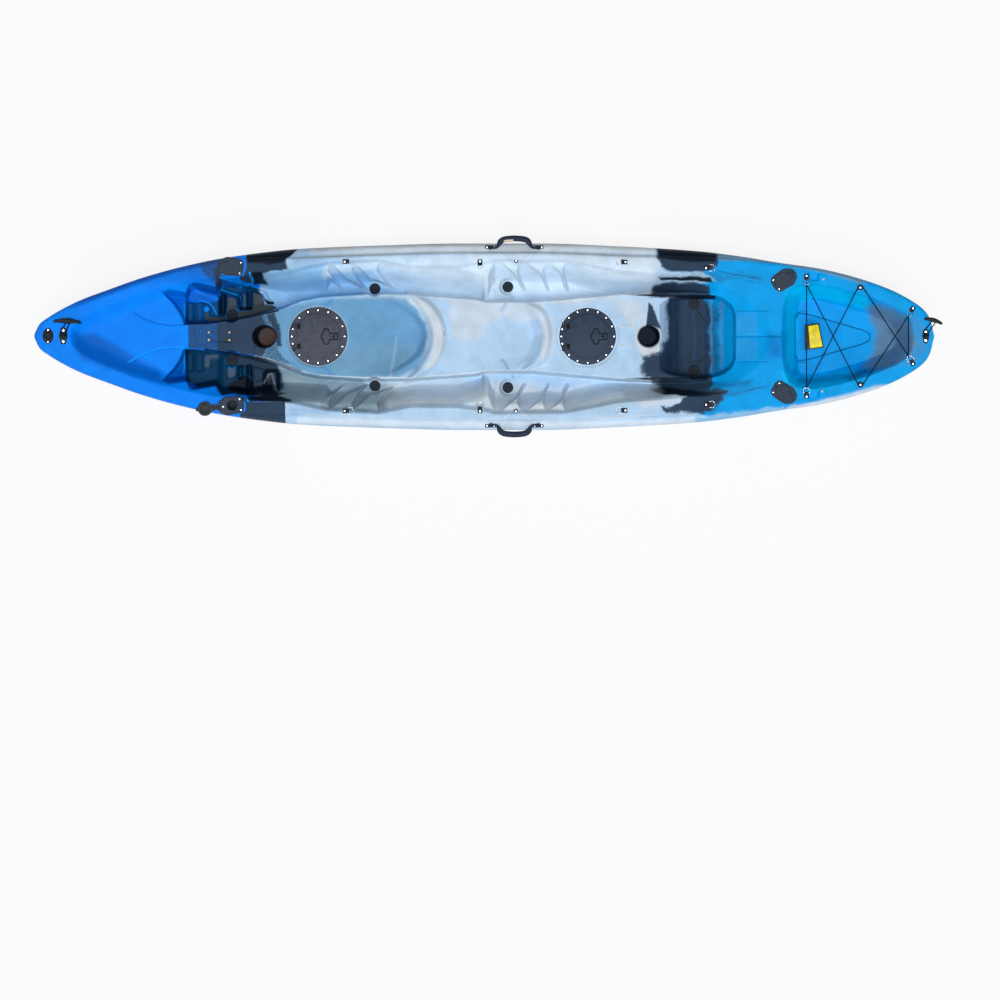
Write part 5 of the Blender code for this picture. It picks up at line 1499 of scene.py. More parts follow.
STROKES = (
    # Painted light and shade along the wells: mist, light and sky on the outer and inner walls are paler than
    # the plastic, to make up for their shade; the light rings round the hatches and the light on the fins'
    # edges are painted highlights; the haze on the port fins' aft edges is painted shade.
    Stroke(T.MIST, tuple((c, w - 5.0) for c, w in OUTER_EDGE if 320 <= c <= 650), 7.0, 0.60, UPPER),
    Stroke(T.LIGHT, tuple((c, w - 5.0) for c, w in OUTER_EDGE if 380 <= c <= 650), 7.0, 0.62, LOWER),
    Stroke(T.LIGHT, tuple((c, w + 1.9) for c, w in INNER_EDGE if 405 <= c <= 650), 3.4, 0.80, UPPER),
    Stroke(T.MIST, tuple((c, w + 1.9) for c, w in INNER_EDGE if 360 <= c <= 650), 3.4, 0.70),
    Stroke(T.SKY, tuple((c, w + 1.9) for c, w in INNER_EDGE if 300 <= c <= 350), 3.4, 0.4, UPPER),
    *(
        Stroke(T.LIGHT, [(c + r * math.cos(t / 5), r * math.sin(t / 5)) for t in range(17)], 1.0, amount)
        for c, r, amount in ((318.0, 30.2, 0.34), (587.7, 29.3, 0.55))
    ),
    *(Stroke(T.LIGHT, edge, 1.3, 0.75, UPPER) for edge in FORE_EDGES[3:]),
    *(Stroke(T.LIGHT, edge, 1.2, 0.45, UPPER) for edge in FORE_EDGES[1:3]),
    *(Stroke(T.LIGHT, edge, 1.1, 0.32, LOWER) for edge in (*FORE_EDGES[1:3], *FORE_EDGES[4:])),
    *(Stroke(T.LIGHT, edge, 1.2, 0.4, UPPER) for edge in AFT_EDGES[:3]),
    *(Stroke(T.HAZE, edge, 1.8, 0.50, LOWER) for edge in AFT_EDGES),
    # Painted light and shade among these lines: the light and bright lines on the gunwales' rolls, crests and
    # lit edges are painted highlights, and the black, deep and teal lines along the console's edges, in the
    # grooves and sockets, between the steps and round the seats' arcs are painted shade.
    *drawn(Stroke, """
        light 5.5 0.26 upper 312,84.2 352,85.6
        light 5.5 0.5 upper 330,84.9 380,86.4
        light 5.5 0.75 upper 356,85.7 400,87 500,88.5 600,87.5 652,85.5
        light 5 0.62 lower 300,84.5 400,87.2 500,89 600,88.4 652,86.5
        light 1.3 0.65 upper 378.6,76 386.9,72.6 399.5,69.5 419,67.3 459,69 474,65.2
        light 1.3 0.75 upper 566.4,75.4 577,72.6 590,67.8 603,65.4 622.8,62.6 657,61.2
        olive 0.9 0.42 upper 504.7,82.3 516.4,70.7 529,82.3
        light 0.9 0.8 lower 504.7,82.3 516.4,70.7 529,82.3
        light 1.2 0.3 lower 267,22 278.2,26 301.2,35 309,37
        light 1.2 0.55 lower 320,39 365,41.6 409,41.3 440,39.5 476,36.6 530,33.9 546,28
        black 1.5 0.85 upper 184,11.8 210.6,13 243.8,18.2 278.2,25.8
        deep 1 0.45 upper 278.2,25.8 301.2,34.8 320.3,38.8 365,41.6
        black 1.3 0.8 lower 205,13 243.8,18.2 278.2,25.8 301.2,34.8
        bright 1.2 0.7 184.2,13 183.9,28 183,36
        black 0.8 0.6 193.6,16 193.2,28 194.6,34
        bright 1.1 0.8 upper 196,34.5 199,37 207,34.6 212,30 215.4,22.4
        bright 1.2 0.9 upper 220.6,58.6 222,57.8 232,55.6 241,53.6
        bright 1.5 0.9 upper 249.8,63.4 250.2,60 252.4,57 251.4,53.8 243,52
        bright 1.2 0.7 upper 220,47.6 226,45.4 236,42.6
        bright 0.9 0.5 upper 232.6,44 238,41.8 240.4,36 240.8,30
        black 1.2 0.7 upper 218.6,45.6 222,42.4 228,43.2 234,40.6 237.4,34
        teal 3.4 1 upper 243,51 253,47.6 262,44.6 266,38 269.4,35.2
        black 1.1 0.75 upper 252,47 260,43.4 263.4,37 266.8,33.2
        bright 0.8 0.4 upper 253,49.8 262,46.6 267.4,38.8
        teal 3 0.6 lower 218,24 224,30 229,45 238,41
        black 2.5 1 lower 263,48 263.4,36 266,33.6 274.6,33.6 276.6,37 277,54
        light 1.2 0.18 lower 262,46.4 267.4,37.6 270.4,36.6 272.6,44 274.6,52.4 278.4,56.4
        haze 1.1 0.8 lower 252,53.4 258,57.6 268.6,59.6 284,58.4
        black 0.8 0.7 lower 210.5,5.6 231,6.2
        black 0.7 0.5 lower 207.4,-6 207.4,6
        black 0.8 0.5 735.7,25.2 767.6,25.2
        black 0.8 0.5 735.7,0 781,0
        black 0.8 0.5 706.3,42 722.9,38.2 731.8,31.1 734.9,22 735.2,0
        black 1.1 0.62 797.4,19.7 800.6,24.1 810.8,22.3 864.4,6.9 870.8,3.1 871.4,0
        black 1 0.5 796.2,0 796.2,22 800,26 808,25.6
        black 1 0.5 670,30.3 676,18 678.6,9 678.8,0
        deep 1.1 0.55 upper 184,11.8 170,11 157.6,12.9 144.8,17.1 134.6,23.5
        bright 1.2 0.9 lower 184,11.8 170,11 157.6,12.9 144.8,17.1 128,26.3
        black 1.2 0.5 upper 717,65.5 735,61.5 760,57
        black 1 0.4 upper 726,59 748,55.5 764,52
        black 1.2 0.4 lower 722,62 745,55 770,49
        light 2.2 0.16 lower 396.3,-0.5 395,12 393.8,21 390,39
        deep 1 0.35 409,42 425,38.5 438.8,29 446.9,14 447.6,0
        black 0.8 0.55 upper 444.2,-5.4 444.2,5.4
        bright 1.2 0.5 323,29.4 328,33.5 332.4,38.4
        deep 2.2 0.55 502.6,25 507.2,33 512.4,39.4
        bright 1.3 0.5 808,71 809,58 819,57
    """),
)

RELIEFS = (
    *(Relief(edge, 1.8, 0.0022) for edge in DECK_EDGES),
    Relief(LEAF, 1.5, -0.0022),
    # Gussets at the console beside the middle seat, and the grooves by the front hatch
    Relief(path("502.2,24.8 507,33 512.4,39.8"), 2.4, 0.0150),
    Relief(path("322.9,29 328,33.5 332,38"), 1.4, -0.0040),
    Relief(path("396.3,-0.5 395,12 393.8,21.1 390,39"), 1.4, 0.0014, LOWER),
    # Rear seat: its front arc, its back's outline and the grooves behind it
    Relief(path("706.3,42 722.9,38.2 731.8,31.1 735,22 735.4,0"), 1.1, -0.0025),
    Relief(path("670,30.3 676,18 678.6,9 678.8,0"), 1.3, -0.0025),
    Relief(path("735.7,25.2 767.6,25.2"), 1.1, -0.0030),
    Relief(path("735.7,0 781,0"), 1.1, -0.0030),
    # Tankwell: the arrow panel and the foot of its wall
    Relief(path("797.4,19.7 800.6,24.1 810.8,22.3 864.4,6.9 870.8,3.1 871.4,0"), 1.2, -0.0026),
    Relief(path("796.6,22 796.6,0"), 1.2, -0.0026),
    # Triangles of the paddle buttons
    Relief(path("504.7,82.3 516.4,70.7 529,82.3"), 1.1, 0.0020),
    # The raised lip round the rear cup
    Relief(path("649,12.8 640,9.5 636.4,0 640,-9.5"), 2.0, 0.0030, UPPER),
    # Sockets of the starboard footwell, then of the port one
    Relief(path("221,24 221,42"), 4.2, -0.026, UPPER),
    Relief(path("239,30 239,41"), 2.8, -0.024, UPPER),
    Relief(path("248,30 248,47"), 3.8, -0.026, UPPER),
    Relief(path("252,48 262,44.6 266,38 270,34.4"), 3.0, -0.022, UPPER),
    Relief(path("239,30 239,40"), 2.8, -0.022, LOWER),
    Relief(path("248,30 248,50"), 3.8, -0.026, LOWER),
    Relief(path("263,50 263.4,36 266,33.6 274.6,33.6 276.6,37 277,54"), 2.4, -0.022, LOWER),
)

PADS = (
    # The rounded foot steps in the bow wells
    Pad(path("185.8,15 192.6,15.5 192.6,33 189,35 185.8,34"), 0.016, 1.6),
    Pad(path("195,15.5 202,15.8 202,34 197,35 195,34"), 0.010, 1.8),
    Pad(path("203.2,16.5 225,16 225,20.6 209,21.4 208.6,31 203.2,31"), 0.010, 1.2),
    Pad(path("225.6,26 235.4,26 235.4,40 225.6,41.4"), 0.012, 1.4),
    Pad(path("252.4,29.5 262.6,33 262,42 252.4,46"), 0.010, 1.4),
    # The hump above the starboard sockets
    Pad(path("220.6,58.6 232,56 243,52 244,45 236,43 222,47.6"), 0.020, 3.0, UPPER),
    # Steps in the gunwales behind the tankwell's front rings
    Pad(path("809,56 817.5,55 819,72 808,73.5"), -0.0090, 0.9),
    Pad(path("819,55 826.5,53.5 827,60.5 819,62"), 0.0030, 0.8),
    # Gear pads with brass inserts
    Pad(path("207,-6 231,-6 231,6 207,6"), -0.0016, 0.6),
    Pad(path("620.3,-11.3 632.4,-11.3 632.4,11.3 620.3,11.3"), 0.0022, 0.6),
)


# Column of the rim, column of the floor, row
CUPS = ((264.2, 266.7, 336.4), (649.2, 647.2, 335.9))
# Rear edge as rows and columns, column of the front, half-width, depth
BOWLS = (
    (path("0,430.4 4.4,429.8 17.1,423.6 26,413.5 38,394"), 343, 40.0, 0.046),
    (path("0,543.4 9.5,540.4 19.7,535.4 30,522"), 484, 32.0, 0.036),
)
# Front edge, rear edge, height
CRESCENTS = (
    (path("404,44 413,36 420.5,26.5 428.2,12 430.4,0"),
     path("404,48 422,41 435.5,31 444.4,15.6 446.9,0"), 0.026),
    (path("522,32 531,24 538,14 542.6,0"), path("522,36 538,32.5 548,23 553.8,0"), 0.0208),
)


@dataclass
class DeckMoulding:
    """The deck's skin, from the seam over the gunwales down into every well."""

    spacing: float = 0.0037
    across: int = 190
    cup_radius: float = 0.052
    cup_floor_radius: float = 0.040
    cup_depth: float = 0.085
    plug_bore: float = 0.019
    plug_flat: float = 0.040
    hatch_flat: float = 0.140
    hatch_bore: float = 0.106
    holder_bore: float = 0.0262
    drain_bore: float = 0.0125
    well_wall: float = 16.0
    rim_turn: float = 0.006
    rim_drop: float = 0.004
    blade_reach: float = 0.172

    def height(self, s: Array, y: Array) -> Array:
        """Height of the deck inside the rim.

        Args:
            s: Stations.
            y: Places across.

        Returns:
            Heights of the skin.
        """
        a = np.abs(y)
        u = Plan.column(s - ORIGIN_STATION)
        v = Plan.row(y)
        w = a / Plan.UNIT
        rim = LINES.corner_rim(s)
        depth = depth_inside(mirrored(BASIN_EDGE), u, w)
        fall = np.clip(depth / straight(BASIN_WALL, 1)(u), 0.0, 1.0)
        z = LINES.top(s) - BASIN_DEPTH * (0.5 * ease(fall) + 0.5 * (1 - (1 - fall) ** 2))
        z = self.leg_wells(z, u, w)
        z = self.seats(z, u, w)
        near = beside(WELL_EDGE, 6.0, u)
        share = np.zeros_like(u)
        inside = depth_inside(mirrored(WELL_EDGE), u[near], w[near])
        inside = np.clip(inside / self.well_wall, 0.0, 1.0)
        share[near] = 0.35 * ease(inside) + 0.65 * inside
        z = z + (np.minimum(straight(WELL_FLOOR, 1)(u), z) - z) * share
        for _, station in HATCHES:
            away = np.hypot(s - station, y)
            flat = ease((self.hatch_flat - away) / 0.010)
            z = z + (LINES.hatch_seat(station) - z) * flat
        for column, floor_column, row in CUPS:
            z = self.cup(z, u, v, column, floor_column, row)
        for item in (*RELIEFS, *PADS):
            z = z + item.lift(u, v)
        for _, station, place, floor in SCUPPERS:
            away = np.hypot(s - station, a - place)
            z = z + (floor - z) * ease((self.plug_flat - away) / 0.013)
        turn = np.clip((a - rim) / self.rim_turn + 1.0, 0.0, 1.0)
        return z - self.rim_drop * turn**2

    def leg_wells(self, z: Array, u: Array, w: Array) -> Array:
        """Sinks the leg wells, with a steep wall at the console and a sloped one at the gunwale.

        Args:
            z: Heights so far.
            u: Columns of the places.
            w: Their distances from the centre line, in the plan's units.

        Returns:
            The new heights.
        """
        columns, rows = zip(*reversed(FOOT_EDGE))
        behind = u - np.interp(w, rows, columns)
        top = z
        ramp = np.where(u < 185.4, 0.262 - 0.0028 * np.clip(behind, 0.0, None), 0.0)
        floor = np.maximum(straight(TROUGH_FLOOR, 1)(u), ramp)
        outer = (straight(OUTER_EDGE, 1)(u) - w) * Plan.UNIT / straight(OUTER_WALL, 1)(u)
        outer = np.clip(outer, 0.0, 1.0)
        inner = ease((w - straight(INNER_EDGE, 1)(u)) * Plan.UNIT / straight(INNER_WALL, 1)(u))
        share = (0.5 * outer + 0.5 * ease(outer)) * inner * ease(behind / 3.0)
        share = np.where(beside(OUTER_EDGE, 0.0, u), share, 0.0)
        z = z + (np.minimum(floor, z) - z) * share
        fall = np.clip((68.5 - w) / 24.5, 0.0, 1.0)
        blade = top - 0.003 - self.blade_reach * fall**1.25
        for fin in FINS:
            near = beside(fin, 1.5, u) & (w > 38)
            cover = ease(0.5 + depth_inside(fin, u[near], w[near]) / 1.8)
            z[near] = z[near] + (np.maximum(blade[near], z[near]) - z[near]) * cover
        return z

    def seats(self, z: Array, u: Array, w: Array) -> Array:
        """Sinks the seats' bowls and raises the crescents behind the front and middle ones.

        Args:
            z: Heights so far.
            u: Columns of the places.
            w: Their distances from the centre line, in the plan's units.

        Returns:
            The new heights.
        """
        for arc, start, half, depth in BOWLS:
            end = through(arc, 1)(w)
            bowl = np.clip(1 - (w / half) ** 2, 0.0, 1.0)
            z = z - depth * bowl * ease((u - start) / 60) * ease((end - u) / 11)
        for inner, outer, height in CRESCENTS:
            front, rear = faired(mirrored(inner)), faired(mirrored(outer))
            near = (u > 400) & (u < 562)
            depth = np.full_like(u, -9.0)
            depth[near] = depth_inside([*front, *reversed(rear)], u[near], w[near])
            z = z + height * ease((depth + 1.6) / 6.4)
        side = ease((straight(REAR_SEAT_EDGE, 1)(u) - w) / 4.0)
        share = np.where((u > 660) & (u < 737), side, 0.0)
        return z + (np.minimum(straight(REAR_SEAT_FLOOR, 1)(u), z) - z) * share

    def cup(self, z: Array, u: Array, v: Array, column: float, floor_column: float, row: float) -> Array:
        """Sinks a cup holder, whose floor lies a little aside.

        Args:
            z: Heights so far.
            u: Columns of the places.
            v: Rows of the places.
            column: Column of the rim's middle.
            floor_column: Column of the floor's middle.
            row: Row of its middle.

        Returns:
            The new heights.
        """
        around = np.hypot(u - column, v - row) * Plan.UNIT
        below = np.hypot(u - floor_column, v - row) * Plan.UNIT
        near = around < self.cup_radius + 0.004
        from_edge = np.clip(self.cup_radius - around, 0.0, None)
        from_floor = np.clip(below - self.cup_floor_radius, 0.0, None)
        share = from_edge / (from_edge + from_floor + 1e-9)
        top = LINES.basin_floor(Plan.x(column) + ORIGIN_STATION)
        sunk = np.minimum(z, top - self.cup_depth * ease(share) ** 0.7)
        return np.where(near, sunk, z)

    def build(self, finishes: Finishes) -> None:
        """Makes the deck's skin.

        Args:
            finishes: The boat's finishes.
        """
        count = int(HULL_LENGTH / self.spacing)
        stations = np.linspace(0.0, HULL_LENGTH, count + 1)
        profile = self.side_profile(stations)
        edge = profile[:, -1, 0]
        share = np.linspace(-1.0, 1.0, self.across)
        y = share[None, :] * edge[:, None]
        s = np.repeat(stations[:, None], self.across, axis=1)
        z = self.height(s, y)
        s, y = self.round_holes(s, y)
        side_s = np.repeat(stations[:, None], profile.shape[1] - 1, axis=1)
        low_y, low_z = profile[:, :-1, 0], profile[:, :-1, 1]
        all_s = np.concatenate([side_s, s, side_s], axis=1)
        all_y = np.concatenate([-low_y, y, low_y[:, ::-1]], axis=1)
        all_z = np.concatenate([low_z, z, low_z[:, ::-1]], axis=1)
        s, y, z = close_ends(all_s, all_y, all_z)
        skin("deck_moulding", s, y, z, self.open_faces(s, y), finishes.marble, "deck_shell")

    def side_profile(self, stations: Array) -> Array:
        """The side's outline at each station, from the seam over the ledge to the rim.

        Args:
            stations: Distances from the bow's tip.

        Returns:
            The outlines, with Y and Z last.
        """
        half = LINES.half(stations)
        inset = np.minimum(LINES.inset(stations), 0.5 * half)
        top = LINES.top(stations)
        drop = LEDGE_DROP * inset / LEDGE_FULL + 0.004
        reach = np.abs(stations - HANDLE_STATION)
        scoop = 0.35 + 0.42 * ease((0.086 - reach) / 0.031)
        inside = np.maximum(half - inset - 0.014, 0.6 * (half - inset))
        columns = [
            (half, top - SEAM_DROP), (half - 0.05 * inset, top - 0.6 * SEAM_DROP - 0.4 * drop),
            (half - scoop * inset, top - drop - 0.006), (half - 0.85 * inset, top - drop),
            (half - inset, top - 0.0008), (inside, top - 0.0002),
        ]
        chain = np.stack([np.stack(pair, axis=-1) for pair in columns], axis=1)
        for _ in range(2):
            a, b = chain[:, :-1], chain[:, 1:]
            cut = np.stack([0.75 * a + 0.25 * b, 0.25 * a + 0.75 * b], axis=2).reshape(len(stations), -1, 2)
            chain = np.concatenate([chain[:, :1], cut[:, 1:-1], chain[:, -1:]], axis=1)
        return chain

    def round_holes(self, s: Array, y: Array) -> tuple[Array, Array]:
        """Moves points near each scupper's bore onto its edge.

        Args:
            s: Stations.
            y: Places across.

        Returns:
            The new stations and places across.
        """
        for _, station, place, _ in SCUPPERS:
            for side in (1, -1):
                ds, dy = s - station, y - side * place
                away = np.hypot(ds, dy)
                near = np.abs(away - self.plug_bore) < 0.62 * self.spacing
                pull = np.where(near, self.plug_bore / np.maximum(away, 1e-9), 1.0)
                s = station + ds * pull
                y = side * place + dy * pull
        return s, y

    def open_faces(self, s: Array, y: Array) -> Array:
        """Which faces of the skin stay, past the bores and hatch openings.

        Args:
            s: Stations.
            y: Places across.

        Returns:
            A mark for each face that stays.
        """
        mid_s = 0.25 * (s[:-1, :-1] + s[1:, :-1] + s[:-1, 1:] + s[1:, 1:])
        mid_y = 0.25 * (y[:-1, :-1] + y[1:, :-1] + y[:-1, 1:] + y[1:, 1:])
        keep = np.ones(mid_s.shape, dtype=bool)
        for _, station, place, _ in SCUPPERS:
            keep &= np.hypot(mid_s - station, np.abs(mid_y) - place) > 0.985 * self.plug_bore
        for _, station in HATCHES:
            keep &= np.hypot(mid_s - station, mid_y) > self.hatch_bore
        for _, station, place, _ in HOLDERS:
            keep &= np.hypot(mid_s - station, np.abs(mid_y) - place) > self.holder_bore
        return keep & (np.hypot(mid_s - DRAIN_STATION, mid_y) > self.drain_bore)


def close_ends(s: Array, y: Array, z: Array) -> tuple[Array, Array, Array]:
    """Rounds both ends of a skin into the middle plane.

    Args:
        s: Stations of its points, a row for each station.
        y: Places across.
        z: Heights.

    Returns:
        The three arrays, with rows added at both ends.
    """
    def cap(row: int, sign: float) -> list[tuple[Array, Array, Array]]:
        """The added rows of one end.

        Args:
            row: The row that it closes.
            sign: Which way it points.

        Returns:
            The rows, from the boat outwards.
        """
        seam = float(LINES.top(s[row, 0])) - SEAM_DROP
        return [
            (s[row] + sign * ds, y[row] * dy, seam + (z[row] - seam) * dz)
            for ds, dy, dz in ((0.0016, 0.86, 0.97), (0.0036, 0.55, 0.90), (0.0048, 0.0, 0.84))
        ]

    bow, stern = cap(0, -1.0)[::-1], cap(-1, 1.0)
    return tuple(
        np.concatenate([[row[k] for row in bow], item, [row[k] for row in stern]])
        for k, item in enumerate((s, y, z))
    )


def skin(
    name: str, s: Array, y: Array, z: Array, keep: Array, finish: bpy.types.Material, node: str,
) -> None:
    """Makes a painted skin through a grid of points, in the place of a solid.

    Args:
        name: Its name.
        s: Stations of the points.
        y: Places across, rising for a face that looks up.
        z: Heights.
        keep: Which of the grid's faces it has.
        finish: Its material.
        node: The node that it stands for.
    """
    points = np.stack([s - ORIGIN_STATION, y, z], axis=-1)
    rows, columns = points.shape[:2]
    index = np.arange(rows * columns).reshape(rows, columns)
    quads = np.stack([index[:-1, :-1], index[1:, :-1], index[1:, 1:], index[:-1, 1:]], axis=-1)[keep]
    used = np.zeros(rows * columns, dtype=bool)
    used[quads.ravel()] = True
    new_index = np.cumsum(used) - 1
    mesh = bpy.data.meshes.new(name)
    mesh.vertices.add(int(used.sum()))
    mesh.vertices.foreach_set("co", points.reshape(-1, 3)[used].astype(np.float32).ravel())
    mesh.loops.add(quads.size)
    mesh.loops.foreach_set("vertex_index", new_index[quads].astype(np.int32).ravel())
    mesh.polygons.add(len(quads))
    mesh.polygons.foreach_set("loop_start", np.arange(0, quads.size, 4, dtype=np.int32))
    mesh.update(calc_edges=True)
    mesh.validate()
    mesh.polygons.foreach_set("use_smooth", np.ones(len(mesh.polygons), dtype=bool))
    piece = placed(name, mesh)
    paint(mesh)
    mesh.materials.append(finish)
    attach(piece, "boat")
    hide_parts(node)
    LOG.info("%s: %d faces", name, len(mesh.polygons))


def paint(mesh: bpy.types.Mesh) -> None:
    """Stores where each colour lies on a mesh: the marbling's own colours, and the painted light and shade laid
    into them.

    Args:
        mesh: The mesh.
    """
    co = np.empty(len(mesh.vertices) * 3, dtype=np.float32)
    mesh.vertices.foreach_get("co", co)
    co = co.reshape(-1, 3).astype(float)
    u, v = Plan.column(co[:, 0]), Plan.row(co[:, 1])
    fields = {tone: np.zeros(len(co)) for tone in Tone}

    def add(tone: Tone, cover: Array) -> None:
        """Lays more of a colour."""
        fields[tone] = np.maximum(fields[tone], cover)

    for mark in (*PATCHES, *STROKES):
        add(mark.tone, mark.cover(u, v))
    # Painted light and shade on the flanks: the sand grey on the starboard flank and ledge and the deep blue on
    # the starboard flank at the bow are painted shade; the light on the port ledge is painted light.
    flank = (LINES.half(co[:, 0] + ORIGIN_STATION) - np.abs(co[:, 1])) / Plan.UNIT
    middle = ease((u - 292) / 30) * ease((654 - u) / 10)
    ledge = middle * ease(1.6 - np.abs(flank - 9.6))
    bow = ease((235 - u) / 30) * ease((u - 60) / 30)
    starboard = co[:, 1] > 0
    add(Tone.SAND, 0.9 * starboard * middle * ease((4.6 - flank) / 1.6))
    add(Tone.SAND, 0.75 * starboard * ledge)
    add(Tone.LIGHT, 0.5 * ~starboard * ledge)
    add(Tone.DEEP, 0.85 * starboard * bow * ease((9.0 - flank) / 5.0))
    for tone, values in fields.items():
        stored = mesh.attributes.new(tone.value, "FLOAT", "POINT")
        stored.data.foreach_set("value", values.astype(np.float32))
    stored = mesh.attributes.new("aft", "FLOAT", "POINT")
    stored.data.foreach_set("value", ease((u - 240) / 420).astype(np.float32))


@dataclass
class BottomMoulding:
    """The bottom's skin under the seam. Its sections run from a flat bottom to a vee at the ends."""

    spacing: float = 0.012
    flat_section: Rows = path("0,0 0.3,0 0.62,0.03 0.8,0.1 0.92,0.35 0.985,0.72 1,1")
    vee_section: Rows = path("0,0 0.3,0.22 0.62,0.5 0.8,0.66 0.92,0.8 0.985,0.92 1,1")

    def build(self, finishes: Finishes) -> None:
        """Makes the bottom's skin.

        Args:
            finishes: The boat's finishes.
        """
        count = int(HULL_LENGTH / self.spacing)
        stations = np.linspace(0.0, HULL_LENGTH, count + 1)
        share = np.sin(np.linspace(0.0, 0.5 * math.pi, 34))
        share = np.concatenate([share[:-1], [0.994, 1.0]])
        flat = through(self.flat_section, 1)(share)[None, :]
        vee = through(self.vee_section, 1)(share)[None, :]
        half = LINES.half(stations)[:, None]
        keel = LINES.keel(stations)[:, None]
        seam = LINES.top(stations)[:, None] - SEAM_DROP
        sharp = LINES.vee(stations)[:, None]
        rise = (1 - sharp) * flat + sharp * vee
        y = share[None, :] * half
        z = keel + np.clip(rise, 0.0, 1.0) * (seam - keel)
        z = z + self.keel_lines(stations[:, None], share[None, :])
        y = np.concatenate([y[:, :0:-1], -y], axis=1)
        z = np.concatenate([z[:, :0:-1], z], axis=1)
        s = np.repeat(stations[:, None], y.shape[1], axis=1)
        s, y, z = close_ends(s, y, z)
        keep = np.ones((s.shape[0] - 1, s.shape[1] - 1), dtype=bool)
        skin("bottom_moulding", s, y, z, keep, finishes.marble, "hull_shell")

    @staticmethod
    def keel_lines(station: Array, share: Array) -> Array:
        """Shallow channels either side of the keel, which leave the keel's flat in place.

        Args:
            station: Distances from the bow's tip.
            share: Places across, as shares of the half-width.

        Returns:
            The heights to add.
        """
        along = ease((station - 0.5) / 0.4) * ease((3.5 - station) / 0.4)
        channel = ease(1 - np.abs(share - 0.42) / 0.07)
        return 0.007 * along * channel


# Fittings


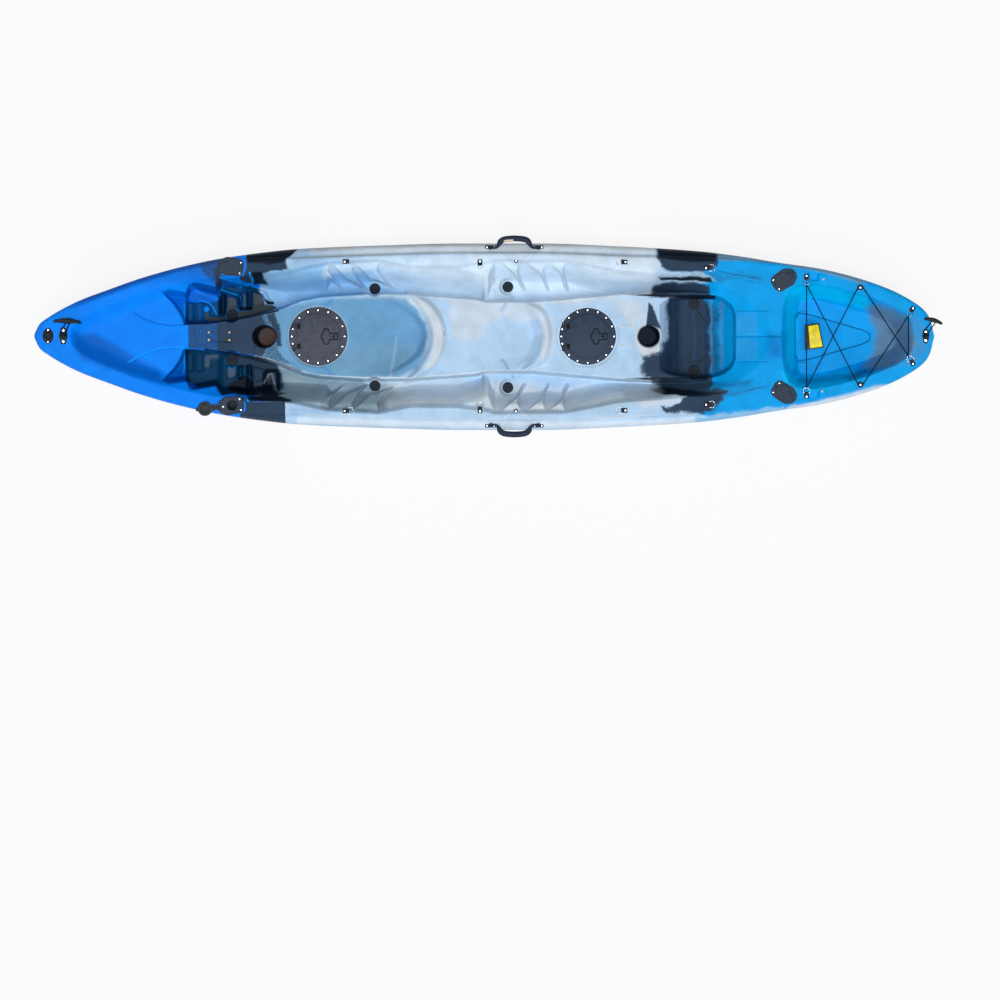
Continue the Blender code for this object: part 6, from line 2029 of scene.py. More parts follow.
@dataclass
class Hatch:
    """A round hatch: the bolted ring, the hinged lid with its seal, and the T-shaped latch."""

    end: str
    station: float
    finish: str
    flange: float = 0.125
    spread: float = 0.0
    clear: float = 0.093
    neck: float = 0.0985
    thickness: float = 0.007
    bolt_circle: float = 0.1163
    bolts: int = 16
    lid_thickness: float = 0.012
    hinge_x: float = -0.1055
    hinge_rise: float = 0.0055
    barrel_y: float = 0.044

    def build(self, finishes: Finishes) -> None:
        """Makes the ring, the lid and the latch.

        Args:
            finishes: The boat's finishes.
        """
        base = at(self.station - ORIGIN_STATION, 0.0, LINES.hatch_seat(self.station) + GAP)
        plastic = getattr(finishes, self.finish)
        top = self.thickness
        rim = self.flange + self.spread
        ring = Part(f"{self.end}_hatch_ring")
        profile = [
            (self.clear, top), (self.clear + 0.0015, top + 0.0004), (0.1010, top), (rim - 0.004, top),
            (rim - 0.0012, top - 0.0012), (rim, top - 0.0036), (rim, 0.0),
            (self.neck, 0.0), (self.neck, -0.022), (self.clear, -0.022),
        ]
        ring.turned(profile, 96)
        for k in range(self.bolts):
            turn = 2 * math.pi * (k + {7: 0.29, 9: -0.29}.get(k, 0.0)) / self.bolts
            spot = at(self.bolt_circle * math.cos(turn), self.bolt_circle * math.sin(turn), top)
            ring.turned(mm("6.6,0 6.6,0.6 0,0.6"), 20, spot, 2)
            ring.screw(spot @ at(0, 0, 0.0006), 0.0046, 0.0022)
        height = top + self.hinge_rise
        lug = rounded(mm("-4.5,-5.5 4.5,-5.5 4.5,4.5 -4.5,4.5"), 0.0035)
        for sign in (1, -1):
            y = sign * (self.barrel_y + 0.0075 + 0.003)
            ear = at(self.hinge_x, y, height) @ spin(math.pi / 2, "X")
            ring.plate(lug, -0.003, 0.003, 0.0008, ear)
            # A dark plate on the ring under each ear is painted shadow.
            shade_plate = rounded(oblong(-0.1130, y - 0.0100, -0.0992, y + 0.0070), 0.0025)
            ring.plate(shade_plate, top - 0.0004, top + 0.0006, 0.0, None, 2)
            pin = at(self.hinge_x, sign * 0.0525, height) @ spin(math.pi / 2, "X")
            ring.turned(mm("0,6 2.2,6 2.2,-6 0,-6"), 14, pin, 1)
        ring.publish([plastic, finishes.steel, finishes.seal], "boat", base, [f"hatch_ring_{self.end}"])
        self.build_lid(finishes, plastic, base)
        self.build_latch(finishes, plastic, base)

    def build_lid(self, finishes: Finishes, plastic: bpy.types.Material, base: Matrix) -> None:
        """Makes the lid with its recess for the latch, its hinge barrels and its seal.

        Args:
            finishes: The boat's finishes.
            plastic: The hatch's finish.
            base: Where its flat lies.
        """
        low = self.thickness + GAP
        high = low + self.lid_thickness
        lid = Part(f"{self.end}_hatch_lid")
        rim = mm("0,0 94.5,0 97.5,-1 98.5,-3.2", high)
        lid.turned([*rim, *mm("98.5,0 91,0 91,-14 85,-14 85,0 0,0", low)], 96)
        arm = rounded(
            ((self.hinge_x, -0.006), (-0.080, -0.0085), (-0.080, 0.0085), (self.hinge_x, 0.006)), 0.002,
        )
        shade = rounded(mm("-93.5,-11 -77.5,-12.5 -77.5,12.5 -93.5,11"), 0.003)
        for sign in (1, -1):
            aside = at(0, sign * self.barrel_y, 0)
            barrel = aside @ at(self.hinge_x, 0, self.thickness + self.hinge_rise) @ spin(math.pi / 2, "X")
            lid.turned(mm("0,7 3.8,7 4.5,6.2 4.5,-6.2 3.8,-7 0,-7"), 20, barrel)
            lid.plate(arm, low + 0.001, high + 0.0008, 0.0010, aside)
            lid.plate(shade, high - 0.0004, high + 0.0004, 0.0, aside, 1)
        node = f"hatch_lid_{self.end}"
        piece = lid.publish([plastic, finishes.seal], node, base, [node])
        cutter = Part("latch_recess")
        cutter.plate(inset_outline(self.latch_outline(), -0.0044), high - 0.0075, high + 0.01, 0.0)
        carve(piece, cutter, base)
        # The black plate on the recess's floor is painted shade in the recess; the plastic block at its end is
        # part of the lid.
        shade_plate = Part(f"{self.end}_latch_shade")
        shade_plate.plate(inset_outline(self.latch_outline(), -0.0040), high - 0.0074, high - 0.0066, 0.0)
        shade_plate.plate(oblong(0.0736, -0.0118, 0.0838, 0.0118), high - 0.0070, high - 0.0008, 0.0010, None, 1)
        shade_plate.publish([finishes.seal, plastic], node, base)
        seal = Part(f"{self.end}_hatch_seal")
        seal.turned(mm("91.2,-1 92.4,-1 92.4,-4 91.2,-4", low), 64)
        seal.publish([finishes.seal], node, base, ())

    @staticmethod
    def latch_outline() -> Outline:
        """The outline of the latch's bed, a T with round ends to its bar.

        Returns:
            The outline.
        """
        return mirrored(mm(
            "83.8,12 51,12 47.8,18 44.5,28.5 40,32 34,32.5 28.5,30 26.2,24 24,15 18.5,10.5 16.5,6"
        ))

    def build_latch(self, finishes: Finishes, plastic: bpy.types.Material, base: Matrix) -> None:
        """Makes the latch in its recess.

        Args:
            finishes: The boat's finishes.
            plastic: The hatch's finish.
            base: Where its flat lies.
        """
        low = self.thickness + GAP + self.lid_thickness - 0.006
        latch = Part(f"{self.end}_hatch_latch")
        outline = [(min(x, 0.0702), y) for x, y in self.latch_outline()]
        latch.plate(outline, low, low + 0.0054, 0.0012)
        spot = at(0.0660, 0.0, low + 0.0004)
        latch.turned(mm("0,5.6 3.4,5.6 4,5 4,4.6 0,4.6"), 20, spot, 1)
        node = f"hatch_latch_{self.end}"
        latch.publish([plastic, finishes.seal], node, base, [node])


def carve(piece: bpy.types.Object, cutter: Part, matrix: Matrix) -> None:
    """Cuts a part out of a piece.

    Args:
        piece: The piece to cut.
        cutter: The part to take away.
        matrix: Where the cutter goes.
    """
    bmesh.ops.recalc_face_normals(cutter.bm, faces=cutter.bm.faces)
    mesh = bpy.data.meshes.new(cutter.name)
    cutter.bm.to_mesh(mesh)
    cutter.bm.free()
    mesh.transform(matrix)
    tool = placed(cutter.name, mesh)
    cut = piece.modifiers.new("cut", "BOOLEAN")
    cut.operation = "DIFFERENCE"
    cut.solver = "EXACT"
    cut.object = tool
    bpy.context.view_layer.update()
    graph = bpy.context.evaluated_depsgraph_get()
    made = bpy.data.meshes.new_from_object(piece.evaluated_get(graph))
    piece.modifiers.remove(cut)
    piece.data = made
    bpy.data.objects.remove(tool, do_unlink=True)


@dataclass
class RodHolder:
    """A flush rod holder with its tube, screws and tethered cap."""

    label: str
    place: Matrix
    is_open: bool
    thickness: float = 0.005
    bore: float = 0.022
    tube_length: float = 0.150
    hinge: float = 0.060

    def build(self, finishes: Finishes) -> None:
        """Makes the holder and its cap.

        Args:
            finishes: The boat's finishes.
        """
        top = GAP + self.thickness
        holder = Part(f"rod_holder_{self.label}_flange")
        holder.lofted(self.shell_rings(top))
        for x, y in ((-0.036, 0.024), (-0.036, -0.024), (0.040, 0.0)):
            spot = at(x, y, top - (0.0014 if x > 0 else 0.0002))
            if self.is_open or x < 0:
                holder.screw(spot, 0.0040, 0.0016)
        for sign in (1, -1):
            ear = at(self.hinge, sign * 0.0115, top + 0.0027) @ spin(math.pi / 2, "X")
            holder.plate(rounded(mm("-3,-4.5 3,-4.5 3,3 -3,3"), 0.0022), -0.002, 0.002, 0.0005, ear)
        holder.publish([finishes.holder, finishes.steel], "boat", self.place, [f"rod_holder_{self.label}"])
        self.build_cap(finishes, top)

    def shell_rings(self, top: float) -> list[list[Vector]]:
        """Rings from the tube's floor up its bore, over the flange and down the outside.

        Args:
            top: Height of the flange's top.

        Returns:
            The rings, with a point at each of the same angles.
        """
        outline = rounded(mm("-51,-37 28,-42 64,-20 64,20 28,42 -51,37"), 0.025)
        around = turns(72)
        reach = np.array([self.ray(outline, turn) for turn in around])
        bore, outer = self.bore, self.bore + 0.004
        floor = top - self.tube_length
        levels = (
            (bore, floor + 0.004), (bore, top - 0.0015), (bore + 0.0008, top), (bore + 0.0042, top),
            (bore + 0.0056, top - 0.0010), (reach - 0.0070, top - 0.0008), (reach - 0.0060, top),
            (reach - 0.0022, top), (reach - 0.0006, top - 0.0008), (reach, top - 0.0022), (reach, GAP),
            (outer, GAP), (outer, floor),
        )
        rings = []
        for radius, z in levels:
            x, y = radius * np.cos(around), radius * np.sin(around)
            rings.append([Vector((a, b, z)) for a, b in zip(x, y)])
        return rings

    @staticmethod
    def ray(outline: Outline, turn: float) -> float:
        """How far an outline lies from its middle in one direction.

        Args:
            outline: The outline.
            turn: The direction.

        Returns:
            The distance.
        """
        ahead = Vector((math.cos(turn), math.sin(turn)))
        best = 0.0
        for first, second in zip(outline, [*outline[1:], outline[0]]):
            side = Vector(second) - Vector(first)
            across = ahead.x * side.y - ahead.y * side.x
            if abs(across) < 1e-12:
                continue
            start = Vector(first)
            share = (ahead.y * start.x - ahead.x * start.y) / across
            if -1e-9 <= share <= 1 + 1e-9:
                best = max(best, ahead.dot(start + side * share))
        return best

    def build_cap(self, finishes: Finishes, top: float) -> None:
        """Makes the cap on its strap.

        Args:
            finishes: The boat's finishes.
            top: Height of the flange's top.
        """
        low = top + GAP
        cap = Part(f"rod_holder_{self.label}_cap")
        cap.turned(
            mm(
                "0,3 17.5,3 19,4.1 30,4.1 31.6,3 32,1.2 31.4,0 20,0 19.8,-3.5 20.4,-4.5 18.8,-8 "
                "16,-8 15.5,-1.5 0,-1.5",
                low,
            ),
            40,
        )
        wide = 0.0150 if self.is_open else 0.0290
        strap = mirrored(((0.016, wide), (0.030, 0.5 * wide + 0.006), (0.0595, 0.0105)))
        cap.plate(strap, low + 0.0003, low + 0.0030, 0.0009)
        tab = rounded(mm("-41.5,-5 -24,-12 -24,12 -41.5,5"), 0.0032)
        cap.plate(tab, low + 0.0004, low + 0.0030, 0.0008)
        knuckle = at(self.hinge, 0.0, low + 0.0024) @ spin(math.pi / 2, "X")
        cap.turned(mm("0,8.8 2,8.8 2.4,8.4 2.4,-8.4 2,-8.8 0,-8.8"), 16, knuckle)
        cap.turned(mm("0,12.2 1.1,12.2 1.1,-12.2 0,-12.2"), 10, knuckle, 1)
        for k in (-1, 0, 1):
            rib = oblong(-0.013, k * 0.006 - 0.0011, 0.013, k * 0.006 + 0.0011)
            cap.plate(rib, low + 0.0024, low + 0.0040, 0.0006)
        place = self.place
        if self.is_open:
            axis = at(self.hinge, 0.0, low + 0.0024)
            place = place @ axis @ spin(math.radians(182.0), "Y") @ axis.inverted()
        node = f"rod_cap_{self.label}"
        plastic = finishes.black if self.is_open else finishes.holder
        cap.publish([plastic, finishes.steel], node, place, [node])


@dataclass
class ScupperPlug:
    """A rubber plug in its drain tube, with a lifting loop."""

    label: str
    station: float
    y: float
    floor: float
    tether: Outline = ()
    stem: Outline = mm(
        "0,3.6 10.8,3.6 12.4,5 15,5.4 19,5 22.5,3.8 24.4,1.8 24.4,0.4 23.4,0 17.5,0 17.2,-6 17.6,-9 16.6,-13 "
        "17,-16 15.8,-30 0,-30"
    )

    def build(self, finishes: Finishes) -> None:
        """Makes the tube's lining and the plug.

        Args:
            finishes: The boat's finishes.
        """
        floor = self.floor
        place = at(self.station - ORIGIN_STATION, self.y, floor + GAP)
        lining = Part(f"scupper_{self.label}_tube")
        bottom = 0.012 if 0.9 < self.station < 3.2 else 0.030
        lining.turned([*mm("18.5,-0.4 21.2,-0.6"), *mm("21.2,0 18.5,0", bottom - floor)], 36)
        piece = lining.publish([finishes.marble], "boat", place, ())
        paint(piece.data)
        plug = Part(f"scupper_{self.label}_plug")
        plug.turned(self.stem, 44)
        half_turn = np.linspace(0.0, math.pi, 13)
        loop = [Vector((0.0085 * math.cos(a), 0.0, 0.0040 + 0.0034 * math.sin(a))) for a in half_turn]
        plug.tube(loop, 0.0014, 8)
        name = f"scupper_plug_{self.label}"
        plug.publish([finishes.rubber], name, place, [name])
        if self.tether:
            points = [Vector((Plan.x(c), Plan.y(r), floor + 0.0022)) for c, r in self.tether]
            strap = Part(f"scupper_{self.label}_strap")
            strap.tube(faired(points), 0.0026, 10, flat=0.45)
            anchor = Matrix.Translation(points[-1] - Vector((0, 0, 0.0018)))
            strap.turned(mm("0,3.4 4.8,3 6,1.6 6,0 0,0"), 24, anchor)
            strap.publish([finishes.rubber], name, None, ())


@dataclass
class CarryHandle:
    """A carry handle at the side, on its two brackets."""

    side: str
    sign: int
    half_span: float = 0.1035
    reach: float = 0.0425

    def build(self, finishes: Finishes) -> None:
        """Makes the grip, with an inlay on the starboard one only, and its brackets.

        Args:
            finishes: The boat's finishes.
        """
        station = HANDLE_STATION
        y = float(LINES.half(station)) - 0.022
        ledge = float(LINES.top(station)) - LEDGE_DROP - 0.004 - 0.006
        axis = at(station - ORIGIN_STATION, self.sign * y, ledge + 0.007)
        steps, sides = 44, 20
        rings, spine = [], []
        arch = through(path("0,1 0.3,0.95 0.52,0.82 0.62,0.58 0.72,0.14 0.8,0 1,0"), 1)
        for k in range(steps + 1):
            along = 2 * k / steps - 1
            rise = float(arch(abs(along)))
            slope = float(arch(abs(along + 0.01)) - arch(abs(along - 0.01))) / 0.02
            across = Vector((-slope * self.reach / self.half_span, 1.0, 0.0)).normalized()
            grow = min(1.0, 1.6 * rise)
            spine.append(Vector((along * self.half_span, self.reach * rise, 0.0)))
            rings.append((spine[-1], across, 0.0050 + grow * 0.0085, 0.0045 + grow * 0.0022))
        square_on = Vector((0.0, 1.0, 0.0))
        tip = Vector((self.half_span + 0.012, 0.0, 0.0))
        rings = [(-tip, square_on, 0.0045, 0.0045), *rings, (tip, square_on, 0.0045, 0.0045)]
        loops = []
        for number, (center, across, wide, high) in enumerate(rings):
            ridge = 1.0 + (0.06 if 12 < number < len(rings) - 13 and number % 2 else 0.0)
            loop = []
            for c, d in circle(1.0, sides):
                square = 0.94 / max(abs(c), abs(d)) ** 0.35
                point = center + across * (wide * c * square * ridge)
                loop.append(Vector((point.x, self.sign * point.y, high * d * square)))
            loops.append(loop)
        grip = Part(f"carry_handle_{self.side}_grip")
        grip.lofted(loops)
        if self.sign > 0:
            inlay = [Vector((p.x, p.y - 0.0075, 0.0052)) for p in spine if abs(p.x + 0.026) < 0.024]
            grip.tube(inlay, 0.0040, 10, flat=0.35, tone=1)
        node = f"side_handle_{self.side}"
        grip.publish([finishes.handle, finishes.cream], node, axis, [node])
        bracket = Part(f"carry_handle_{self.side}_brackets")
        for end in (-1, 1):
            foot = rounded(oblong(end * 0.080, -0.005, end * 0.1290, 0.0120), 0.005)
            foot = [(x, self.sign * across) for x, across in foot]
            bracket.plate(foot, -0.0070, -0.0050, 0.0008)
            sleeve = at(end * 0.1055, 0.0, 0.0) @ spin(math.pi / 2, "Y")
            bracket.turned(mm("4.9,-7 6.6,-7 7.2,-6 7.2,6 6.6,7 4.9,7"), 28, sleeve)
            half = 0.0062 * self.sign
            bracket.plate(oblong(end * 0.0985, -half, end * 0.1125, half), -0.0056, -0.001, 0.0004)
            for along in (0.0900, 0.1205):
                bracket.screw(at(end * along, 0.0040 * self.sign, -0.0050), 0.0040, 0.0018)
        bracket.publish([finishes.handle, finishes.steel], "boat", axis)


@dataclass
class TowingHandle:
    """A towing handle: the eye bolted to the deck and the T-bar on its cord."""

    end: str
    station: float
    length: float
    reach: float
    shift: float
    skew: float
    eye: tuple[float, float]
    waist: float
    girth: float = 1.2

    def build(self, finishes: Finishes) -> None:
        """Makes the eye and the bar, and dresses the cord.

        Args:
            finishes: The boat's finishes.
        """
        base = LINES.on_deck(self.station, 0.0)
        half_x, half_y = self.eye
        corners = path("-0.5,-1 0.5,-1 1,0 0.5,1 -0.5,1 -1,0")
        outline = rounded([(x * half_x, y * half_y) for x, y in corners], 0.0065)
        eye = Part(f"{self.end}_pad_eye")
        eye.plate(outline, GAP, 0.004, 0.0013)
        loops = []
        for turn in np.linspace(0.0, math.pi, 19):
            point = Vector((0.0, 0.0088 * math.cos(turn), 0.0030 + 0.0104 * math.sin(turn) ** 0.8))
            out = Vector((0.0, point.y, point.z - 0.003)).normalized()
            wide = 0.0068 - 0.0012 * math.sin(turn)
            loops.append([point + Vector((wide * c, 0, 0)) + out * 0.0026 * d for c, d in circle(1.0, 16)])
        eye.lofted(loops)
        for sign in (1, -1):
            spot = at(0.0, sign * (half_y - 0.0125), 0.0040)
            eye.turned(mm("5,0 5,0.7 0,0.7"), 24, spot, 1)
            eye.screw(spot @ at(0, 0, 0.0007), 0.0044, 0.0022)
        eye.publish([finishes.black, finishes.steel], "boat", base, [f"pad_eye_{self.end}"])
        self.build_bar(finishes, base)
        dress(f"tow_cord_{self.end}", finishes.cord)

    def build_bar(self, finishes: Finishes, base: Matrix) -> None:
        """Makes the bar with its waist and rounded ends.

        Args:
            finishes: The boat's finishes.
            base: Where the eye's foot lies.
        """
        axis_height = 0.0068
        skew = math.radians(self.skew)
        middle = Vector((self.shift, self.reach, self.girth * self.waist + 2 * GAP - axis_height))
        along = Vector((math.cos(skew), math.sin(skew), 0.0))
        aside = Vector((-along.y, along.x, 0.0))
        loops = []
        steps, sides = 40, 22
        for k in range(steps + 1):
            share = math.sin(0.5 * math.pi * (2 * k / steps - 1))
            tip = math.sqrt(max(0.0, 1 - abs(share) ** 7))
            swell = (self.waist - 0.0064) * math.exp(-(share * 2.6) ** 2)
            radius = self.girth * (0.0064 + swell) * max(tip, 0.16)
            center = middle + along * share * self.length / 2 - aside * 0.006 * share * share
            loops.append([center + aside * x + Vector((0, 0, 0.94 * z)) for x, z in circle(radius, sides)])
        bar = Part(f"{self.end}_tow_bar")
        bar.lofted(loops)
        for sign in (1, -1):
            spot = middle + along * sign * 0.0085 - aside * 0.0072
            turn = Matrix.Translation(spot) @ spin(skew, "Z") @ spin(math.pi / 2, "X")
            bar.turned(mm("2.6,-1 4,-1 4.4,0.4 2.6,0.6"), 18, turn)
        hinge = base @ at(0, 0, axis_height)
        node = f"toggle_{self.end}"
        bar.publish([finishes.black], node, hinge, [node])


@dataclass
class LashingRing:
    """A wire ring under its screwed saddle."""

    label: str
    place: Matrix
    angle: float
    free: bool
    offset: float = 0.009
    radius: float = 0.015
    wire: float = 0.0014
    bar_height: float = 0.0036
    saddle: Outline = mm(
        "-23,0.3 3.8,0.3 4.6,1.8 4.6,4 3.6,6 1.2,6.8 -1.4,6.8 -4.8,6.2 -7.8,4.6 -10,4.2 -22,4.2 -23,3.4"
    )

    def build(self, finishes: Finishes) -> None:
        """Makes the saddle with its screw, and the ring.

        Args:
            finishes: The boat's finishes.
        """
        saddle = Part(f"lashing_saddle_{self.label}")
        loops = []
        for y, grow in path("-0.01,0.86 -0.0094,0.97 -0.0082,1 0.0082,1 0.0094,0.97 0.01,0.86"):
            stretch = 0.94 + 0.06 * grow
            loops.append([
                Vector((-0.009 + (x + 0.009) * stretch, y, max(GAP, z * grow))) for x, z in self.saddle
            ])
        saddle.lofted(loops)
        spot = at(-0.0150, 0.0, 0.0042)
        saddle.screw(spot, 0.0053, 0.0028)
        saddle.publish(
            [finishes.black, finishes.steel], "boat", self.place, [f"saddle_{self.label}"], crease=40.0,
        )
        spread = math.acos(-self.offset / self.radius)
        points = [
            Vector((self.offset + self.radius * math.cos(t), self.radius * math.sin(t), 0.0))
            for t in np.linspace(-spread, spread, 40)
        ]
        lift = at(0, 0, self.bar_height) @ spin(-self.angle, "Y")
        ring = Part(f"lashing_ring_{self.label}")
        ring.tube(points, self.wire, 12, closed=True)
        node = f"d_ring_{self.label}"
        body = node if self.free else "boat"
        ring.publish([finishes.steel], body, self.place @ lift, [node])


@dataclass
class TankwellLacing:
    """What holds the load in the tankwell: the bungee, its knobs and the bare yellow tab."""

    knob: Outline = mm(
        "0,13.8 5.2,13.8 5.6,15 9.2,15 11.6,13.8 12.5,12.2 11.8,10.6 10.5,10.3 6.2,10 6,4 7.2,1.2 7.4,0.3 0,0.3"
    )
    stud_rows: tuple = (328.0, 336.0, 345.0)
    clip_rows: tuple = (350.0, 325.0)

    def build(self, finishes: Finishes) -> None:
        """Makes the knobs and the tab, and dresses the bungee.

        Args:
            finishes: The boat's finishes.
        """
        dress("bungee", finishes.cord)
        for side, sign in SIDES:
            y = sign * (float(LINES.corner_rim(KNOB_STATION)) - KNOB_INSET)
            knob = Part(f"bungee_knob_{side}")
            knob.turned(self.knob, 32)
            knob.screw(at(0, 0, 0.0138), 0.0046, 0.0018)
            place = LINES.on_deck(KNOB_STATION, y)
            knob.publish([finishes.black, finishes.steel], "boat", place, [f"knob_{side}"])
        self.build_tab(finishes)

    def build_tab(self, finishes: Finishes) -> None:
        """Makes the yellow tab and the clip that holds it to the bungee's front strand.

        Args:
            finishes: The boat's finishes.
        """
        strand_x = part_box("bungee")[0].x + 0.0025
        strand_z = float(LINES.top(3.393)) + 0.0036 + 0.024 * math.sin(math.radians(8.0)) - 0.0042
        tab = Part("yellow_tab")
        for corners, radius, low, high, edge, tone in (
            ("807,325 818.6,322.9 823.7,347.6 808.8,349.8", 0.003, -0.0055, -0.0038, 0.0005, 1),
            ("808,326.2 817.8,324.5 822.4,346.6 809.8,348.5", 0.002, -0.0040, -0.0030, 0.0004, 0),
        ):
            outline = rounded([(Plan.x(c), Plan.y(r)) for c, r in path(corners)], radius)
            tab.plate(outline, strand_z + low, strand_z + high, edge, None, tone)
        port, starboard = map(Plan.y, self.clip_rows)
        clip = rounded(oblong(strand_x - 0.007, port, strand_x + 0.009, starboard), 0.004)
        tab.plate(clip, strand_z - 0.0046, strand_z + 0.0030, 0.0012, None, 1)
        for row in self.stud_rows:
            stud = at(strand_x + 0.001, Plan.y(row), strand_z + 0.0026)
            tab.turned(mm("0,4 5.8,3.6 7,1.8 7,0 0,0"), 22, stud, 1)
        tab.publish([finishes.yellow, finishes.black], "boat", None)


@dataclass
class DrainFitting:
    """The drain's oval flange and its screwed plug."""

    half_length: float = 0.0245
    half_width: float = 0.0335
    screw_reach: float = 0.0262
    thread: Outline = mm(
        "0,5.2 12.5,5.2 14.5,6.4 15.8,5.6 16.5,4 16.5,0.3 10.8,0.3 10.8,-3 10,-4 10.8,-6 10,-8 10.8,-10 10,-12 "
        "10.4,-16 0,-16"
    )

    def build(self, finishes: Finishes) -> None:
        """Makes the flange and the plug.

        Args:
            finishes: The boat's finishes.
        """
        place = LINES.on_deck(DRAIN_STATION, 0.0)
        flange = Part("drain_flange")
        oval = [(self.half_length * x, self.half_width * y) for x, y in circle(1.0, 48)]
        flange.plate(oval, -0.002, 0.00025, 0.0002)
        for sign in (1, -1):
            flange.screw(at(0.0, sign * self.screw_reach, 0.0002), 0.0042, 0.0020)
        flange.publish([finishes.black, finishes.steel], "boat", place)
        plug = Part("drain_screw_plug")
        plug.turned(self.thread, 40)
        grip = rounded(mm("-3,-13.2 3,-13.2 3,13.2 -3,13.2"), 0.0028)
        plug.plate(grip, 0.0045, 0.0122, 0.0012)
        plug.publish([finishes.black], "drain_plug", place, ["drain_plug"])


@dataclass
class SmallHardware:
    """Brass inserts for gear and the paddle buttons, at points of the plan."""

    inserts: Outline = path(
        "208.8,332.4 229.3,332.4 208.8,340.1 229.3,340.1 622.3,326.4 629.7,326.4 622.3,344.6 629.5,344.9 "
        "823.2,279.6 822,391.5"
    )
    buttons: Outline = ((516.4, 260.9), (515.8, 411.2))

    def build(self, finishes: Finishes) -> None:
        """Makes the inserts and the buttons.

        Args:
            finishes: The boat's finishes.
        """
        brass = Part("brass_inserts")
        for spot in self.spots(self.inserts):
            brass.turned(mm("0,-2 1.6,-2 1.6,0.8 4,0.8 4.6,0.2 4.6,-2"), 24, spot)
        brass.publish([finishes.brass], "boat")
        button = Part("paddle_buttons")
        for spot in self.spots(self.buttons):
            button.turned(mm("0,6.5 6,6.5 8.5,5.6 9.8,3.6 9.8,-1 0,-1"), 30, spot)
            button.screw(spot @ at(0, 0, 0.0064), 0.0050, 0.0024)
        button.publish([finishes.black, finishes.steel], "boat")

    @staticmethod
    def spots(points: Outline) -> list[Matrix]:
        """Places on the deck's skin at points of the plan."""
        x, y = np.array([(Plan.x(column), Plan.y(row)) for column, row in points]).T
        return [at(*spot) for spot in zip(x, y, DeckMoulding().height(x + ORIGIN_STATION, y))]


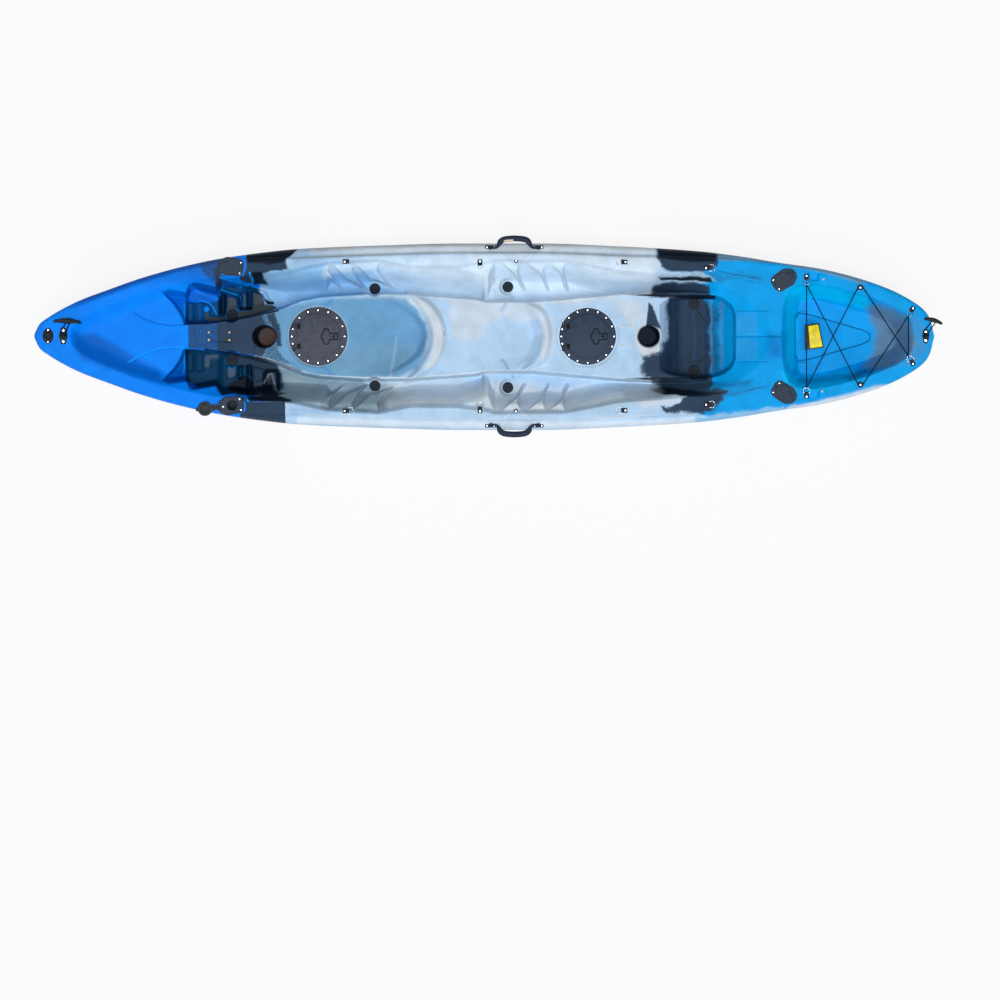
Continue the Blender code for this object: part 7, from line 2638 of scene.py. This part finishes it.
@dataclass
class Studio:
    """The floor, the lamps and the camera."""

    lens: float = 250.0
    sensor: float = 36.0
    frame_width: float = 4.406
    deck_level: float = 0.29
    aim: tuple[float, float] = (0.0479, -0.7213)
    high_level: float = 2.05
    port_level: float = 0.7
    sky: float = 0.22

    def build(self) -> None:
        """Sets the studio up."""
        self.add_camera()
        self.add_floor()
        self.add_lamp("high_lamp", 8.0, 24.0, self.high_level)
        self.add_lamp("port_lamp", 50.0, 50.0, self.port_level)
        self.add_world()
        view = bpy.context.scene.view_settings
        view.view_transform = "Standard"

    def add_camera(self) -> None:
        """Places the camera straight above the boat."""
        data = bpy.data.cameras.new("overhead")
        data.lens = self.lens
        data.sensor_width = self.sensor
        data.clip_end = 200.0
        camera = placed("overhead", data)
        camera.location = (*self.aim, self.deck_level + self.frame_width * self.lens / self.sensor)
        bpy.context.scene.camera = camera

    def add_floor(self) -> None:
        """Lays a pale floor that the camera sees nearly white, with the boat's soft shadow."""
        mesh = bpy.data.meshes.new("studio_floor")
        corners = [(x, y, -0.0006) for x, y in oblong(-30, -30, 30, 30)]
        mesh.from_pydata(corners, [], [(0, 1, 2, 3)])
        floor = placed("studio_floor", mesh)
        material = bpy.data.materials.new("studio_white")
        material.use_nodes = True
        tree = material.node_tree
        shader = tree.nodes["Principled BSDF"]
        shader.inputs["Base Color"].default_value = (0.80, 0.80, 0.80, 1.0)
        shader.inputs["Roughness"].default_value = 0.9
        glow = tree.nodes.new("ShaderNodeEmission")
        glow.inputs["Color"].default_value = (1.0, 1.0, 1.0, 1.0)
        glow.inputs["Strength"].default_value = 1.0
        rays = tree.nodes.new("ShaderNodeLightPath")
        seen = tree.nodes.new("ShaderNodeMath")
        seen.operation = "MAXIMUM"
        tree.links.new(rays.outputs["Is Camera Ray"], seen.inputs[0])
        tree.links.new(rays.outputs["Is Glossy Ray"], seen.inputs[1])
        share = tree.nodes.new("ShaderNodeMath")
        share.operation = "MULTIPLY"
        share.inputs[1].default_value = 0.86
        tree.links.new(seen.outputs[0], share.inputs[0])
        blend = tree.nodes.new("ShaderNodeMixShader")
        tree.links.new(share.outputs[0], blend.inputs[0])
        tree.links.new(shader.outputs[0], blend.inputs[1])
        tree.links.new(glow.outputs[0], blend.inputs[2])
        tree.links.new(blend.outputs[0], tree.nodes["Material Output"].inputs["Surface"])
        mesh.materials.append(material)

    @staticmethod
    def add_lamp(name: str, tilt: float, spread: float, level: float) -> None:
        """Hangs a wide, far-off lamp.

        Args:
            name: Its name.
            tilt: How far it stands to port of straight above, in degrees.
            spread: How wide it looks from the boat, in degrees.
            level: Its strength.
        """
        data = bpy.data.lights.new(name, "SUN")
        data.angle = math.radians(spread)
        data.energy = level
        lamp = placed(name, data)
        lamp.rotation_euler = (math.radians(tilt), 0.0, 0.0)

    def add_world(self) -> None:
        """Lights the room evenly, and shows it white to the camera."""
        world = bpy.data.worlds.new("studio_room")
        bpy.context.scene.world = world
        world.use_nodes = True
        tree = world.node_tree
        back = tree.nodes["Background"]
        back.inputs["Color"].default_value = (1.0, 1.0, 1.0, 1.0)
        rays = tree.nodes.new("ShaderNodeLightPath")
        level = tree.nodes.new("ShaderNodeMapRange")
        level.inputs["To Min"].default_value = self.sky
        level.inputs["To Max"].default_value = 1.0
        tree.links.new(rays.outputs["Is Camera Ray"], level.inputs["Value"])
        tree.links.new(level.outputs[0], back.inputs["Strength"])


FRAME: dict = {}


def ring_places() -> list[tuple[str, Matrix, float, bool]]:
    """Name, place, lift angle and freedom of every lashing ring.

    Returns:
        A row for each ring.
    """
    places = []
    for rows, angle, free in ((FREE_RINGS, -4.0, True), (BUNGEE_RINGS, 8.0, False)):
        for label, station, inset, heading in rows:
            for side, sign in SIDES:
                y = sign * (float(LINES.corner_rim(station)) - inset)
                matrix = LINES.on_deck(station, y, sign * math.radians(heading))
                places.append((f"{label}_{side}", matrix, math.radians(angle), free))
    return places


def main() -> None:
    """Builds the studio and every part of the boat, in order."""
    logging.basicConfig(level=logging.INFO, format="%(message)s")
    FRAME.update(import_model())
    Studio().build()
    finishes = Finishes()
    DeckMoulding().build(finishes)
    BottomMoulding().build(finishes)
    for (end, station), finish in zip(HATCHES, ("charcoal", "slate")):
        Hatch(end, station, finish, spread=0.004 if end == "front" else 0.0).build(finishes)
    for side, sign in SIDES:
        for end, station, y, heading in HOLDERS:
            matrix = LINES.on_deck(station, sign * y, sign * math.radians(heading))
            label = f"{end}_{side}"
            RodHolder(label, matrix, label == "bow_port").build(finishes)
        CarryHandle(side, sign).build(finishes)
        for name, station, y, floor in SCUPPERS:
            tether = TETHERS[side] if name == "rear" else ()
            ScupperPlug(f"{name}_{side}", station, sign * y, floor, tether).build(finishes)
    for label, matrix, angle, free in ring_places():
        LashingRing(label, matrix, angle, free).build(finishes)
    TankwellLacing().build(finishes)
    for row in TOWING:
        TowingHandle(*row).build(finishes)
    DrainFitting().build(finishes)
    SmallHardware().build(finishes)


if __name__ == "__main__":
    main()
